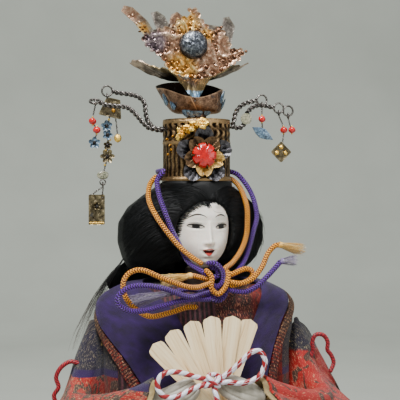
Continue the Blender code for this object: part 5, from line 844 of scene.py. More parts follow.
# Fan. Six thin slats of pale cypress, split with the grain and rounded at the tip, turn on one brass rivet.
FAN_ANGLES = [-42.0, -30.0, -17.5, -5.5, 7.0, 17.5]
for number, angle in enumerate(FAN_ANGLES):
    wood = Finish("cypress_{}".format(number + 1), Roughness=0.55, Specular_IOR_Level=0.35)
    along = wood.add("Mapping", {
        "Vector": wood.place(turn=(0.0, math.radians(-angle), 0.0)), "Scale": (1.0, 1.0, 0.035),
        "Location": (0.017 * number, 0.0, 0.0),
    })
    grain = wood.clouds(along, 1.1 * MM, 4.0, 0.6, 0.4)
    broad = wood.clouds(along, 4.5 * MM, 1.0)
    level = wood.sum("ADD", wood.sum("MULTIPLY_ADD", grain, 0.8, -0.05), wood.sum("MULTIPLY_ADD", broad, 0.5, -0.12))
    colour = wood.steps(
        level, (0.28, dye(176, 130, 84)), (0.42, dye(232, 204, 156)), (0.6, dye(246, 226, 186)), (0.85, dye(252, 238, 208)),
    )
    dress("fan_slat_{}".format(number + 1), wood.done(colour, normal=wood.relief(grain, 0.12 * MM)))
    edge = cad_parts["fan_slat_{}".format(number + 1)].modifiers.new("worn_edge", "BEVEL")
    edge.width = 0.18 * MM
    edge.segments = 2
    edge.limit_method = "ANGLE"
brass = Finish("brass", Metallic=1.0, Roughness=0.35)
tarnish = brass.clouds(brass.place(), 1.5 * MM)
brass.done(brass.steps(tarnish, (0.3, dye(110, 82, 40)), (0.7, dye(200, 160, 84))), brass.steps(
    tarnish, (0.2, 0.5), (0.8, 0.28),
))
dress("fan_rivet", brass.paint)

# Fan bow. A glossy cord twisted from red and white silk is tied round the fan above the hands in a bow of
# two loops with one short end hanging; the knot is three tight turns of the same cord.
BOW_CORD = 3.2 * MM
BOW_TWIST = 7.4 * MM
BOW_STOPS = {
    "bow_loop_left": [
        (1, -55.5, 122), (-7, -56.6, 124.2), (-17, -58.6, 127.4), (-25, -60.2, 127.0),
        (-28.6, -61.0, 121.6), (-25.4, -61.4, 115.4), (-18, -60.9, 114.6), (-9, -59.4, 118.4), (1, -56.2, 121),
    ],
    "bow_loop_right": [
        (3.5, -55.5, 122), (10, -56.6, 125.4), (17, -57.8, 131.6), (23.5, -58.4, 137.6),
        (28.6, -58.8, 137.2), (30.6, -59.0, 131.4), (27.2, -59.2, 124.2), (19, -58.8, 120.8),
        (11, -58.0, 121.2), (3.5, -56.2, 121.2),
    ],
    "bow_end": [(2.2, -56.5, 121), (3.2, -60.0, 116), (4.2, -61.4, 110), (5.2, -61.2, 103), (5.6, -61.0, 98)],
}
BOW_KNOT = [
    (-1.0, -53.4, 118.6), (-2.2, -56.6, 119.0), (0.4, -59.2, 120.2), (4.4, -59.0, 122.4), (6.2, -56.2, 124.0),
    (4.2, -53.8, 124.6), (0.6, -55.4, 125.0), (0.0, -58.6, 123.6), (3.6, -59.8, 120.4), (5.6, -57.0, 118.8),
]
two_silks = Finish("red_white_silk", Roughness=0.3, Specular_IOR_Level=0.6, Coat_Weight=0.3, Coat_Roughness=0.2)
spot = two_silks.lay()
turns = two_silks.sum("MULTIPLY_ADD", two_silks.part(spot, 0), 1.0 / BOW_TWIST, two_silks.part(spot, 1))
stripe = two_silks.sum("FRACT", turns)
red_share = two_silks.steps(stripe, (0.0, 1.0), (0.46, 1.0), (0.48, 0.0), (0.98, 0.0), (1.0, 1.0))
hairs = two_silks.clouds(two_silks.lay((0.25, 0.012, 1.0)), 0.25 * MM, 2.0)
white = two_silks.steps(hairs, (0.3, dye(186, 184, 204)), (0.7, dye(238, 238, 244)))
red = two_silks.steps(hairs, (0.3, dye(104, 2, 12)), (0.7, dye(164, 6, 20)))
two_silks.done(two_silks.over(red_share, white, red), normal=two_silks.relief(hairs, 0.06 * MM))


def twisted(line, radius, pitch, plies, sides=24, depth=0.2):
    """Skin a line as a cord twisted from a few plies, with the twist in its lay."""
    run = np.concatenate([[0.0], np.cumsum(np.linalg.norm(np.diff(line, axis=0), axis=1))])[:, None]
    angle = (np.arange(sides) * TURN / sides)[None, :]
    height = np.abs(np.sin(plies / 2.0 * (angle + TURN * run / pitch)))
    ends = np.minimum(1.0, 0.5 + np.minimum(run, run[-1] - run) / radius)
    return skin(line, radius * (1.0 - depth + depth * height) * ends)


knot = Heap()
knot.add(*twisted(flow(BOW_KNOT, 0.35 * MM), BOW_CORD * 0.46, BOW_TWIST, 2))
knot_piece = fit(knot.cast("bow_knot", [two_silks.paint]), "doll_body", "fan_bow")
for name, stops in BOW_STOPS.items():
    line = flow(stops, 0.35 * MM)
    heap = Heap()
    heap.add(*twisted(line, BOW_CORD / 2.0, BOW_TWIST, 2))
    piece = heap.cast(name, [two_silks.paint])
    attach(piece, "doll_body")

# Sleeve cords. Red braided silk lacing is drawn through the outer seam of each sleeve and stands off it in
# loops; both ends go back under the brocade.
SLEEVE_CORD = 2.7 * MM
SLEEVE_STOPS = {
    "right": [
        (68.0, -6.6, 124.6), (70.0, -6.6, 129.6), (69.4, -6.8, 134.0), (71.4, -6.8, 138.6), (76.0, -6.8, 138.6),
        (78.9, -6.8, 134.6), (78.8, -6.8, 129.6), (81.2, -6.8, 126.2), (82.6, -6.8, 121.6), (80.0, -8.0, 116.0),
    ],
    "left": [
        (-66.0, -6.8, 122.0), (-71.8, -6.8, 125.0), (-76.0, -6.8, 125.4), (-81.0, -6.8, 121.8), (-83.4, -6.8, 116.4),
        (-82.0, -6.8, 110.8), (-84.6, -6.8, 106.0), (-83.0, -6.8, 101.0), (-80.0, -8.0, 97.0),
    ],
}
lacing = Finish("red_lacing", Roughness=0.45, Specular_IOR_Level=0.45, Sheen_Weight=0.1)
spot = lacing.lay((1.0, 0.0027 * 3.14, 1.0))
strands = lacing.sum("MULTIPLY", lacing.ribs(spot, 1.5 * MM, "DIAGONAL", 1.0), lacing.clouds(spot, 2.0 * MM))
lacing.done(
    lacing.steps(strands, (0.08, dye(72, 0, 10)), (0.3, dye(146, 3, 22)), (0.6, dye(190, 22, 42))),
    normal=lacing.relief(strands, 0.25 * MM),
)
for side, stops in SLEEVE_STOPS.items():
    line = flow(stops, 0.35 * MM)
    heap = Heap()
    heap.add(*twisted(line, SLEEVE_CORD / 2.0, 3.4 * MM, 3, 20, 0.14))
    piece = fit(heap.cast("sleeve_lacing_" + side, [lacing.paint]), "doll_body", "sleeve_cord_" + side)


# Head. Carved, coated with many thin layers of white shell paste and polished, with painted brows and lips
# and dark eyes set behind cut lids. It turns on the neck post and is cast in its own frame, facing -Y.
HEAD_TURN = Matrix.Rotation(math.radians(12.0), 4, "Z")
SKULL_HALF_WIDTH = 17.6
SKULL_FRONT = 20.0
SKULL_BACK = 19.0
SKULL_FORWARD = 4.0
SKULL_TOP = 229.4
CHIN = 181.5
NECK_FOOT = 158.2
NECK_RADIUS = 7.0
HEAD_COLUMNS = 168
HEAD_ROWS = 150
SKULL_ROWS = [
    (0.000, 0.30, 0.60, 0.30), (0.035, 0.46, 0.83, 0.42), (0.090, 0.64, 0.92, 0.55), (0.160, 0.79, 0.96, 0.68),
    (0.260, 0.91, 0.98, 0.80), (0.380, 0.98, 0.97, 0.90), (0.500, 1.00, 0.98, 0.98), (0.640, 0.99, 0.99, 1.00),
    (0.770, 0.92, 0.94, 0.96), (0.880, 0.74, 0.78, 0.80), (0.950, 0.50, 0.52, 0.55), (1.000, 0.18, 0.18, 0.20),
]
# Each soft rise or hollow of the face: side, level, half width, half height and height, in millimetres.
FACE_FORMS = [
    (-7.3, 205.6, 4.6, 2.7, -0.95), (8.2, 205.4, 4.6, 2.7, -0.95),
    (-7.3, 207.0, 4.2, 1.1, 0.45), (8.2, 206.8, 4.0, 1.1, 0.45),
    (-7.3, 203.0, 4.2, 1.0, 0.35), (8.2, 202.8, 4.0, 1.0, 0.35),
    (-7.0, 210.8, 5.0, 1.8, 0.30), (7.6, 210.8, 5.0, 1.8, 0.30),
    (-9.4, 196.5, 4.4, 6.0, 0.75), (9.6, 196.5, 4.4, 6.0, 0.75),
    (-0.5, 190.2, 5.0, 3.0, 0.75), (-0.5, 191.7, 3.1, 0.62, 0.55), (-0.5, 187.6, 2.3, 0.62, 0.65),
    (-0.5, 189.7, 2.9, 0.85, -1.15), (-0.4, 193.1, 0.7, 0.7, -0.3), (-0.5, 186.2, 2.8, 0.7, -0.35),
    (-4.6, 190.9, 0.8, 0.8, -0.35), (3.6, 190.9, 0.8, 0.8, -0.35),
    (-0.4, 183.9, 3.4, 1.8, 0.9), (-2.5, 195.4, 1.0, 1.1, 0.95), (2.0, 195.4, 1.0, 1.1, 0.95),
    (-0.3, 214.0, 9.0, 4.0, 0.3),
]
NOSE = [(208.4, 0.0), (206.0, 0.9), (202.0, 2.1), (198.0, 3.3), (196.2, 3.8), (195.0, 3.4), (193.9, 1.3), (193.2, 0.0)]


def table_at(rows, share):
    """Read a table of forms smoothly between its rows."""
    keys = [row[0] for row in rows]
    return [float(np.interp(share, keys, [row[k] for row in rows])) for k in range(1, len(rows[0]))]


def rounded_rows(rows, count):
    """Smooth a table into many rows."""
    ends = [rows[0]] + list(rows) + [rows[-1]]
    fine = []
    for a, b, c, d in zip(ends, ends[1:], ends[2:], ends[3:]):
        a, b, c, d = (np.array(row, float) for row in (a, b, c, d))
        for t in np.linspace(0.0, 1.0, count, endpoint=False):
            fine.append(0.5 * (
                2.0 * b + (c - a) * t + (2.0 * a - 5.0 * b + 4.0 * c - d) * t * t
                + (3.0 * b - 3.0 * c + d - a) * t ** 3
            ))
    return [tuple(row) for row in fine] + [tuple(rows[-1])]


skull_fine = rounded_rows(SKULL_ROWS, 8)


def face_relief(x, z):
    """Give how far the face stands proud of the plain skull."""
    rise = sum(
        high * math.exp(-((x - side) / wide) ** 2 - ((z - level) / tall) ** 2)
        for side, level, wide, tall, high in FACE_FORMS
    )
    ridge = float(np.interp(z, [row[0] for row in NOSE[::-1]], [row[1] for row in NOSE[::-1]]))
    slim = 1.05 + 0.85 * min(1.0, max(0.0, (207.0 - z) / 11.0))
    return rise + ridge * math.exp(-abs((x + 0.25) / slim) ** 2.1)


def face_point(x, z, lift=0.0):
    """Give the spot on the face at that side and level, lifted off it."""
    width, front, _ = table_at(skull_fine, (z - CHIN) / (SKULL_TOP - CHIN))
    width, front = SKULL_HALF_WIDTH * width, SKULL_FRONT * front
    share = max(-0.995, min(0.995, x / width))
    return Vector((x, -SKULL_FORWARD - front * math.sqrt(1.0 - share * share) - face_relief(x, z) - lift, z)) * MM


head_levels = [NECK_FOOT + (CHIN - 2.4 - NECK_FOOT) * share for share in np.linspace(0.0, 1.0, 12)]
head_levels += [CHIN + (SKULL_TOP - CHIN) * share ** 1.15 for share in np.linspace(0.0, 1.0, HEAD_ROWS)]
points = []
for z in head_levels:
    for column in range(HEAD_COLUMNS):
        angle = TURN * column / HEAD_COLUMNS
        if z < CHIN:
            points.append(Vector((NECK_RADIUS * math.sin(angle), -NECK_RADIUS * math.cos(angle), z)) * MM)
            continue
        width, front, rear = table_at(skull_fine, (z - CHIN) / (SKULL_TOP - CHIN))
        x = SKULL_HALF_WIDTH * width * math.sin(angle)
        ahead = math.cos(angle)
        depth = SKULL_FRONT * front if ahead > 0.0 else SKULL_BACK * rear
        relief = face_relief(x, z) * min(1.0, max(0.0, ahead * 4.0))
        points.append(Vector((x, -SKULL_FORWARD - depth * ahead - relief, z)) * MM)
faces = [
    (r * HEAD_COLUMNS + c, r * HEAD_COLUMNS + (c + 1) % HEAD_COLUMNS,
     (r + 1) * HEAD_COLUMNS + (c + 1) % HEAD_COLUMNS, (r + 1) * HEAD_COLUMNS + c)
    for r in range(len(head_levels) - 1) for c in range(HEAD_COLUMNS)
]
faces.append(tuple(range(HEAD_COLUMNS))[::-1])
faces.append(tuple((len(head_levels) - 1) * HEAD_COLUMNS + c for c in range(HEAD_COLUMNS)))

gofun = Finish(
    "shell_paste", Roughness=0.4, Subsurface_Weight=0.12, Subsurface_Radius=(0.004, 0.002, 0.0012),
    Subsurface_Scale=0.5, Coat_Weight=0.15, Coat_Roughness=0.3,
)
stains = gofun.clouds(gofun.place(), 9 * MM, 4.0)
paste = gofun.steps(stains, (0.25, dye(226, 215, 202)), (0.5, dye(240, 232, 221)), (0.8, dye(248, 243, 234)))
hair_cracks = gofun.cells(gofun.place((1.0, 1.0, 0.35)), 13 * MM, "DISTANCE_TO_EDGE")
crack_share = gofun.steps(hair_cracks, (0.0, 0.22), (0.012, 0.0))
spot = gofun.place()
for side, level, wide, tall, strength in ((-5.0, 216.6, 3.4, 1.5, 0.55), (5.6, 216.2, 3.2, 1.7, 0.5)):
    reach = gofun.add("VectorMath", {
        0: spot, 1: (side * MM, 0.0, level * MM),
    }, operation="SUBTRACT")
    shrunk = gofun.add("VectorMath", {0: reach, 1: (1.0 / (wide * MM), 0.0, 1.0 / (tall * MM))}, operation="MULTIPLY")
    far = gofun.add("VectorMath", {0: shrunk}, "Value", operation="LENGTH")
    strokes = gofun.ribs(gofun.place((1.0, 0.0, 0.45), (0.0, 0.5, 0.0)), 0.5 * MM, "X", 2.0)
    smudge = gofun.sum("MULTIPLY", gofun.steps(far, (0.35, strength), (1.1, 0.0)), gofun.sum(
        "MULTIPLY_ADD", strokes, 0.7, 0.3,
    ))
    paste = gofun.over(smudge, paste, dye(84, 78, 66))
paste = gofun.over(crack_share, paste, dye(150, 138, 124))
# Below the chin the paste is painted darker: painted shade falling on the neck.
chin_shade_share = gofun.add("MapRange", {
    "Value": gofun.part(gofun.place(), 2), "From Min": (CHIN + 0.4) * MM, "From Max": (CHIN - 2.0) * MM,
})
paste = gofun.over(chin_shade_share, paste, dye(72, 56, 48))
normal = gofun.relief(gofun.clouds(gofun.place(), 0.9 * MM, 4.0), 0.03 * MM)
normal = gofun.relief(stains, 0.25 * MM, normal)
gofun.done(paste, gofun.steps(stains, (0.3, 0.34), (0.7, 0.5)), normal)

heap = Heap()
heap.add(points, faces)
fit(heap.cast("head_shell", [gofun.paint], turn=HEAD_TURN), "head", "head")

# Eyes and paint. Almond eyes of dark glass show between thin inked lids; the brows are single fine strokes,
# and the mouth is a red lower lip under a dark parting.
EYES = [(-7.5, 204.95, 4.7, 1.2, 1.05, -7.6), (8.2, 204.7, 4.3, 1.2, 1.05, 8.0)]
IRIS = 2.05
glass = Finish("eye_glass", Roughness=0.12, Coat_Weight=0.6, Coat_Roughness=0.05)
away = glass.add("VectorMath", {0: glass.lay(), 1: (1.0, 0.35, 0.0)}, operation="MULTIPLY")
far = glass.add("VectorMath", {0: away}, "Value", operation="LENGTH")
ring = glass.steps(
    glass.sum("MULTIPLY", far, 1.0 / (5.0 * MM)),
    (0.0, dye(10, 8, 8)), (IRIS / 5.0 - 0.03, dye(16, 12, 11)), (IRIS / 5.0 + 0.03, dye(172, 166, 156)),
    (0.8, dye(190, 184, 174)),
)
glass.done(ring, normal=glass.relief(glass.clouds(glass.place(), 0.6 * MM), 0.01 * MM))
ink = Finish("lid_ink", Roughness=0.5)
ink_tone = ink.clouds(ink.place(), 0.8 * MM)
ink.done(ink.steps(ink_tone, (0.3, dye(24, 20, 18)), (0.8, dye(44, 38, 34))))
brow_ink = Finish("brow_ink", Roughness=0.6)
brow_tone = brow_ink.clouds(brow_ink.place(), 0.6 * MM)
brow_ink.done(brow_ink.steps(brow_tone, (0.3, dye(30, 26, 22)), (0.8, dye(66, 58, 50))))
rouge = Finish("lip_red", Roughness=0.28, Coat_Weight=0.4, Coat_Roughness=0.2)
rouge_tone = rouge.clouds(rouge.place((1.0, 1.0, 0.4)), 0.9 * MM)
rouge.done(rouge.steps(rouge_tone, (0.3, dye(150, 26, 22)), (0.75, dye(206, 70, 58))))
parting = Finish("mouth_dark", Roughness=0.5)
parting_tone = parting.clouds(parting.place(), 0.8 * MM)
parting.done(parting.steps(parting_tone, (0.3, dye(40, 12, 12)), (0.8, dye(84, 26, 24))))


def stroke(heap, spots, reaches, lift, kind=0):
    """Lay one tapered painted line on the face."""
    fine = flow([(x, 0.0, z) for x, z in spots], 0.25, 1.0)
    line = [tuple(face_point(x, z, lift)) for x, _, z in fine]
    run = np.interp(np.linspace(0.0, 1.0, len(line)), np.linspace(0.0, 1.0, len(reaches)), reaches)
    heap.add(*skin(line, np.repeat(run[:, None] * MM, 6, axis=1)), kind)


def almond(heap, left, right, upper, lower, lift, swell, middle, kind=0):
    """Lay one almond-shaped patch on the face between two curved edges."""
    columns, rows = 22, 7
    points, lays = [], []
    for i in range(columns + 1):
        share = 2.0 * i / columns - 1.0
        x = left + (right - left) * i / columns
        high, low = upper(share), lower(share)
        for j in range(rows + 1):
            z = low + (high - low) * j / rows
            proud = lift + swell * (1.0 - share * share) * (1.0 - (2.0 * j / rows - 1.0) ** 2)
            points.append(face_point(x, z, proud))
            lays.append(((x - middle) * MM, (z - (high + low) / 2.0) * MM, 0.0))
    faces = [
        (i * (rows + 1) + j, (i + 1) * (rows + 1) + j, (i + 1) * (rows + 1) + j + 1, i * (rows + 1) + j + 1)
        for i in range(columns) for j in range(rows)
    ]
    heap.add(points, faces, lays, kind)


heap = Heap()
for side, level, half, above, below, iris in EYES:
    tilt = 0.45 if side < 0.0 else -0.45
    almond(
        heap, side - half, side + half,
        lambda s: level + above * (1.0 - s * s) ** 0.7 - tilt * s,
        lambda s: level - below * (1.0 - s * s) ** 0.9 - tilt * s,
        0.28, 0.3, iris,
    )
    lid = [(side + half * s, level + above * (1.0 - s * s) ** 0.7 - tilt * s + 0.12) for s in np.linspace(-1.0, 1.0, 9)]
    stroke(heap, lid, (0.18, 0.5, 0.58, 0.5, 0.2), 0.3, 1)
    lid = [(side + half * s, level - below * (1.0 - s * s) ** 0.9 - tilt * s - 0.05) for s in np.linspace(-0.95, 0.95, 9)]
    stroke(heap, lid, (0.1, 0.18, 0.18, 0.1), 0.14, 2)
    fold = [(side + half * 0.95 * s, level + above * (1.0 - s * s) ** 0.7 + 1.15 - tilt * s) for s in np.linspace(-0.9, 0.8, 7)]
    stroke(heap, fold, (0.03, 0.1, 0.1, 0.03), -0.02, 2)
stroke(heap, [(-12.0, 209.6), (-9.8, 211.2), (-6.8, 212.0), (-3.8, 211.3), (-1.4, 209.8)], (0.08, 0.42, 0.46, 0.26, 0.06), -0.02, 2)
stroke(heap, [(3.1, 210.0), (5.0, 211.2), (7.4, 211.7), (9.4, 211.2), (10.9, 210.4)], (0.06, 0.26, 0.46, 0.42, 0.08), -0.02, 2)
stroke(heap, [(1.0, 214.9), (3.4, 213.4), (6.4, 212.9), (9.6, 213.1)], (0.02, 0.08, 0.08, 0.02), -0.02, 2)
almond(
    heap, -4.1, 3.2,
    lambda s: 190.95 + 0.35 * abs(s) - 0.2 * math.exp(-(s / 0.16) ** 2), lambda s: 190.95 + 0.35 * abs(s) - 2.6 * (1.0 - s * s),
    0.32, 0.0, 0.0, 3,
)
almond(
    heap, -2.6, 1.8, lambda s: 189.55 + 0.2 * (1.0 - s * s), lambda s: 189.5 - 1.55 * (1.0 - s * s),
    0.5, 0.35, 0.0, 4,
)
stroke(heap, [(-4.3, 191.2), (-2.4, 191.5), (-1.0, 191.8), (-0.4, 191.5), (0.2, 191.8), (1.6, 191.5), (3.4, 191.2)], (0.05, 0.24, 0.3, 0.24, 0.05), 0.2, 4)
painted = heap.cast("face_paint", [glass.paint, ink.paint, brow_ink.paint, parting.paint, rouge.paint], turn=HEAD_TURN)
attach(painted, "head")


# Hair. Dyed silk floss glued to the skull in thick combed wings, wide at the ears and drawn in behind the
# shoulders to one long fall; the hairline is cut fine on the forehead and stray threads have come loose.
FACE_MIDDLE = 200.2
HAIRLINE_HALF_WIDTH = 17.0
HAIRLINE_HALF_HEIGHT = 19.6
HAIR_THREAD = 0.15 * MM
CAP_ROWS = 14
CAP_COLUMNS = 61
CAP_REACH = 21.2
CAP_TOP = 231.2
CAP_BULGE = 1.8
floss_black = Finish("black_floss", Roughness=0.46, Specular_IOR_Level=0.3, Anisotropic=0.4)
tone = floss_black.sum("ADD", floss_black.part(floss_black.lay(), 2), floss_black.sum(
    "MULTIPLY_ADD", floss_black.clouds(floss_black.place(), 6 * MM), 0.5, -0.25,
))
floss_black.done(
    floss_black.steps(tone, (0.1, dye(3, 4, 5)), (0.6, dye(8, 9, 10)), (0.97, dye(26, 28, 30))),
    normal=floss_black.relief(floss_black.clouds(floss_black.place((3.0, 3.0, 0.6)), 0.5 * MM), 0.12 * MM),
)
stray_floss = Finish("stray_floss", Roughness=0.45)
tone = stray_floss.part(stray_floss.lay(), 0)
stray_floss.done(stray_floss.steps(
    stray_floss.sum("MULTIPLY", tone, 12.0), (0.2, dye(20, 18, 18)), (0.62, dye(58, 34, 36)), (0.95, dye(104, 42, 48)),
))


def thread(heap, line, radius, tone, ends=0.4):
    """Add one hair along a line."""
    run = np.linspace(0.0, 1.0, len(line))
    reach = radius * (ends + (1.0 - ends) * np.sin(math.pi * np.clip(run * 0.9 + 0.08, 0.0, 1.0)))
    points, faces, lay = skin(line, np.repeat(reach[:, None], 3, axis=1))
    lay[:, 2] = tone
    heap.add(points, faces, lay)


def hairline(angle, grow=1.0):
    """Give a spot on the hairline, or inside it, at an angle from the top; it dips to a point in the middle."""
    dip = 1.7 * math.exp(-(math.sin(angle) * 9.0) ** 2) if math.cos(angle) > 0.0 else 0.0
    return (
        HAIRLINE_HALF_WIDTH * grow * math.sin(angle), FACE_MIDDLE + HAIRLINE_HALF_HEIGHT * grow * math.cos(angle) - dip,
    )


hair_base = fit(evened("hair", "hair_wings", 1.1 * MM, 8, floss_black.paint, HEAD_TURN), "head", "hair")
heap = Heap()
cap = []
for share in np.linspace(0.0, 1.0, CAP_ROWS):
    for angle in np.radians(np.linspace(-96.0, 96.0, CAP_COLUMNS)):
        low = face_point(*hairline(angle), 0.05)
        high = Vector((CAP_REACH * math.sin(angle), -CAP_REACH * math.cos(angle), CAP_TOP)) * MM
        out = Vector((math.sin(angle), -math.cos(angle), 0.5)) * CAP_BULGE * MM
        middle = (low + high) / 2.0 + out
        cap.append(low * (1.0 - share) ** 2 + middle * 2.0 * share * (1.0 - share) + high * share ** 2)
cap_faces = [
    (r * CAP_COLUMNS + c, r * CAP_COLUMNS + c + 1, (r + 1) * CAP_COLUMNS + c + 1, (r + 1) * CAP_COLUMNS + c)
    for r in range(CAP_ROWS - 1) for c in range(CAP_COLUMNS - 1)
]
inside = [spot - Vector((spot.x, spot.y + SKULL_FORWARD * MM, 0.0)).normalized() * 0.8 * MM for spot in cap]
shell = len(cap)
rim = [c for c in range(CAP_COLUMNS - 1)] + [r * CAP_COLUMNS + CAP_COLUMNS - 1 for r in range(CAP_ROWS - 1)]
rim += [shell - 1 - c for c in range(CAP_COLUMNS - 1)] + [(CAP_ROWS - 1 - r) * CAP_COLUMNS for r in range(CAP_ROWS - 1)]
heap.add(
    cap + inside,
    cap_faces + [tuple(shell + corner for corner in face[::-1]) for face in cap_faces]
    + [(b, a, shell + a, shell + b) for a, b in zip(rim, rim[1:] + rim[:1])],
    [(0.0, 0.0, 0.2)] * (2 * shell),
)
ring_line = [(18.4 * math.sin(a) * MM, -18.4 * math.cos(a) * MM, 229.0 * MM) for a in np.linspace(0.0, TURN, 61)]
points, faces, lay = skin(ring_line, np.full((61, 12), 2.3 * MM))
heap.add(points, faces, lay * 0.0 + 0.2)
wings = hair_base.data
base_tree = BVHTree.FromPolygons(
    [vertex.co.copy() for vertex in wings.vertices] + cap,
    [tuple(face.vertices) for face in wings.polygons]
    + [tuple(len(wings.vertices) + corner for corner in face) for face in cap_faces],
)
chance = random.Random(11)
for number in range(1500):
    front = number < 950
    start = chance.uniform(-148.0, 148.0) if front else chance.uniform(-100.0, 100.0)
    side = 1.0 if start > 0.0 else -1.0
    bend = chance.uniform(0.45, 0.75) * (168.0 - abs(start))
    lift = chance.uniform(0.0, 0.55) ** 1.5 * MM
    stray = chance.random() < 0.05
    tone = chance.uniform(0.0, 0.9)
    line = []
    for share in np.linspace(0.0, 1.0, 22):
        angle = math.radians(start + side * bend * share ** 1.6)
        if front:
            x = math.sin(angle) * (HAIRLINE_HALF_WIDTH + 36.0 * share)
            z = FACE_MIDDLE + math.cos(angle) * (HAIRLINE_HALF_HEIGHT + 26.0 * share)
            ahead = Vector((0.0, 1.0, 0.0))
        else:
            x = 44.0 * math.sin(math.radians(start * 0.9)) * (0.75 + 0.45 * share - 0.55 * share ** 3)
            z = 231.0 - 54.0 * share
            ahead = Vector((0.0, -1.0, 0.0))
        hit, normal, _, _ = base_tree.ray_cast(Vector((x * MM, 0.0, z * MM)) - ahead * 60.0 * MM, ahead)
        if hit is None or normal.dot(ahead) > -0.06:
            break
        wave = 0.25 * MM * math.sin(9.0 * share + tone * 40.0)
        line.append(hit + normal * (lift + 0.1 * MM + (1.6 * MM * share if stray else 0.0)) + Vector((wave, 0.0, wave)))
    if len(line) > 4:
        thread(heap, [tuple(p) for p in line], HAIR_THREAD * chance.uniform(0.7, 1.5), tone)
for number in range(230):
    angle = math.radians(-100.0 + 200.0 * number / 229.0 + chance.uniform(-0.3, 0.3))
    inner = chance.uniform(0.83, 0.9) if angle < 0.0 else chance.uniform(0.93, 0.97)
    line = []
    for share in np.linspace(0.0, 1.0, 6):
        x, z = hairline(angle + 0.10 * (1.0 - share), inner + (1.04 - inner) * share)
        line.append(tuple(face_point(x, z, 0.02 + 0.4 * share)))
    thread(heap, line[::-1], 0.17 * MM, 0.1, 0.5)
hairs = heap.cast("hair_combed", [floss_black.paint], turn=HEAD_TURN)
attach(hairs, "head")

FALL_TOP = 186.0
FALL_FOOT = 99.0
FALL_HALF_WIDTH = 48.0
FALL_BACK = 43.5
FALL_CURVE = 8.0
FALL_HALF_THICKNESS = 1.8
FALL_ROWS = [
    (0.00, 0.19, 1.000, 0.00), (0.24, 0.23, 0.977, 0.06), (0.45, 0.29, 0.943, 0.10), (0.56, 0.40, 0.908, 0.19),
    (0.655, 0.62, 0.862, 0.44), (0.735, 0.92, 0.84, 0.75), (0.82, 1.00, 0.86, 1.00), (0.90, 0.88, 0.88, 1.00),
    (1.00, 0.62, 0.905, 0.82),
]
fall_fine = rounded_rows(FALL_ROWS, 6)


def fall_point(side, share, lift):
    """Give a spot on the fall of hair, from its foot up."""
    width, rear, curve = table_at(fall_fine, share)
    return (
        FALL_HALF_WIDTH * width * side * MM,
        (FALL_BACK * rear - FALL_CURVE * curve * side * side + lift) * MM,
        (FALL_FOOT + (FALL_TOP - FALL_FOOT) * share) * MM,
    )


heap = Heap()
rim = []
for step in range(28):
    angle = TURN * step / 28
    rim.append((max(-1.0, min(1.0, 1.03 * math.cos(angle))), FALL_HALF_THICKNESS * 0.7 * math.sin(angle)))
levels = np.linspace(0.0, 1.0, 44)
points = [fall_point(side, share, lift) for share in levels for side, lift in rim]
faces = [
    (r * 28 + c, (r + 1) * 28 + c, (r + 1) * 28 + (c + 1) % 28, r * 28 + (c + 1) % 28)
    for r in range(len(levels) - 1) for c in range(28)
]
faces += [tuple(range(28)), tuple((len(levels) - 1) * 28 + c for c in range(28))[::-1]]
heap.add(points, faces)
for number in range(340):
    side = chance.uniform(-1.0, 1.0)
    lift = chance.choice((-1.0, 1.0)) * (FALL_HALF_THICKNESS * 0.72 * math.sqrt(1.0 - side * side * 0.8) + chance.uniform(0.0, 0.4))
    drift = chance.uniform(-0.05, 0.05)
    foot = chance.uniform(0.0, 0.06)
    tone = chance.uniform(0.0, 0.9)
    line = [
        fall_point(max(-1.0, min(1.0, side + drift * math.sin(5.0 * share + tone * 30.0))), share, lift)
        for share in np.linspace(foot, 1.0, 24)
    ]
    thread(heap, line, 0.24 * MM * chance.uniform(0.7, 1.3), tone)
fit(heap.cast("hair_long_fall", [floss_black.paint], turn=HEAD_TURN), "head", "hair_fall")

# Stray threads hang from the wing past the shoulder, outside the sleeve.
STRAY = [(-44.0, 4.0, 184.0), (-50.0, 6.0, 176.0), (-57.0, 8.0, 165.0), (-63.0, 8.0, 153.0), (-68.0, 7.0, 141.0), (-70.5, 5.0, 129.0)]
heap = Heap()
for number in range(64):
    across = chance.uniform(-1.0, 1.0)
    near = chance.uniform(-1.0, 1.0)
    cut = chance.uniform(0.6, 1.0)
    stops = []
    for index, (x, y, z) in enumerate(STRAY):
        share = index / (len(STRAY) - 1)
        wide = 2.0 + 5.5 * share ** 0.7
        stops.append((
            x + across * wide * (0.7 + 0.3 * share) + chance.uniform(-0.5, 0.5) * share,
            y + near * (2.0 + 4.0 * share), z + across * 2.5 + chance.uniform(-1.0, 1.0),
        ))
    line = flow(stops, 3.4 * MM)
    line = line[:max(6, int(len(line) * cut))]
    thread(heap, line, 0.07 * MM * chance.uniform(0.7, 1.2), chance.random(), 0.3)
strays = heap.cast("hair_strays", [stray_floss.paint])
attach(strays, "head")


# Crown band. A pierced bronze band, once gilt, stands on the hair: ribs below with grooves between them, painted
# dark as the shade in its openings, rows of punched beads above and a rolled rim, all cast in one with its flat lid
# and glued to the hair.
CROWN_TURN = Matrix.Rotation(math.radians(5.0), 4, "Z")
BAND_RADIUS = 20.1
BAND_FOOT = 231.4
BAND_HEAD = 267.8
BAND_RIM = 0.7
BAND_COLUMNS = 540
BAND_ROWS = 110
RIBS_ROUND = 38


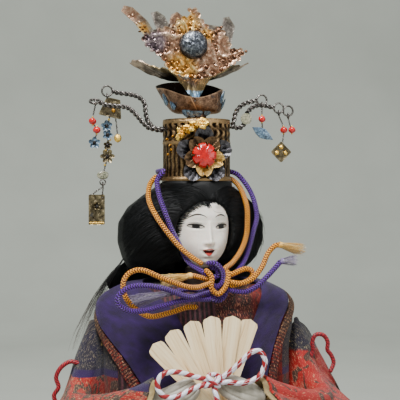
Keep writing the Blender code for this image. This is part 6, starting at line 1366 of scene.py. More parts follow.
def old_metal(name, dark, plain, bright, patina=(70, 74, 78), spots=0.62, size=3.2 * MM, **fixed):
    """Give old metal coloured by the piece's tone, which mostly follows its relief: painted shade in the hollows, a
    painted highlight on raised parts, with worn patches and dull patina spots.
    """
    made = Finish(name, **{"Metallic": 1.0, **fixed})
    spot = made.place()
    worn = made.clouds(spot, size, 6.0, 0.65, 0.5)
    fine = made.clouds(spot, 0.7 * MM, 3.0)
    # The lay's third share carries the painted shade and highlight; fine and worn patches vary it at random.
    level = made.sum("ADD", made.sum("MULTIPLY_ADD", made.part(made.lay(), 2), 1.0, -0.5), made.sum(
        "MULTIPLY_ADD", fine, 0.4, -0.2,
    ))
    level = made.sum("ADD", level, worn)
    colour = made.steps(level, (0.22, dye(*dark)), (0.5, dye(*plain)), (0.74, dye(*bright)))
    dull = made.steps(made.clouds(spot, size * 1.7, 4.0, 0.6, 1.0), (spots, 0.0), (spots + 0.07, 1.0))
    colour = made.over(made.sum("MULTIPLY", dull, 0.8), colour, dye(*patina))
    rough = made.steps(worn, (0.25, 0.62), (0.7, 0.3))
    return made.done(colour, rough, made.relief(fine, 0.12 * MM, made.relief(worn, 0.35 * MM)))


def ball(heap, centre, size, kind=0, tone=0.5, sides=16, rows=10, rough=0.0, chance=None):
    """Add a bead or a lump; size holds its three half widths."""
    size = np.broadcast_to(np.array(size, float), (3,))
    points = []
    for row in range(rows + 1):
        rise = math.pi * (row / rows - 0.5)
        for side in range(sides):
            angle = TURN * side / sides
            spot = np.array([math.cos(rise) * math.cos(angle), math.cos(rise) * math.sin(angle), math.sin(rise)])
            swell = 1.0 + rough * noise.noise(Vector(spot * 1.7 + np.array(centre)))
            points.append((np.array(centre) + spot * size * swell) * MM)
    faces = [
        (r * sides + s, r * sides + (s + 1) % sides, (r + 1) * sides + (s + 1) % sides, (r + 1) * sides + s)
        for r in range(rows) for s in range(sides)
    ]
    heap.add(points, faces, [(0.0, 0.0, tone)] * len(points), kind)


def wire(heap, line, radius, kind=0, sides=10, tone=0.5):
    """Add a round wire along a line of millimetres."""
    line = np.array(line, float) * MM
    points, faces, lay = skin(line, np.full((len(line), sides), radius * MM))
    lay[:, 2] = tone
    heap.add(points, faces, lay, kind)


def twist(heap, stops, reach, radius, pitch, kind=0, strands=2):
    """Add a branch of wires twisted round one another along a route of millimetres."""
    line = flow(stops, 0.3, 1.0)
    ahead = np.gradient(line, axis=0)
    ahead /= np.linalg.norm(ahead, axis=1)[:, None]
    run = np.concatenate([[0.0], np.cumsum(np.linalg.norm(np.diff(line, axis=0), axis=1))])
    aside = np.cross(ahead, np.array([0.0, 1.0, 0.0]))
    aside /= np.linalg.norm(aside, axis=1)[:, None]
    above = np.cross(ahead, aside)
    for strand in range(strands):
        angle = TURN * (run / pitch + strand / strands)
        wire(heap, line + (aside * np.cos(angle)[:, None] + above * np.sin(angle)[:, None]) * reach, radius, kind)


def hoop(heap, centre, radius, thick, tilt=0.0, kind=0, turned=0.0, coils=1, gap=0.0):
    """Add a ring of wire standing upright, tilted back, or turned about the upright."""
    steps = 36 * coils
    line = []
    for step in range(steps + 1):
        angle = TURN * step / 36 - 1.2
        spot = Vector((radius * math.cos(angle), gap * step / 36, radius * math.sin(angle)))
        spot = Matrix.Rotation(turned, 3, "Z") @ Matrix.Rotation(-tilt, 3, "X") @ spot
        line.append(tuple(Vector(centre) + spot))
    wire(heap, line, thick, kind)


def plate(heap, outline, place, metal, relief=None, kind=0, grain=1.1, turn=None, centre=(0.0, 0.0, 0.0)):
    """Add a sheet cut to an outline of sides and heights, facing the viewer, beaten into relief."""
    edge = []
    for a, b in zip(outline, outline[1:] + outline[:1]):
        steps = max(1, int(round(math.dist(a, b) / (grain * 0.7))))
        edge += [(a[0] + (b[0] - a[0]) * s / steps, a[1] + (b[1] - a[1]) * s / steps) for s in range(steps)]
    low = np.min(edge, axis=0)
    high = np.max(edge, axis=0)
    inner = []
    for row, z in enumerate(np.arange(low[1], high[1], grain * 0.87)):
        inner += [(x + (row % 2) * grain / 2.0, z) for x in np.arange(low[0], high[0], grain)]
    kept = []
    count = len(edge)
    for x, z in inner:
        inside = False
        near = 1e9
        for i in range(count):
            (ax, az), (bx, bz) = edge[i], edge[(i + 1) % count]
            near = min(near, math.hypot(ax - x, az - z))
            if (az > z) != (bz > z) and x < (bx - ax) * (z - az) / (bz - az) + ax:
                inside = not inside
        if inside and near > grain * 0.5:
            kept.append((x, z, near))
    spots = [Vector(spot) for spot in edge] + [Vector(spot[:2]) for spot in kept]
    made = geometry.delaunay_2d_cdt(spots, [], [list(range(count))], 1, 1e-5)
    spots, sheets = made[0], [tuple(face) for face in made[2]]
    depth = {(round(x, 4), round(z, 4)): near for x, z, near in kept}
    front, rear, lay = [], [], []
    for spot in spots:
        near = depth.get((round(spot.x, 4), round(spot.y, 4)), 0.0)
        push = relief(spot.x, spot.y, near) if relief else 0.0
        front.append((spot.x, place - metal / 2.0 - push, spot.y))
        rear.append((spot.x, place + metal / 2.0 - push, spot.y))
        # The third lay share follows the relief: raised ridges and rims take a painted highlight, grooves a painted
        # shade.
        lay.append((spot.x * MM, spot.y * MM, min(1.0, 0.5 + push * 0.35)))
    total = len(front)
    sheets = [
        f if (spots[f[1]] - spots[f[0]]).cross(spots[f[2]] - spots[f[0]]) > 0.0 else f[::-1] for f in sheets
    ]
    sides = {}
    for face in sheets:
        for a, b in zip(face, face[1:] + face[:1]):
            sides[(a, b)] = sides.get((a, b), 0) + 1
    faces = sheets + [tuple(total + corner for corner in face[::-1]) for face in sheets]
    faces += [(b, a, total + a, total + b) for a, b in sides if (b, a) not in sides]
    turn = Matrix.Identity(4) if turn is None else turn
    points = [(turn @ Vector(spot) + Vector(centre)) * MM for spot in front + rear]
    heap.add(points, faces, lay + lay, kind)


def bloom(heap, centre, reach, relief, metal, rings=14, steps=240, kind=0, glow=0.3):
    """Add a round sheet whose reach and relief follow the way round it."""
    points = []
    lay = []
    x, y, z = centre
    for back in (0.0, metal):
        for ring in range(rings + 1):
            for step in range(steps):
                angle = TURN * step / steps
                far = reach(angle) * ring / rings
                push = relief(angle, ring / rings)
                points.append((
                    (x + far * math.cos(angle)) * MM, (y + back - push) * MM, (z + far * math.sin(angle)) * MM,
                ))
                # Unless glow is nought, the tone follows the relief: a painted highlight where the sheet rises, painted
                # shade where it sinks.
                lay.append((far * math.cos(angle) * MM, far * math.sin(angle) * MM, min(1.0, max(0.0, 0.5 + push * glow))))
    total = (rings + 1) * steps
    faces = []
    for ring in range(rings):
        for step in range(steps):
            ahead = (step + 1) % steps
            face = (ring * steps + step, ring * steps + ahead, (ring + 1) * steps + ahead, (ring + 1) * steps + step)
            faces += [face[::-1], tuple(total + corner for corner in face)]
    last = rings * steps
    faces += [
        (last + s, last + (s + 1) % steps, total + last + (s + 1) % steps, total + last + s) for s in range(steps)
    ]
    heap.add(points, faces, lay, kind)


bronze = old_metal("old_bronze", (20, 15, 11), (92, 72, 50), (178, 146, 104), (44, 40, 38), 0.68)
gilt = old_metal("old_gilt", (70, 42, 8), (196, 134, 40), (255, 214, 110), (80, 56, 28), 0.8, 1.6 * MM)
coppery = old_metal("worn_and_shaded_copper", (44, 30, 24), (136, 104, 84), (202, 164, 134), (82, 78, 80), 0.6)
heap = Heap()
points, lay = [], []
for row in range(BAND_ROWS + 1):
    z = BAND_FOOT + (BAND_HEAD - BAND_FOOT) * row / BAND_ROWS
    low = z - BAND_FOOT
    for column in range(BAND_COLUMNS):
        angle = TURN * column / BAND_COLUMNS
        rib = 0.5 + 0.5 * math.cos(RIBS_ROUND * angle + 0.5 * math.sin(z * 0.7))
        push = -0.45 * (1.0 - rib ** 0.6) if 2.6 < low < 21.0 else 0.0
        push += 0.35 * max(0.0, 1.0 - abs(low - 22.6) / 0.9) + 0.3 * max(0.0, 1.0 - abs(low - 34.6) / 1.3)
        if 23.4 < low < 33.6:
            swirl = math.sin(26 * angle + 2.2 * math.sin(low * 0.62)) * math.sin(low * 0.62)
            push += 0.4 * swirl - 0.2
        push += BAND_RIM * max(0.0, min(1.0, (2.1 - low) / 0.7))
        reach = BAND_RADIUS + push
        points.append((reach * math.sin(angle) * MM, -reach * math.cos(angle) * MM, z * MM))
        # The tone follows the relief: painted shade in the rib grooves, a painted highlight on the bead rows and the
        # rolled rim.
        lay.append((angle * BAND_RADIUS * MM, z * MM, 0.62 + 0.85 * push))
faces = [
    (r * BAND_COLUMNS + c, r * BAND_COLUMNS + (c + 1) % BAND_COLUMNS,
     (r + 1) * BAND_COLUMNS + (c + 1) % BAND_COLUMNS, (r + 1) * BAND_COLUMNS + c)
    for r in range(BAND_ROWS) for c in range(BAND_COLUMNS)
]
faces += [tuple(range(BAND_COLUMNS))[::-1], tuple(BAND_ROWS * BAND_COLUMNS + c for c in range(BAND_COLUMNS))]
heap.add(points, faces, lay, 0)
# A thin wire along the front of the foot, toned bright as a painted highlight on the rim.
rim_line = [
    (20.9 * math.sin(a), -20.9 * math.cos(a), BAND_FOOT + 0.9) for a in np.radians(np.linspace(-62.0, 62.0, 60))
]
wire(heap, rim_line, 0.5, 0, 8, 0.75)
for x, z in ((-19.2, 256.0), (-18.0, 252.2), (-17.4, 249.6), (-18.8, 247.0), (-16.6, 257.4)):
    ball(heap, (x, -math.sqrt(BAND_RADIUS ** 2 - x * x) - 0.2, z), 0.75, 1)
band = fit(heap.cast("band", [bronze, gilt], 55, CROWN_TURN), "head", "crown_band")

# Flower and spray. Two cut flowers are stacked on the band's front, grey petals with a painted highlight on their
# raised edges behind and forked brown ones before them, round a polished red coral gripped by dark claws; gold
# leaves trail beside.
FLOWER_LEVEL = 246.0
OUTER_REACH = 17.2
INNER_REACH = 12.4
FLOWER_SHEET = 0.7
CORAL_REACH = 7.3
CORAL_RISE = 3.4


def petal_wave(angle, petals, phase):
    """Give 1 in the middle of a petal and 0 between two."""
    return 0.5 + 0.5 * math.cos(petals * (angle - phase))


def outer_reach(angle):
    """Give the grey petals' edge."""
    wave = petal_wave(angle, 5, math.pi / 2.0)
    return OUTER_REACH * (0.56 + 0.44 * math.sqrt(wave)) * (1.0 - 0.035 * max(0.0, wave - 0.9) * 10.0)


def inner_reach(angle):
    """Give the brown petals' forked edge."""
    wave = petal_wave(angle, 5, -math.pi / 2.0)
    return INNER_REACH * (0.70 + 0.30 * math.sqrt(wave)) * (1.0 - 0.09 * max(0.0, wave - 0.93) * 14.0)


def coral_reach(angle):
    """Give the coral's edge, nicked between its seven lobes."""
    return CORAL_REACH * (1.0 - 0.14 * max(0.0, -math.cos(7 * angle)) ** 5)


grey_petal = old_metal("grey_petal", (9, 8, 9), (18, 17, 19), (90, 88, 92), (20, 18, 17), 0.64, Roughness=0.5)
brown_petal = Finish("brown_petal", Metallic=1.0)
worn = brown_petal.clouds(brown_petal.place(), 2.4 * MM, 6.0, 0.65, 0.5)
# The lay's tone adds a painted highlight on the raised rims and painted shade in the hollows.
level = brown_petal.sum("ADD", worn, brown_petal.sum("MULTIPLY_ADD", brown_petal.part(brown_petal.lay(), 2), 1.2, -0.6))
dull = brown_petal.steps(level, (0.22, dye(18, 12, 9)), (0.5, dye(54, 40, 29)), (0.8, dye(112, 88, 64)))
golden = brown_petal.steps(level, (0.22, dye(48, 30, 10)), (0.5, dye(150, 106, 46)), (0.8, dye(232, 190, 116)))
toward = brown_petal.add("VectorMath", {0: brown_petal.lay(), 1: (0.59, -0.81, 0.0)}, "Value", operation="DOT_PRODUCT")
gilded = brown_petal.steps(brown_petal.sum("MULTIPLY_ADD", toward, 0.05 / MM, 0.5), (0.58, 0.0), (0.68, 1.0))
brown_petal.done(
    brown_petal.over(gilded, dull, golden), brown_petal.steps(worn, (0.3, 0.55), (0.7, 0.3)),
    brown_petal.relief(worn, 0.35 * MM),
)
coral_red = Finish("coral", Roughness=0.16, Specular_IOR_Level=0.6, Coat_Weight=0.5, Coat_Roughness=0.06)
flesh = coral_red.clouds(coral_red.place(), 2.2 * MM, 4.0)
coral_red.done(
    coral_red.steps(flesh, (0.3, dye(150, 2, 4)), (0.6, dye(200, 8, 8)), (0.9, dye(218, 34, 26))),
    normal=coral_red.relief(flesh, 0.15 * MM),
)
place = -BAND_RADIUS - 0.3 - FLOWER_SHEET
heap = Heap()
bloom(heap, (0.0, place, FLOWER_LEVEL), outer_reach, lambda a, s: 1.3 * s ** 5 + 0.25 * s * math.cos(30 * a) * s - 0.25 * (
    petal_wave(a, 5, math.pi / 2.0) * math.sin(math.pi * s)
), FLOWER_SHEET, 18, 360)
fit(heap.cast("flower_back", [grey_petal], 50, CROWN_TURN), "head", "crown_flower_outer")
place -= 0.3 + FLOWER_SHEET
heap = Heap()
bloom(heap, (0.0, place, FLOWER_LEVEL), inner_reach, lambda a, s: 0.9 * s ** 3 - 0.7 * max(
    0.0, petal_wave(a, 5, -math.pi / 2.0) - 0.9,
) * s * 8.0 + 0.12 * math.cos(25 * a) * s, FLOWER_SHEET, 16, 360)
fit(heap.cast("flower_front", [brown_petal.paint], 50, CROWN_TURN), "head", "crown_flower_inner")
place -= 0.3
heap = Heap()
bloom(heap, (0.0, place - 0.05, FLOWER_LEVEL), coral_reach, lambda a, s: CORAL_RISE * math.sqrt(max(0.0, 1.0 - s ** 2.4)),
      0.2, 22, 210)
for lobe in range(7):
    angle = TURN * (lobe + 0.5) / 7
    line = [
        (far * math.cos(angle), place - rise, FLOWER_LEVEL + far * math.sin(angle))
        for far, rise in ((7.9, 0.3), (7.3, 0.7), (6.7, 1.3), (6.1, 1.9))
    ]
    wire(heap, flow(line, 0.3, 1.0), 0.5, 1, 8)
fit(heap.cast("flower_coral", [coral_red.paint, bronze], 60, CROWN_TURN), "head", "crown_coral")
chance = random.Random(31)
heap = Heap()
spray_line = flow([
    (-15.4, -17.6, 258.6), (-12.4, -19.4, 260.6), (-9.2, -20.8, 262.0), (-6.0, -21.9, 263.4), (-2.8, -22.4, 264.6),
    (0.4, -22.4, 265.6),
], 1.0, 1.0)
for number in range(46):
    x, y, z = spray_line[chance.randrange(len(spray_line))]
    size = chance.uniform(0.8, 1.7)
    ball(heap, (
        x + chance.uniform(-1.2, 1.2), y + chance.uniform(-1.6, 0.4), z + chance.uniform(-1.9, 1.7) - 1.0 * (number % 5 == 0),
    ), (size * 1.25, size * 0.8, size * 0.9), 0, chance.uniform(0.35, 0.9), 10, 8, 0.9)
fit(heap.cast("gold_leaves", [gilt], 45, CROWN_TURN), "head", "crown_spray")

# Cup. A flared bronze cup, lighter at its folded edges and dipped in front, its inside painted dark as shade, is
# riveted on a short stem; blue enamelled leaves hang on its foot and sides, and a pin through it carries the leaf
# dish above.
CUP_BOTTOM_RADIUS = 12.8
CUP_TOP_RADIUS = 20.6
CUP_FOOT = 272.0
CUP_HEAD = 286.2
CUP_WALL = 0.8
CUP_LEAN = -4.4
CUP_DIP = 6.5
CUP_REAR_RISE = 6.4
CUP_FACETS = 7
enamel = Finish("blue_enamel", Roughness=0.25, Specular_IOR_Level=0.6, Coat_Weight=0.3, Coat_Roughness=0.15)
chips = enamel.clouds(enamel.place(), 1.6 * MM, 5.0, 0.7)
enamel.done(enamel.steps(
    chips, (0.3, dye(16, 20, 26)), (0.46, dye(58, 78, 98)), (0.58, dye(104, 132, 154)), (0.8, dye(196, 212, 224)),
), normal=enamel.relief(chips, 0.3 * MM))


def cup_spot(angle, share, inset=0.0):
    """Give a spot on the cup's wall."""
    radius = CUP_BOTTOM_RADIUS + (CUP_TOP_RADIUS - CUP_BOTTOM_RADIUS) * math.sqrt(share)
    radius *= 1.0 - 0.035 * abs(math.sin(CUP_FACETS / 2.0 * angle + 0.6)) * (0.3 + 0.7 * share)
    dip = CUP_DIP * max(0.0, math.cos(angle)) ** 3 * share - CUP_REAR_RISE * max(0.0, -math.cos(angle)) * share
    return (
        (radius - inset) * math.sin(angle) + CUP_LEAN * share, -(radius - inset) * math.cos(angle),
        CUP_FOOT + (CUP_HEAD - CUP_FOOT) * share - dip + inset * (1.0 - share),
    )


heap = Heap()
walls = [(share, 0.0) for share in np.linspace(0.0, 1.0, 22)] + [(share, CUP_WALL) for share in np.linspace(1.0, 0.0, 22)]
points, lay = [], []
for share, inset in walls:
    for step in range(220):
        angle = TURN * step / 220
        points.append(np.array(cup_spot(angle, share, inset)) * MM)
        # Folded rims and facet ridges are toned lighter; the inside wall is toned dark as painted shade inside the cup.
        edge = max(0.0, 1.0 - (1.0 - share) * 14.0) + max(0.0, 1.0 - share * 16.0)
        ridge = max(0.0, 1.0 - abs(math.sin(CUP_FACETS / 2.0 * angle + 0.6)) * 9.0)
        lay.append((angle * 16.0 * MM, share, (0.46 + 0.4 * min(1.0, edge + ridge * 0.8)) * (0.2 if inset else 1.0)))
faces = [
    (r * 220 + s, r * 220 + (s + 1) % 220, (r + 1) * 220 + (s + 1) % 220, (r + 1) * 220 + s)
    for r in range(len(walls) - 1) for s in range(220)
]
faces += [tuple(range(220))[::-1], tuple((len(walls) - 1) * 220 + s for s in range(220))]
heap.add(points, faces, lay, 0)
for low, high, radius, x in ((268.1, CUP_FOOT + 0.5, 6.0, 0.0), (CUP_FOOT + 0.4, 289.9, 2.2, -2.5)):
    line = [(x, 0.0, z) for z in np.linspace(low, high, 12)]
    wire(heap, line, radius, 0, 40, 0.35)
for angle, share, long, wide, lean in (
    (-1.25, 0.55, 8.0, 1.9, 0.1), (-1.02, 0.30, 5.6, 1.7, -0.3), (1.02, 0.66, 8.6, 2.2, -0.15), (1.22, 0.40, 7.0, 1.9, 0.2),
    (-0.62, 0.02, 5.4, 2.6, 1.2), (-0.36, -0.05, 4.8, 2.4, 1.5), (-0.1, -0.02, 4.6, 2.2, 1.35), (0.3, 0.0, 4.2, 2.0, 1.6),
):
    x, y, z = cup_spot(angle, max(0.0, share), -0.5)
    leaf = [(wide * math.sin(a) * (1.0 - 0.35 * math.cos(a)), long / 2.0 * math.cos(a)) for a in np.arange(20) * TURN / 20]
    turn = Matrix.Rotation(angle, 4, "Z") @ Matrix.Rotation(0.35, 4, "X") @ Matrix.Rotation(lean, 4, "Y")
    plate(heap, leaf, 0.0, 0.5, lambda u, v, near: 0.5 * min(1.0, near / 2.0), 1, 0.9, turn, (x, y, z + min(0.0, share) * 10.0))
fit(heap.cast("cup", [coppery, enamel.paint], 40, CROWN_TURN), "head", "crown_cup")

# Dish. One ruffled leaf of beaten copper, its sides curled up to points and its front lip folded down over
# the cup to a blue enamelled tip; it is pinned through the middle.
DISH_LEVEL = 291.0
DISH_SIDE = 36.0
DISH_FRONT = 19.0
DISH_REAR = 17.0
DISH_SIDE_RISE = 10.5
DISH_FRONT_DROP = 11.5
DISH_REAR_RISE = 4.0
DISH_FRONT_SAG = 2.2
DISH_SHEET = 0.7
DISH_MIDDLE = -5.0
DISH_HUB = 4.0
DISH_STEPS = 330
heap = Heap()
rows = []
for share in np.linspace(0.0, 1.0, 30):
    row = []
    for step in range(DISH_STEPS):
        angle = TURN * step / DISH_STEPS
        side, front, rear = math.cos(angle), max(0.0, -math.sin(angle)), max(0.0, math.sin(angle))
        reach = DISH_SIDE * side * side + DISH_FRONT * front * front + DISH_REAR * rear * rear
        reach -= 3.0 * abs(math.sin(2.0 * angle))
        rise = DISH_SIDE_RISE * side * side - DISH_FRONT_DROP * front ** 16 - DISH_FRONT_SAG * front * front + DISH_REAR_RISE * rear * rear
        frill = math.cos(11 * angle) * share + 0.5 * math.sin(29 * angle + 1.0) * share ** 2
        radius = DISH_HUB + (reach + frill - DISH_HUB) * share
        x, y = DISH_MIDDLE + radius * math.cos(angle), radius * math.sin(angle)
        crease = 0.5 * noise.noise(Vector((x * 0.22, y * 0.22, 4.0)))
        row.append((x * MM, y * MM, (DISH_LEVEL + rise * share * share + frill * 0.85 + crease) * MM))
    rows.append(row)
grid = np.array(rows)
cloth(heap, grid, (0.0, 0.0, 0.5), DISH_SHEET * MM, ring=True)
heap.faces.append(tuple(range(DISH_STEPS)))
heap.kinds.append(0)
heap.faces.append(tuple(DISH_STEPS * 30 + s for s in range(DISH_STEPS))[::-1])
heap.kinds.append(0)
# The tone paints light: a painted highlight towards the curled side points and on higher parts, painted shade lower
# down.
heap.lays = [
    (u, v, 0.42 + 0.35 * max(0.0, (abs(x / MM - DISH_MIDDLE) - 24.0) / 12.0) + 0.2 * (-0.5 + (z / MM - 289.0) * 0.05))
    for (u, v, _), (x, y, z) in zip(heap.lays, heap.points)
]
dish_metal = Finish("dish_metal", Metallic=1.0, Roughness=0.45)
worn = dish_metal.clouds(dish_metal.place(), 4 * MM, 6.0, 0.65, 0.6)
# The lay's tone brings that painted highlight and shade into the colour.
level = dish_metal.sum("ADD", worn, dish_metal.sum("MULTIPLY_ADD", dish_metal.part(dish_metal.lay(), 2), 0.9, -0.42))
colour = dish_metal.steps(level, (0.2, dye(26, 21, 18)), (0.48, dye(106, 90, 76)), (0.72, dye(186, 164, 144)))
height = dish_metal.part(dish_metal.place(), 2)
forward = dish_metal.part(dish_metal.place(), 1)
lip = dish_metal.add("MapRange", {"Value": forward, "From Min": -12 * MM, "From Max": -14.5 * MM})
tip = dish_metal.add("MapRange", {"Value": height, "From Min": 284.2 * MM, "From Max": 283.4 * MM})
colour = dish_metal.over(lip, colour, dish_metal.steps(worn, (0.3, dye(58, 50, 36)), (0.7, dye(146, 128, 92))))
colour = dish_metal.over(tip, colour, dish_metal.steps(worn, (0.3, dye(52, 72, 92)), (0.7, dye(150, 178, 198))))
dish_metal.done(colour, dish_metal.steps(worn, (0.3, 0.6), (0.7, 0.34)), dish_metal.relief(worn, 0.5 * MM))
fit(heap.cast("dish", [dish_metal.paint], 50, CROWN_TURN), "head", "crown_dish")

# Flame plates. Two cut sheets stand in the dish back to back, a dull grey one behind and a pinkish gilt one in
# front, beaten into ridges and edged with punched beads; a hammered silver boss is riveted on the front.
PLATE_HEIGHT = 42.0
PLATE_FOOT = 292.4
PLATE_SHEET = 0.8
BACK_PLACE = -2.0
FRONT_PLACE = -3.4
BACK_OUTLINE = [
    (-0.76, 0.59), (-0.91, 0.77), (-1.09, 0.92), (-1.05, 1.00), (-0.93, 0.98), (-0.72, 0.80),
    (-0.64, 0.68), (-0.59, 0.68), (-0.67, 0.91), (-0.58, 0.94), (-0.47, 0.87), (-0.42, 0.77),
    (-0.37, 0.90), (-0.29, 0.94), (-0.20, 0.87), (-0.10, 0.80), (0.20, 0.77), (0.36, 0.75),
    (0.38, 0.88), (0.46, 0.90), (0.55, 0.76), (0.48, 0.47), (0.37, 0.26), (0.12, 0.06),
    (-0.17, 0.06), (-0.53, 0.29), (-0.67, 0.43),
]
FRONT_OUTLINE = [
    (-0.17, 0.03), (-0.32, 0.06), (-0.42, 0.10), (-0.47, 0.20), (-0.53, 0.30), (-0.65, 0.37),
    (-0.77, 0.49), (-0.78, 0.59), (-0.67, 0.61), (-0.55, 0.68), (-0.41, 0.72), (-0.29, 0.79),
    (-0.20, 0.86), (-0.11, 0.88), (-0.13, 0.97), (-0.08, 0.99), (0.00, 0.96), (0.04, 0.85),
    (0.12, 0.77), (0.20, 0.68), (0.34, 0.71), (0.46, 0.52), (0.50, 0.43), (0.67, 0.42),
    (0.59, 0.27), (0.45, 0.18), (0.40, 0.10), (0.33, 0.05), (0.16, 0.00), (-0.03, 0.00),
]
LEFT_PRONG_BEADS = [(-41.1, 327.7), (-36.8, 324.0), (-34.9, 324.9), (-39.0, 329.0)]
FRONT_BEADS = [
    (-31.3, 315.6), (-29.2, 311.3), (-26.7, 308.7), (-23.7, 307.7), (-18.8, 308.7), (-14.9, 319.4), (-10.9, 320.2),
    (-3.2, 327.9), (-4.6, 324.9), (-4.9, 322.1), (5.7, 318.9), (8.4, 319.6), (11.0, 320.6),
    (7.3, 318.0), (9.7, 315.5), (10.9, 312.9), (11.5, 310.2), (25.1, 307.0), (22.6, 305.7), (19.8, 303.9),
    (15.8, 303.4), (-19.4, 303.4), (-17.6, 300.5), (-15.4, 298.2), (-12.2, 297.7), (-8.8, 297.7),
    (9.1, 296.1), (12.8, 294.7), (14.6, 298.3),
]
EDGE_BEADS = [
    (27.6, 308.6), (29.6, 309.4), (24.0, 309.8), (21.4, 309.4), (14.4, 323.4), (13.2, 321.8), (17.6, 300.8),
    (18.6, 298.4), (16.6, 295.4), (5.0, 293.8), (1.0, 293.6), (-3.4, 293.8), (-21.6, 306.2), (-15.6, 301.6),
    (-6.6, 299.6), (-12.4, 301.4), (5.4, 299.6), (13.4, 304.4), (-17.8, 312.6), (-13.0, 309.6), (-27.4, 315.6),
]
FRONT_RIDGES = [
    [(-31.0, 314.0), (-28.6, 309.4), (-24.0, 306.0), (-18.0, 307.0)], [(-28.0, 316.6), (-20.0, 318.4), (-12.0, 317.0)],
    [(-14.0, 322.6), (-9.0, 325.6), (-6.2, 322.0)], [(-4.0, 331.6), (-2.6, 326.0), (-4.4, 319.6)],
    [(2.0, 325.6), (6.4, 319.4), (12.4, 321.8)], [(13.4, 317.0), (12.4, 310.0), (16.0, 306.0), (26.6, 309.4)],
    [(26.6, 309.4), (22.0, 302.4), (15.6, 298.6)], [(-21.0, 302.6), (-17.0, 297.4), (-9.0, 295.4)],
    [(-4.4, 301.0), (0.0, 296.6), (5.0, 299.6)], [(5.6, 294.8), (11.0, 293.6), (15.4, 296.4)],
]
GILT_PATCHES = [
    (-12.2, 324.6, 3.4), (-9.6, 321.2, 2.6), (-6.4, 317.6, 2.2), (0.4, 322.6, 2.8), (3.0, 319.6, 2.2), (0.0, 298.2, 3.0),
    (-3.6, 300.8, 2.4), (3.6, 297.4, 2.2), (12.0, 300.6, 2.0), (19.6, 306.8, 2.2), (-24.6, 312.6, 1.6),
]
LOBE_PITCH = 4.2
LOBE_RISE = 1.6
ridge_lines = [flow([(x, 0.0, z) for x, z in ridge], 0.8, 1.0)[:, [0, 2]] for ridge in FRONT_RIDGES]
ridge_spots = np.concatenate(ridge_lines)
bead_spots = np.array(FRONT_BEADS + EDGE_BEADS)


def front_relief(x, z, near):
    """Give the gilt plate's beaten relief: ridges, a raised rim and a groove round each bead."""
    far = float(np.min(np.hypot(ridge_spots[:, 0] - x, ridge_spots[:, 1] - z)))
    bead = float(np.min(np.hypot(bead_spots[:, 0] - x, bead_spots[:, 1] - z)))
    rim = 0.4 * max(0.0, 1.0 - near / 0.9)
    groove = 0.45 * math.exp(-((bead - 1.25) / 0.45) ** 2)
    return 0.55 * math.exp(-(far / 0.8) ** 2) + rim - groove + 0.4 * noise.noise(Vector((x * 0.45, z * 0.45, 2.0)))


def back_relief(x, z, near):
    """Give the grey plate's beaten relief: a raised rim and shallow dents."""
    return 0.35 * max(0.0, 1.0 - near / 1.3) + 0.35 * noise.noise(Vector((x * 0.3, z * 0.3, 7.0)))


def scalloped(shares):
    """Round the front plate's outline, given in shares of its height, and cut small lobes round it."""
    stops = [(x * PLATE_HEIGHT, 0.0, PLATE_FOOT + z * PLATE_HEIGHT) for x, z in shares]
    line = flow(stops + stops[:1], 0.7, 1.0)[:-1]
    ahead = np.roll(line, -1, axis=0) - np.roll(line, 1, axis=0)
    out = np.stack([-ahead[:, 2], np.zeros(len(line)), ahead[:, 0]], axis=1)
    out /= np.linalg.norm(out, axis=1)[:, None]
    lobes = np.abs(np.sin(np.arange(len(line)) * 0.7 / LOBE_PITCH * math.pi))[:, None]
    line = line + out * (lobes - 0.4) * LOBE_RISE
    return [(spot[0], spot[2]) for spot in line]


def tinted_metal(name, base, tints):
    """Give beaten metal with its own colours round set spots: side, level, reach and three shades each."""
    made = Finish(name, Metallic=1.0)
    spot = made.place()
    worn = made.clouds(spot, 2.6 * MM, 6.0, 0.65, 0.5)
    fine = made.clouds(spot, 0.6 * MM, 3.0)
    # The lay's tone carries the painted highlight on ridges and rims and the painted shade in grooves and round the
    # beads.
    level = made.sum("ADD", made.sum("MULTIPLY_ADD", made.part(made.lay(), 2), 1.1, -0.55), made.sum(
        "MULTIPLY_ADD", fine, 0.3, -0.15,
    ))
    level = made.sum("ADD", level, worn)

    def shaded(shades):
        return made.steps(level, *zip((0.2, 0.48, 0.76), (dye(*shade) for shade in shades)))

    colour = shaded(base)
    for side, height, reach, shades in tints:
        away = made.add("VectorMath", {0: spot, 1: (side * MM, 0.0, height * MM)}, operation="SUBTRACT")
        away = made.add("VectorMath", {0: away, 1: (1.0, 0.0, 1.0)}, operation="MULTIPLY")
        far = made.add("VectorMath", {0: away}, "Value", operation="LENGTH")
        ragged = made.sum("MULTIPLY_ADD", worn, 5.0 * MM, far)
        share = made.steps(made.sum("MULTIPLY", ragged, 0.5 / (reach * MM)), (0.5, 0.95), (0.8, 0.0))
        colour = made.over(share, colour, shaded(shades))
    rough = made.steps(worn, (0.25, 0.5), (0.7, 0.26))
    return made.done(colour, rough, made.relief(fine, 0.1 * MM, made.relief(worn, 0.2 * MM)))


GOLD_SHADES = ((66, 40, 18), (196, 140, 66), (255, 224, 150))
PINK_SHADES = ((62, 42, 32), (150, 112, 88), (228, 194, 166))
GREY_SHADES = ((44, 40, 38), (120, 111, 104), (194, 184, 172))
grey_plate = tinted_metal("grey_plate", GREY_SHADES, [
    (-42.0, 331.0, 9.0, PINK_SHADES), (-33.0, 321.0, 5.0, GOLD_SHADES), (-13.0, 328.0, 5.0, PINK_SHADES),
])
pink_gilt = tinted_metal("pink_gilt", PINK_SHADES, [
    (-6.0, 324.0, 7.5, GOLD_SHADES), (-10.0, 298.0, 9.0, GOLD_SHADES), (5.0, 318.0, 5.0, GOLD_SHADES),
    (-26.0, 313.6, 7.5, ((30, 27, 32), (104, 90, 98), (176, 160, 160))),
])
heap = Heap()
back_edge = [(x * PLATE_HEIGHT, PLATE_FOOT + z * PLATE_HEIGHT) for x, z in BACK_OUTLINE]
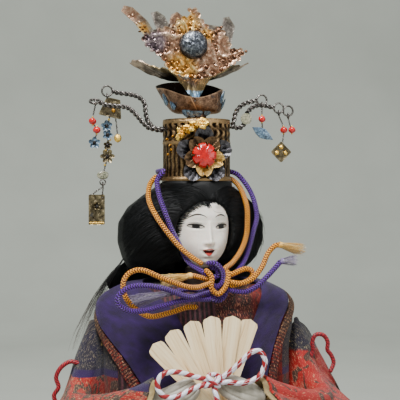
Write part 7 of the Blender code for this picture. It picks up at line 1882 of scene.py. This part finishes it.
plate(heap, back_edge, BACK_PLACE, PLATE_SHEET, back_relief)
for x, z in LEFT_PRONG_BEADS:
    ball(heap, (x, BACK_PLACE - 0.6, z), 0.75, 0, 0.75)
# Five small lumps on the gold part of the left prong are toned dark: painted shade standing for the grooves of a cross.
for x, z in ((-33.1, 320.6), (-31.6, 322.4), (-31.4, 319.2), (-34.6, 322.0), (-34.8, 319.4)):
    ball(heap, (x, BACK_PLACE - 0.5, z), (0.9, 0.5, 0.5), 0, 0.2, rough=0.4)
fit(heap.cast("plate_back", [grey_plate], 45, CROWN_TURN), "head", "crown_back_plate")
heap = Heap()
plate(heap, scalloped(FRONT_OUTLINE), FRONT_PLACE, PLATE_SHEET, front_relief, grain=0.6)
for number, (x, z) in enumerate(FRONT_BEADS + EDGE_BEADS):
    ball(heap, (x, FRONT_PLACE - 0.5, z), 0.85 + 0.12 * (number % 3 == 0), 0, 0.42)
chance = random.Random(44)
for x, z, size in GILT_PATCHES:
    for _ in range(5):
        lump = chance.uniform(0.25, 0.42) * size
        ball(heap, (
            x + chance.uniform(-1.0, 1.0) * size * 0.8, FRONT_PLACE - 0.4, z + chance.uniform(-1.0, 1.0) * size * 0.8,
        ), (lump, 0.34, lump * 0.7), 0, chance.uniform(0.2, 0.7), 10, 8, 0.8)
fit(heap.cast("plate_front", [pink_gilt], 45, CROWN_TURN), "head", "crown_front_plate")

BOSS_REACH = 8.6
BOSS_RISE = 5.4
silver = old_metal("hammered_silver", (20, 21, 24), (78, 82, 90), (186, 192, 200), (44, 42, 44), 0.62, 2.2 * MM, Roughness=0.3)
heap = Heap()
bloom(
    heap, (-2.6, FRONT_PLACE - PLATE_SHEET / 2.0 - 0.3, PLATE_FOOT + 20.0),
    lambda a: BOSS_REACH * (1.0 - 0.015 * math.cos(9 * a)),
    lambda a, s: BOSS_RISE * math.sqrt(max(0.0, 1.0 - s * s)) + 0.5 * (1.0 - s * s) * noise.noise(Vector((
        5.0 * s * math.cos(a), 5.0 * s * math.sin(a), 1.0,
    ))), 0.2, 40, 160, glow=0.0,
)
fit(heap.cast("boss", [silver], 60, CROWN_TURN), "head", "crown_boss")

# Branches. On each side two branches of twisted dark wire leave the band and end in rings of one bent wire;
# the right one also carries a small mother-of-pearl disc.
BRANCH_STOPS = {
    "left": [
        [
            (-20.1, -5, 262.6), (-23.6, -6, 260.9), (-27.6, -6, 263.2), (-30.9, -6, 267.3), (-31.9, -6, 272.4),
            (-32.6, -6, 277.2), (-36.3, -6, 280.6), (-42, -6, 282.0), (-47.4, -6, 282.6), (-51.4, -6, 283.4),
        ], [
            (-22.4, -6, 262.0), (-29.2, -7, 262.0), (-33.6, -8, 265.2), (-37.4, -9, 269.3), (-42.6, -10, 273.6),
            (-49, -11, 274.4), (-55.4, -12, 274.8), (-59.3, -12, 276.4),
        ],
    ],
    "right": [
        [
            (20.7, -5, 263.0), (21.7, -6, 268.0), (23.0, -6, 272.7), (26.4, -6, 276.6), (31.0, -6, 278.6),
            (36.1, -6, 279.8),
        ], [
            (21.0, -5, 264.0), (25.6, -4, 263.2), (29.4, -3, 266.8), (31.0, -1, 272.2), (35.4, 1, 276.4),
            (41.0, 1, 277.6), (45.4, -1, 276.6), (47.9, -2, 276.0),
        ],
    ],
}
LOW_RING_TILT = math.radians(65.0)
BRANCH_RINGS = {
    "left": [((-54.4, -6.0, 283.6), 0.0), ((-62.2, -12.0, 277.4), LOW_RING_TILT)],
    "right": [((39.0, -6.0, 280.2), 0.0), ((50.8, -2.0, 275.8), 0.0), ((56.7, -2.0, 274.2), 0.0)],
}
iron = old_metal("dark_wire", (26, 24, 23), (98, 93, 90), (206, 200, 194), (60, 54, 50), 0.7, 1.6 * MM)
pearl_shell = Finish("pearl_shell", Roughness=0.22, Specular_IOR_Level=0.6, Coat_Weight=0.4, Coat_Roughness=0.1)
sheen = pearl_shell.clouds(pearl_shell.place(), 2.4 * MM, 2.0, 0.5, 2.0)
pearl_shell.done(pearl_shell.steps(
    sheen, (0.3, dye(58, 64, 52)), (0.45, dye(120, 122, 98)), (0.6, dye(168, 162, 138)), (0.8, dye(96, 104, 102)),
), normal=pearl_shell.relief(sheen, 0.2 * MM))
for side, routes in BRANCH_STOPS.items():
    heap = Heap()
    for stops in routes:
        twist(heap, stops, 0.8, 0.72, 5.6)
    for centre, tilt in BRANCH_RINGS[side]:
        hoop(heap, centre, 3.0, 0.5, tilt, 0, 0.0, 2, 0.5)
    if side == "right":
        disc = [(3.4 * math.cos(a), 3.4 * math.sin(a)) for a in np.arange(28) * TURN / 28]
        plate(heap, disc, 0.0, 0.8, lambda x, z, near: 0.3 * min(1.0, near), 1, 0.8, None, (29.7, -4.2, 268.8))
    fit(heap.cast("twisted_branch_" + side, [iron, pearl_shell.paint], 60, CROWN_TURN), "head", "branch_" + side)


# Pendants. Strands of thin wire hang by an eye from the branch rings and swing: worn bronze plaques, blue
# enamelled flowers, coral beads, a gilt bell and pearl discs, each threaded on its wire or linked below.
STRAND_WIRE = 0.46
STRAND_EYE = 1.6
plaque_metal = old_metal("plaque_metal", (30, 26, 20), (98, 88, 68), (158, 144, 112), (62, 64, 66), 0.62)


class Strand:
    """One hanging strand, built round its hinge."""

    def __init__(self, hinge):
        self.heap = Heap()
        self.hinge = np.array(hinge, float)
        hoop(self.heap, hinge, STRAND_EYE, 0.4, 0.0, 0, math.pi / 2.0)

    def at(self, spot):
        """Carry a spot from the hinge to the crown."""
        return tuple(self.hinge + np.array(spot, float))

    def wire(self, *stops):
        """Run a strand wire through stops, with a second thin one wound on it."""
        line = flow([self.at(stop) for stop in stops], 0.6, 1.0)
        wire(self.heap, line, 0.34, 0, 8)
        twist(self.heap, [self.at(stop) for stop in stops], 0.42, 0.16, 1.5, 0, 1)

    def coral(self, spot, size=2.2):
        """Thread a coral bead with its small gilt stops."""
        ball(self.heap, self.at(spot), (size, size * 0.94, size * 0.9), 1, sides=22, rows=16, rough=0.12)
        for lift in (size, -size):
            ball(self.heap, self.at((spot[0], spot[1], spot[2] + lift)), 0.55, 2, 0.8, 10, 8)

    def plate(self, spot, outline, metal, kind, relief=None, turn=None, grain=0.7):
        """Fix a cut plate."""
        plate(self.heap, outline, 0.0, metal, relief, kind, grain, turn, self.at(spot))

    def flower(self, spot, reach, petals, kind, turned=0.0, depth=0.62):
        """Fix a small cupped flower with a bead in its middle."""
        bloom(
            self.heap, (self.at(spot)[0], self.at(spot)[1] - 0.4, self.at(spot)[2]),
            lambda a: reach * (depth + (1.0 - depth) * math.sqrt(petal_wave(a, petals, turned))),
            lambda a, s: 0.9 * s ** 2 - 0.3 * petal_wave(a, petals, turned) * math.sin(math.pi * s), 0.8, 8, 90, kind,
        )
        ball(self.heap, self.at((spot[0], spot[1] - 0.7, spot[2])), (1.1, 0.8, 1.1), 0, 0.3, 12, 8, 0.3)

    def hang(self, node):
        """Make the piece on its own hinge."""
        finishes = [iron, coral_red.paint, gilt, plaque_metal, enamel.paint, pearl_shell.paint]
        return fit(self.heap.cast(node + "_strand", finishes, 50, CROWN_TURN), node, node)


def beaten(x, z, near):
    """Give a small plaque's beaten relief: a raised rim round a hollow field."""
    return 0.3 * max(0.0, 1.0 - near / 1.2) + 0.35 * noise.noise(Vector((x * 0.8, z * 0.8, 3.0)))


def box(width, height, top=1.0):
    """Give a plaque's outline with its corners a little rounded."""
    half, tall, cut = width / 2.0, height / 2.0, 0.5
    corners = [
        (-half + cut, -tall), (half - cut, -tall), (half, -tall + cut), (half * top, tall - cut),
        (half * top - cut, tall), (-half * top + cut, tall), (-half * top, tall - cut), (-half, -tall + cut),
    ]
    return corners


strand = Strand((-54.4, -6.0, 280.6))
strand.wire((1.5, 0, -10.6), (0.6, 0, -20), (0, 0, -35), (-2.6, 0, -46))
strand.wire((4.4, 0, -10.6), (5.4, 0, -16), (6.2, 0, -24.4))
strand.plate((2.6, 0, -6.7), box(13.4, 11.0, 0.62), 0.7, 3, beaten, Matrix.Rotation(math.radians(12.0), 4, "Y"))
ball(strand.heap, strand.at((3.6, -0.8, -8.4)), (1.1, 0.6, 1.1), 2, 0.5)
strand.flower((-0.4, 0.0, -17.4), 3.4, 5, 4, 0.4)
strand.flower((0.0, -0.9, -22.6), 3.0, 5, 4, 1.2)
strand.flower((0.2, 0.0, -28.6), 2.6, 5, 3, 0.2)
strand.flower((0.0, 0.0, -35.0), 4.3, 6, 3)
ball(strand.heap, strand.at((6.2, 0, -24.4)), (2.2, 2.0, 2.4), 2, 0.75, 24, 18)
ball(strand.heap, strand.at((6.2, 0, -26.4)), 0.6, 0, 0.2)
for spot in ((1.0, -0.6, -13.6), (1.6, -0.5, -25.4), (-0.9, -0.5, -31.4), (-1.4, -0.4, -40.0)):
    ball(strand.heap, strand.at(spot), 0.7, 2, 0.8)
ball(strand.heap, strand.at((-2.6, 0, -46)), (3.4, 1.0, 2.5), 5, 0.5, 26, 18, 0.1)
hoop(strand.heap, strand.at((-2.6, 0, -50.1)), 1.6, 0.4)
strand.hang("pendant_left_upper")

strand = Strand((-57.0, -6.0, 228.9))
strand.wire((-7, 0, -6.4), (-3.2, 0, -3.2), (0, 0, -1.6), (-0.1, 0, -4.0), (-0.2, 0, -6.4))
for spot in ((-7, 0, -6.4), (-0.2, 0, -6.4)):
    hoop(strand.heap, strand.at(spot), 0.9, 0.22)


def low_plaque(x, z, near):
    """Give the long plaque's relief: a rolled rim and rows of scrolls."""
    return 0.45 * max(0.0, 1.0 - near / 1.0) + 0.3 * math.sin(x * 1.5 + math.sin(z * 0.8)) * math.sin(z * 1.1)


strand.plate((-3.6, 0, -14.4), box(9.4, 17.6), 0.7, 3, low_plaque)
for side in np.linspace(-3.8, 3.8, 9):
    ball(strand.heap, strand.at((-3.6 + side, -0.5, -22.0)), (0.55, 0.4, 0.6), 2, 0.8, 8, 6)
strand.flower((-3.6, -0.6, -12.4), 2.4, 5, 3, 0.3)
strand.hang("pendant_left_lower")

strand = Strand((-62.2, -14.72, 276.13))
strand.wire((0, 0, -1.6), (-1.6, 0, -10.8), (0.8, 0, -15.9), (-0.6, 0, -23.2))
strand.coral((-1.6, 0, -10.8))
strand.coral((0.8, 0, -15.9))
strand.flower((-0.6, 0, -23.2), 3.5, 5, 4, math.pi / 2.0)
strand.hang("pendant_left_coral")

KITE_LONG = 15.0
KITE_WIDE = 6.4
strand = Strand((39.0, -6.0, 277.2))
strand.wire((0, 0, -1.6), (0, 0, -8.5), (0.4, 0, -17.2))
strand.coral((0, 0, -8.5))
kite = [
    (-KITE_LONG / 2.0, 0.0), (-3.6, -KITE_WIDE * 0.36), (0.0, -KITE_WIDE / 2.0), (4.0, -KITE_WIDE * 0.3),
    (KITE_LONG / 2.0, 0.0), (4.0, KITE_WIDE * 0.3), (0.0, KITE_WIDE / 2.0), (-3.6, KITE_WIDE * 0.36),
]
strand.plate(
    (0.4, 0, -17.2), kite, 0.8, 4, lambda x, z, near: 0.8 * min(1.0, near / 2.2), Matrix.Rotation(math.radians(30.0), 4, "Y"),
)
strand.hang("pendant_right_coral")

strand = Strand((50.8, -2.0, 272.8))
strand.wire((0, 0, -1.6), (3.0, 0, -10.3), (1.3, 0, -23.7))
strand.coral((3.0, 0, -10.3))
strand.plate((1.3, 0, -23.7), box(9.2, 9.2), 0.7, 3, beaten, Matrix.Rotation(math.pi / 4.0, 4, "Y"))
for side, rise in ((0.0, 3.0), (-2.7, -0.6), (2.7, -0.6)):
    ball(strand.heap, strand.at((1.3 + side, -0.6, -23.7 + rise)), (1.3, 0.9, 1.3), 2, 0.75, 14, 10, 0.3)
strand.hang("pendant_right_plaque")

strand = Strand((56.7, -2.0, 271.2))
strand.wire((0, 0, -1.6), (1.0, 0, -5.2), (2.3, 0, -8.6))
strand.coral((2.3, 0, -8.6))
strand.hang("pendant_right_outer")


# Chin cords. Two braided silk cords, one orange and one purple, hold the crown: they pass behind its band,
# run down both cheeks and are tied under the chin in a bow with two loops on one side and tails on both.
CORD = 3.1 * MM
CORD_STEP = 0.3 * MM
BRAID_RIB = 2.3 * MM
BRAID_SLOPE = 0.4
BRAID_COLUMNS = 4
CHIN_ORANGE = [
    (-6.8, -31.0, 183.8), (-12.7, -25.4, 188.4), (-18.8, -20.8, 194.8), (-25.0, -18.6, 203.0),
    (-30.0, -14.4, 211.8), (-31.8, -7.4, 220.0), (-29.8, -1.5, 228.4), (-25.4, 1.5, 233.4),
    (-22.6, 9.0, 233.2), (-16.4, 18.0, 233.2), (-6.0, 23.8, 233.2), (6.0, 23.8, 233.2),
    (16.4, 18.0, 233.2), (22.6, 9.0, 233.2), (24.4, 2.6, 232.0), (26.2, -5.6, 226.6),
    (26.4, -15.0, 216.6), (26.4, -16.2, 207.0), (25.6, -16.4, 198.8), (21.2, -19.4, 190.6),
    (14.0, -25.0, 184.2), (7.4, -29.6, 181.0), (3.6, -31.6, 178.6),
]
CHIN_PURPLE = [
    (-4.2, -33.0, 177.6), (-7.0, -31.6, 179.4), (-12.6, -22.6, 184.6), (-16.2, -18.0, 193.8),
    (-21.0, -16.8, 203.4), (-24.4, -15.7, 212.8), (-26.4, -10.4, 222.6), (-26.6, -7.0, 231.6),
    (-22.9, -7.0, 236.8), (-23.5, 1.0, 237.0), (-19.0, 13.8, 237.0), (-8.0, 22.0, 237.0), (8.0, 22.0, 237.0),
    (19.0, 13.8, 237.0), (23.8, 5.0, 237.2), (28.6, 1.4, 234.0), (33.8, -4.4, 223.6),
    (35.2, -9.4, 211.0), (32.0, -11.6, 201.0), (29.0, -13.0, 192.4), (23.6, -18.0, 184.0),
    (15.5, -25.4, 178.0), (9.8, -28.8, 176.4), (5.4, -31.0, 175.4),
]
KNOT_PURPLE = [
    (-5.4, -32.8, 184.4), (-1.0, -35.6, 184.4), (3.4, -35.4, 180.0), (4.0, -34.6, 174.0),
    (0.2, -33.6, 170.4), (-4.2, -33.4, 172.6), (-5.4, -33.4, 168.4), (-2.0, -34.2, 164.0),
    (3.0, -34.2, 163.6), (6.0, -33.8, 167.4), (4.4, -33.2, 171.6),
]
KNOT_ORANGE = [
    (-6.4, -33.8, 181.2), (-3.4, -36.6, 176.6), (-3.6, -36.8, 170.4), (0.4, -37.2, 167.2),
    (4.6, -37.0, 170.8), (6.6, -36.2, 175.8), (7.0, -34.4, 180.4),
]
LOOP_PURPLE = [
    (-2.6, -34.8, 169.0), (-8.0, -36.4, 168.2), (-18.3, -40.0, 166.6), (-32.8, -43.2, 171.6),
    (-43.4, -44.0, 173.8), (-52.7, -44.0, 173.4), (-59.0, -43.6, 169.2), (-59.2, -43.0, 164.4),
    (-54.0, -42.6, 160.6), (-46.0, -42.0, 159.8), (-35.7, -41.0, 161.6), (-24.1, -39.2, 164.0),
    (-13.0, -36.6, 164.6), (-7.4, -35.4, 164.2), (-3.0, -34.6, 164.0),
]
LOOP_ORANGE = [
    (-3.4, -36.0, 173.4), (-8.4, -37.2, 172.2), (-13.0, -38.6, 171.4), (-20.4, -40.6, 172.4),
    (-34.5, -41.4, 177.6), (-45.0, -40.4, 182.0), (-52.0, -39.4, 180.6), (-55.4, -38.6, 174.8),
    (-53.4, -37.6, 166.4), (-46.4, -36.6, 159.4), (-38.5, -35.8, 155.8), (-26.8, -35.0, 157.6),
    (-18.0, -34.4, 159.8), (-11.0, -34.4, 160.0),
]
TAIL_RIGHT_ORANGE = [
    (5.4, -35.4, 173.0), (8.8, -36.0, 173.4), (14.6, -37.0, 172.8), (21.4, -37.0, 175.4),
    (27.4, -36.6, 182.0), (30.8, -36.4, 189.0), (35.0, -36.2, 193.4), (38.6, -36.0, 194.4),
]
TAIL_RIGHT_PURPLE = [
    (5.4, -34.2, 169.2), (8.6, -34.6, 168.8), (16.8, -36.2, 167.8), (23.2, -37.6, 170.6), (29.8, -38.4, 176.4),
    (35.6, -38.2, 182.0), (38.8, -37.8, 185.2),
]
TAIL_LEFT_PURPLE = [
    (-0.4, -31.6, 168.6), (-3.4, -30.8, 168.2), (-8.6, -31.2, 168.8), (-16.0, -33.0, 170.0),
    (-23.0, -34.6, 169.2), (-31.0, -35.4, 167.6),
]
TAIL_LEFT_ORANGE = [(-3.0, -32.6, 175.2), (-6.0, -32.8, 175.6), (-12.0, -33.6, 177.2), (-16.4, -34.0, 178.0)]
KNOT_CORE = [
    (-3.4, -32.4, 182.0), (0.6, -33.0, 181.2), (1.4, -33.0, 177.2), (-2.6, -32.8, 175.8), (-2.6, -32.8, 172.2),
    (2.0, -32.6, 170.6), (3.0, -32.4, 166.8), (-1.0, -32.2, 165.2), (-5.4, -32.0, 165.4),
]
BIGHT_ORANGE = [
    (7.0, -33.4, 176.6), (12.0, -33.6, 178.6), (17.6, -33.8, 180.6), (21.6, -33.8, 180.0), (22.6, -33.8, 176.8),
    (19.4, -34.0, 173.8), (13.2, -34.6, 172.0), (7.4, -35.0, 171.4),
]


def silk(name, dark, plain, bright):
    """Give braided silk: painted shade in the grooves and a painted highlight on the ridges, with wandering threads."""
    made = Finish(name, Roughness=0.5, Specular_IOR_Level=0.5, Sheen_Weight=0.1, Sheen_Roughness=0.4)
    # One rib pattern raises the ridges and also paints their shade and highlight into the colour.
    ridges_and_shading = made.ribs(made.lay(), BRAID_RIB, "X", 0.0)
    patches = made.clouds(made.place(), 1.6 * MM)
    worn = made.sum("MULTIPLY_ADD", patches, 0.4, -0.2)
    level = made.sum("ADD", made.sum("MULTIPLY_ADD", ridges_and_shading, 1.0, 0.0), worn)
    colour = made.steps(level, (0.1, dye(*dark)), (0.5, dye(*plain)), (1.0, dye(*bright)))
    rough = made.steps(patches, (0.2, 0.36), (0.8, 0.56))
    return made.done(colour, rough, made.relief(ridges_and_shading, 0.5 * MM))


orange_silk = silk("orange_silk", (64, 18, 0), (204, 98, 0), (252, 180, 34))
purple_silk = silk("purple_silk", (8, 0, 20), (38, 1, 74), (104, 40, 170))


def braid(line, radius, sides=24):
    """Skin a line as a round braid, its strands meeting in a row of chevrons down each column."""
    run = np.concatenate([[0.0], np.cumsum(np.linalg.norm(np.diff(line, axis=0), axis=1))])[:, None]
    column = np.arange(sides)[None, :] * BRAID_COLUMNS / sides
    slope = 1.0 - np.abs(2.0 * (column % 1.0) - 1.0)
    reach = radius * (0.95 + 0.05 * slope) * np.ones_like(run)
    ends = np.minimum(1.0, 0.45 + np.minimum(run, run[-1] - run) / radius)
    points, faces, lay = skin(line, reach * ends)
    lay[:, 0] = (run + slope * BRAID_RIB * BRAID_SLOPE).ravel()
    lay[:, 1:] = 0.0
    return points, faces, lay


def silk_cord(name, stops, finish, node):
    """Make one cord of the bow, on the head."""
    line = flow(stops, CORD_STEP)
    heap = Heap()
    heap.add(*braid(line, CORD / 2.0))
    piece = heap.cast(name, [finish], turn=HEAD_TURN)
    if node:
        fit(piece, "head", node)
    else:
        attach(piece, "head")
    return piece


def brush(heap, start, ahead, spread, count, thread, chance, kinds=1, sag=0.0, curl=0.6 * MM):
    """Add the brushed-out threads of a tassel, from its bound neck to its loose ends."""
    start, ahead = Vector(start), Vector(ahead)
    aside = ahead.normalized().cross(Vector((0.0, 0.3, 1.0))).normalized()
    above = ahead.normalized().cross(aside)
    for _ in range(count):
        angle = chance.uniform(0.0, TURN)
        out = math.sqrt(chance.random())
        long = chance.uniform(0.72, 1.06)
        phase = chance.uniform(0.0, TURN)
        line = []
        for step in range(8):
            share = step / 7.0
            reach = (0.3 + 0.7 * share ** 0.9) * out
            way = aside * math.cos(angle) * spread[0] + above * math.sin(angle) * spread[1]
            ripple = (aside * math.sin(phase + 7.0 * share) + above * math.cos(phase + 5.0 * share)) * curl * share
            line.append(start + ahead * share * long + way * reach + ripple - Vector((0.0, 0.0, sag * share ** 2)))
        radius = np.full((8, 3), thread) * np.linspace(1.0, 0.55, 8)[:, None]
        points, faces, lay = skin([tuple(p) for p in line], radius)
        lay[:, 2] = chance.uniform(0.0, 1.0)
        heap.add(points, faces, lay, chance.randrange(kinds))


def binding(heap, start, ahead, radius, turns, wire, kind=0):
    """Add the thread wound round a tassel's neck."""
    start, ahead = Vector(start), Vector(ahead).normalized()
    aside = ahead.cross(Vector((0.0, 0.3, 1.0))).normalized()
    above = ahead.cross(aside)
    line = []
    for step in range(turns * 14 + 1):
        angle = TURN * step / 14.0
        along = wire * 1.8 * step / 14.0
        line.append(tuple(start + ahead * along + (aside * math.cos(angle) + above * math.sin(angle)) * radius))
    points, faces, lay = skin(line, np.full((len(line), 6), wire))
    lay[:, 2] = 0.5
    heap.add(points, faces, lay, kind)


def tassel(name, start, ahead, spread, finishes, count, seed, sag=0.0):
    """Make one tassel on the head's side of the bow."""
    heap = Heap()
    chance = random.Random(seed)
    start = Vector(start) * MM
    ahead = Vector(ahead) * MM
    brush(heap, start, ahead, spread, count, 0.13 * MM, chance, len(finishes), sag)
    binding(heap, start, ahead, CORD * 0.5, 4, 0.3 * MM)
    piece = heap.cast(name, finishes, turn=HEAD_TURN)
    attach(piece, "head")
    return piece


def floss(name, dark, plain, bright):
    """Give loose silk threads, each a little lighter or darker than the next."""
    made = Finish(name, Roughness=0.42, Sheen_Weight=0.4, Sheen_Roughness=0.35)
    shade = made.sum("ADD", made.part(made.lay(), 2), made.sum(
        "MULTIPLY_ADD", made.clouds(made.place(), 3.0 * MM), 0.5, -0.25,
    ))
    colour = made.steps(shade, (0.05, dye(*dark)), (0.5, dye(*plain)), (0.95, dye(*bright)))
    return made.done(colour, normal=made.relief(made.clouds(made.place((1.0, 1.0, 4.0)), 0.3 * MM), 0.05 * MM))


yellow_floss = floss("yellow_floss", (168, 108, 30), (232, 182, 84), (252, 226, 150))
lilac_floss = floss("lilac_floss", (58, 42, 92), (118, 98, 150), (188, 178, 200))
grey_floss = floss("grey_floss", (72, 62, 84), (140, 128, 148), (206, 200, 206))
tassel_right_orange = tassel(
    "tassel_right_orange", (38.0, -36.0, 194.4), (15.5, 0.5, -3.4), (4.6 * MM, 3.4 * MM), [yellow_floss], 190, 3,
)
tassel_right_purple = tassel(
    "tassel_right_purple", (38.4, -37.8, 184.8), (9.0, -3.0, 0.6), (4.4 * MM, 3.4 * MM),
    [lilac_floss, grey_floss], 110, 4,
)
tassel_left_orange = tassel(
    "tassel_left_orange", (-14.4, -34.0, 177.8), (-17.5, -0.9, -2.6), (3.4 * MM, 3.2 * MM), [yellow_floss], 220, 5,
)
tassel_left_purple = tassel(
    "tassel_left_purple", (-28.0, -35.2, 168.2), (-24.0, -0.4, -3.4), (3.9 * MM, 3.8 * MM),
    [grey_floss, lilac_floss], 170, 6, 1.2 * MM,
)
silk_cord("cord_round_orange", CHIN_ORANGE, orange_silk, "chin_cord_orange")
silk_cord("cord_round_purple", CHIN_PURPLE, purple_silk, "chin_cord_purple")
silk_cord("knot_strand_purple", KNOT_PURPLE, purple_silk, "cord_knot")
silk_cord("knot_core_purple", KNOT_CORE, purple_silk, None)
silk_cord("loop_strand_purple", LOOP_PURPLE, purple_silk, "bow_loop_purple")
silk_cord("loop_strand_orange", LOOP_ORANGE, orange_silk, "bow_loop_orange")
silk_cord("bight_strand_orange", BIGHT_ORANGE, orange_silk, None)
silk_cord(
    "tail_strand_right_orange", TAIL_RIGHT_ORANGE, orange_silk, "tail_right_orange",
)
silk_cord(
    "tail_strand_right_purple", TAIL_RIGHT_PURPLE, purple_silk, "tail_right_purple",
)
silk_cord(
    "tail_strand_left_purple", TAIL_LEFT_PURPLE, purple_silk, "tail_left_purple",
)
heap = Heap()
heap.add(*braid(flow(TAIL_LEFT_ORANGE, CORD_STEP), CORD / 2.0))
tail_stub = fit(heap.cast("tail_stub_left_orange", [orange_silk], turn=HEAD_TURN), "head", "tail_left_orange")
silk_cord(
    "knot_strand_orange", KNOT_ORANGE, orange_silk, None,
)
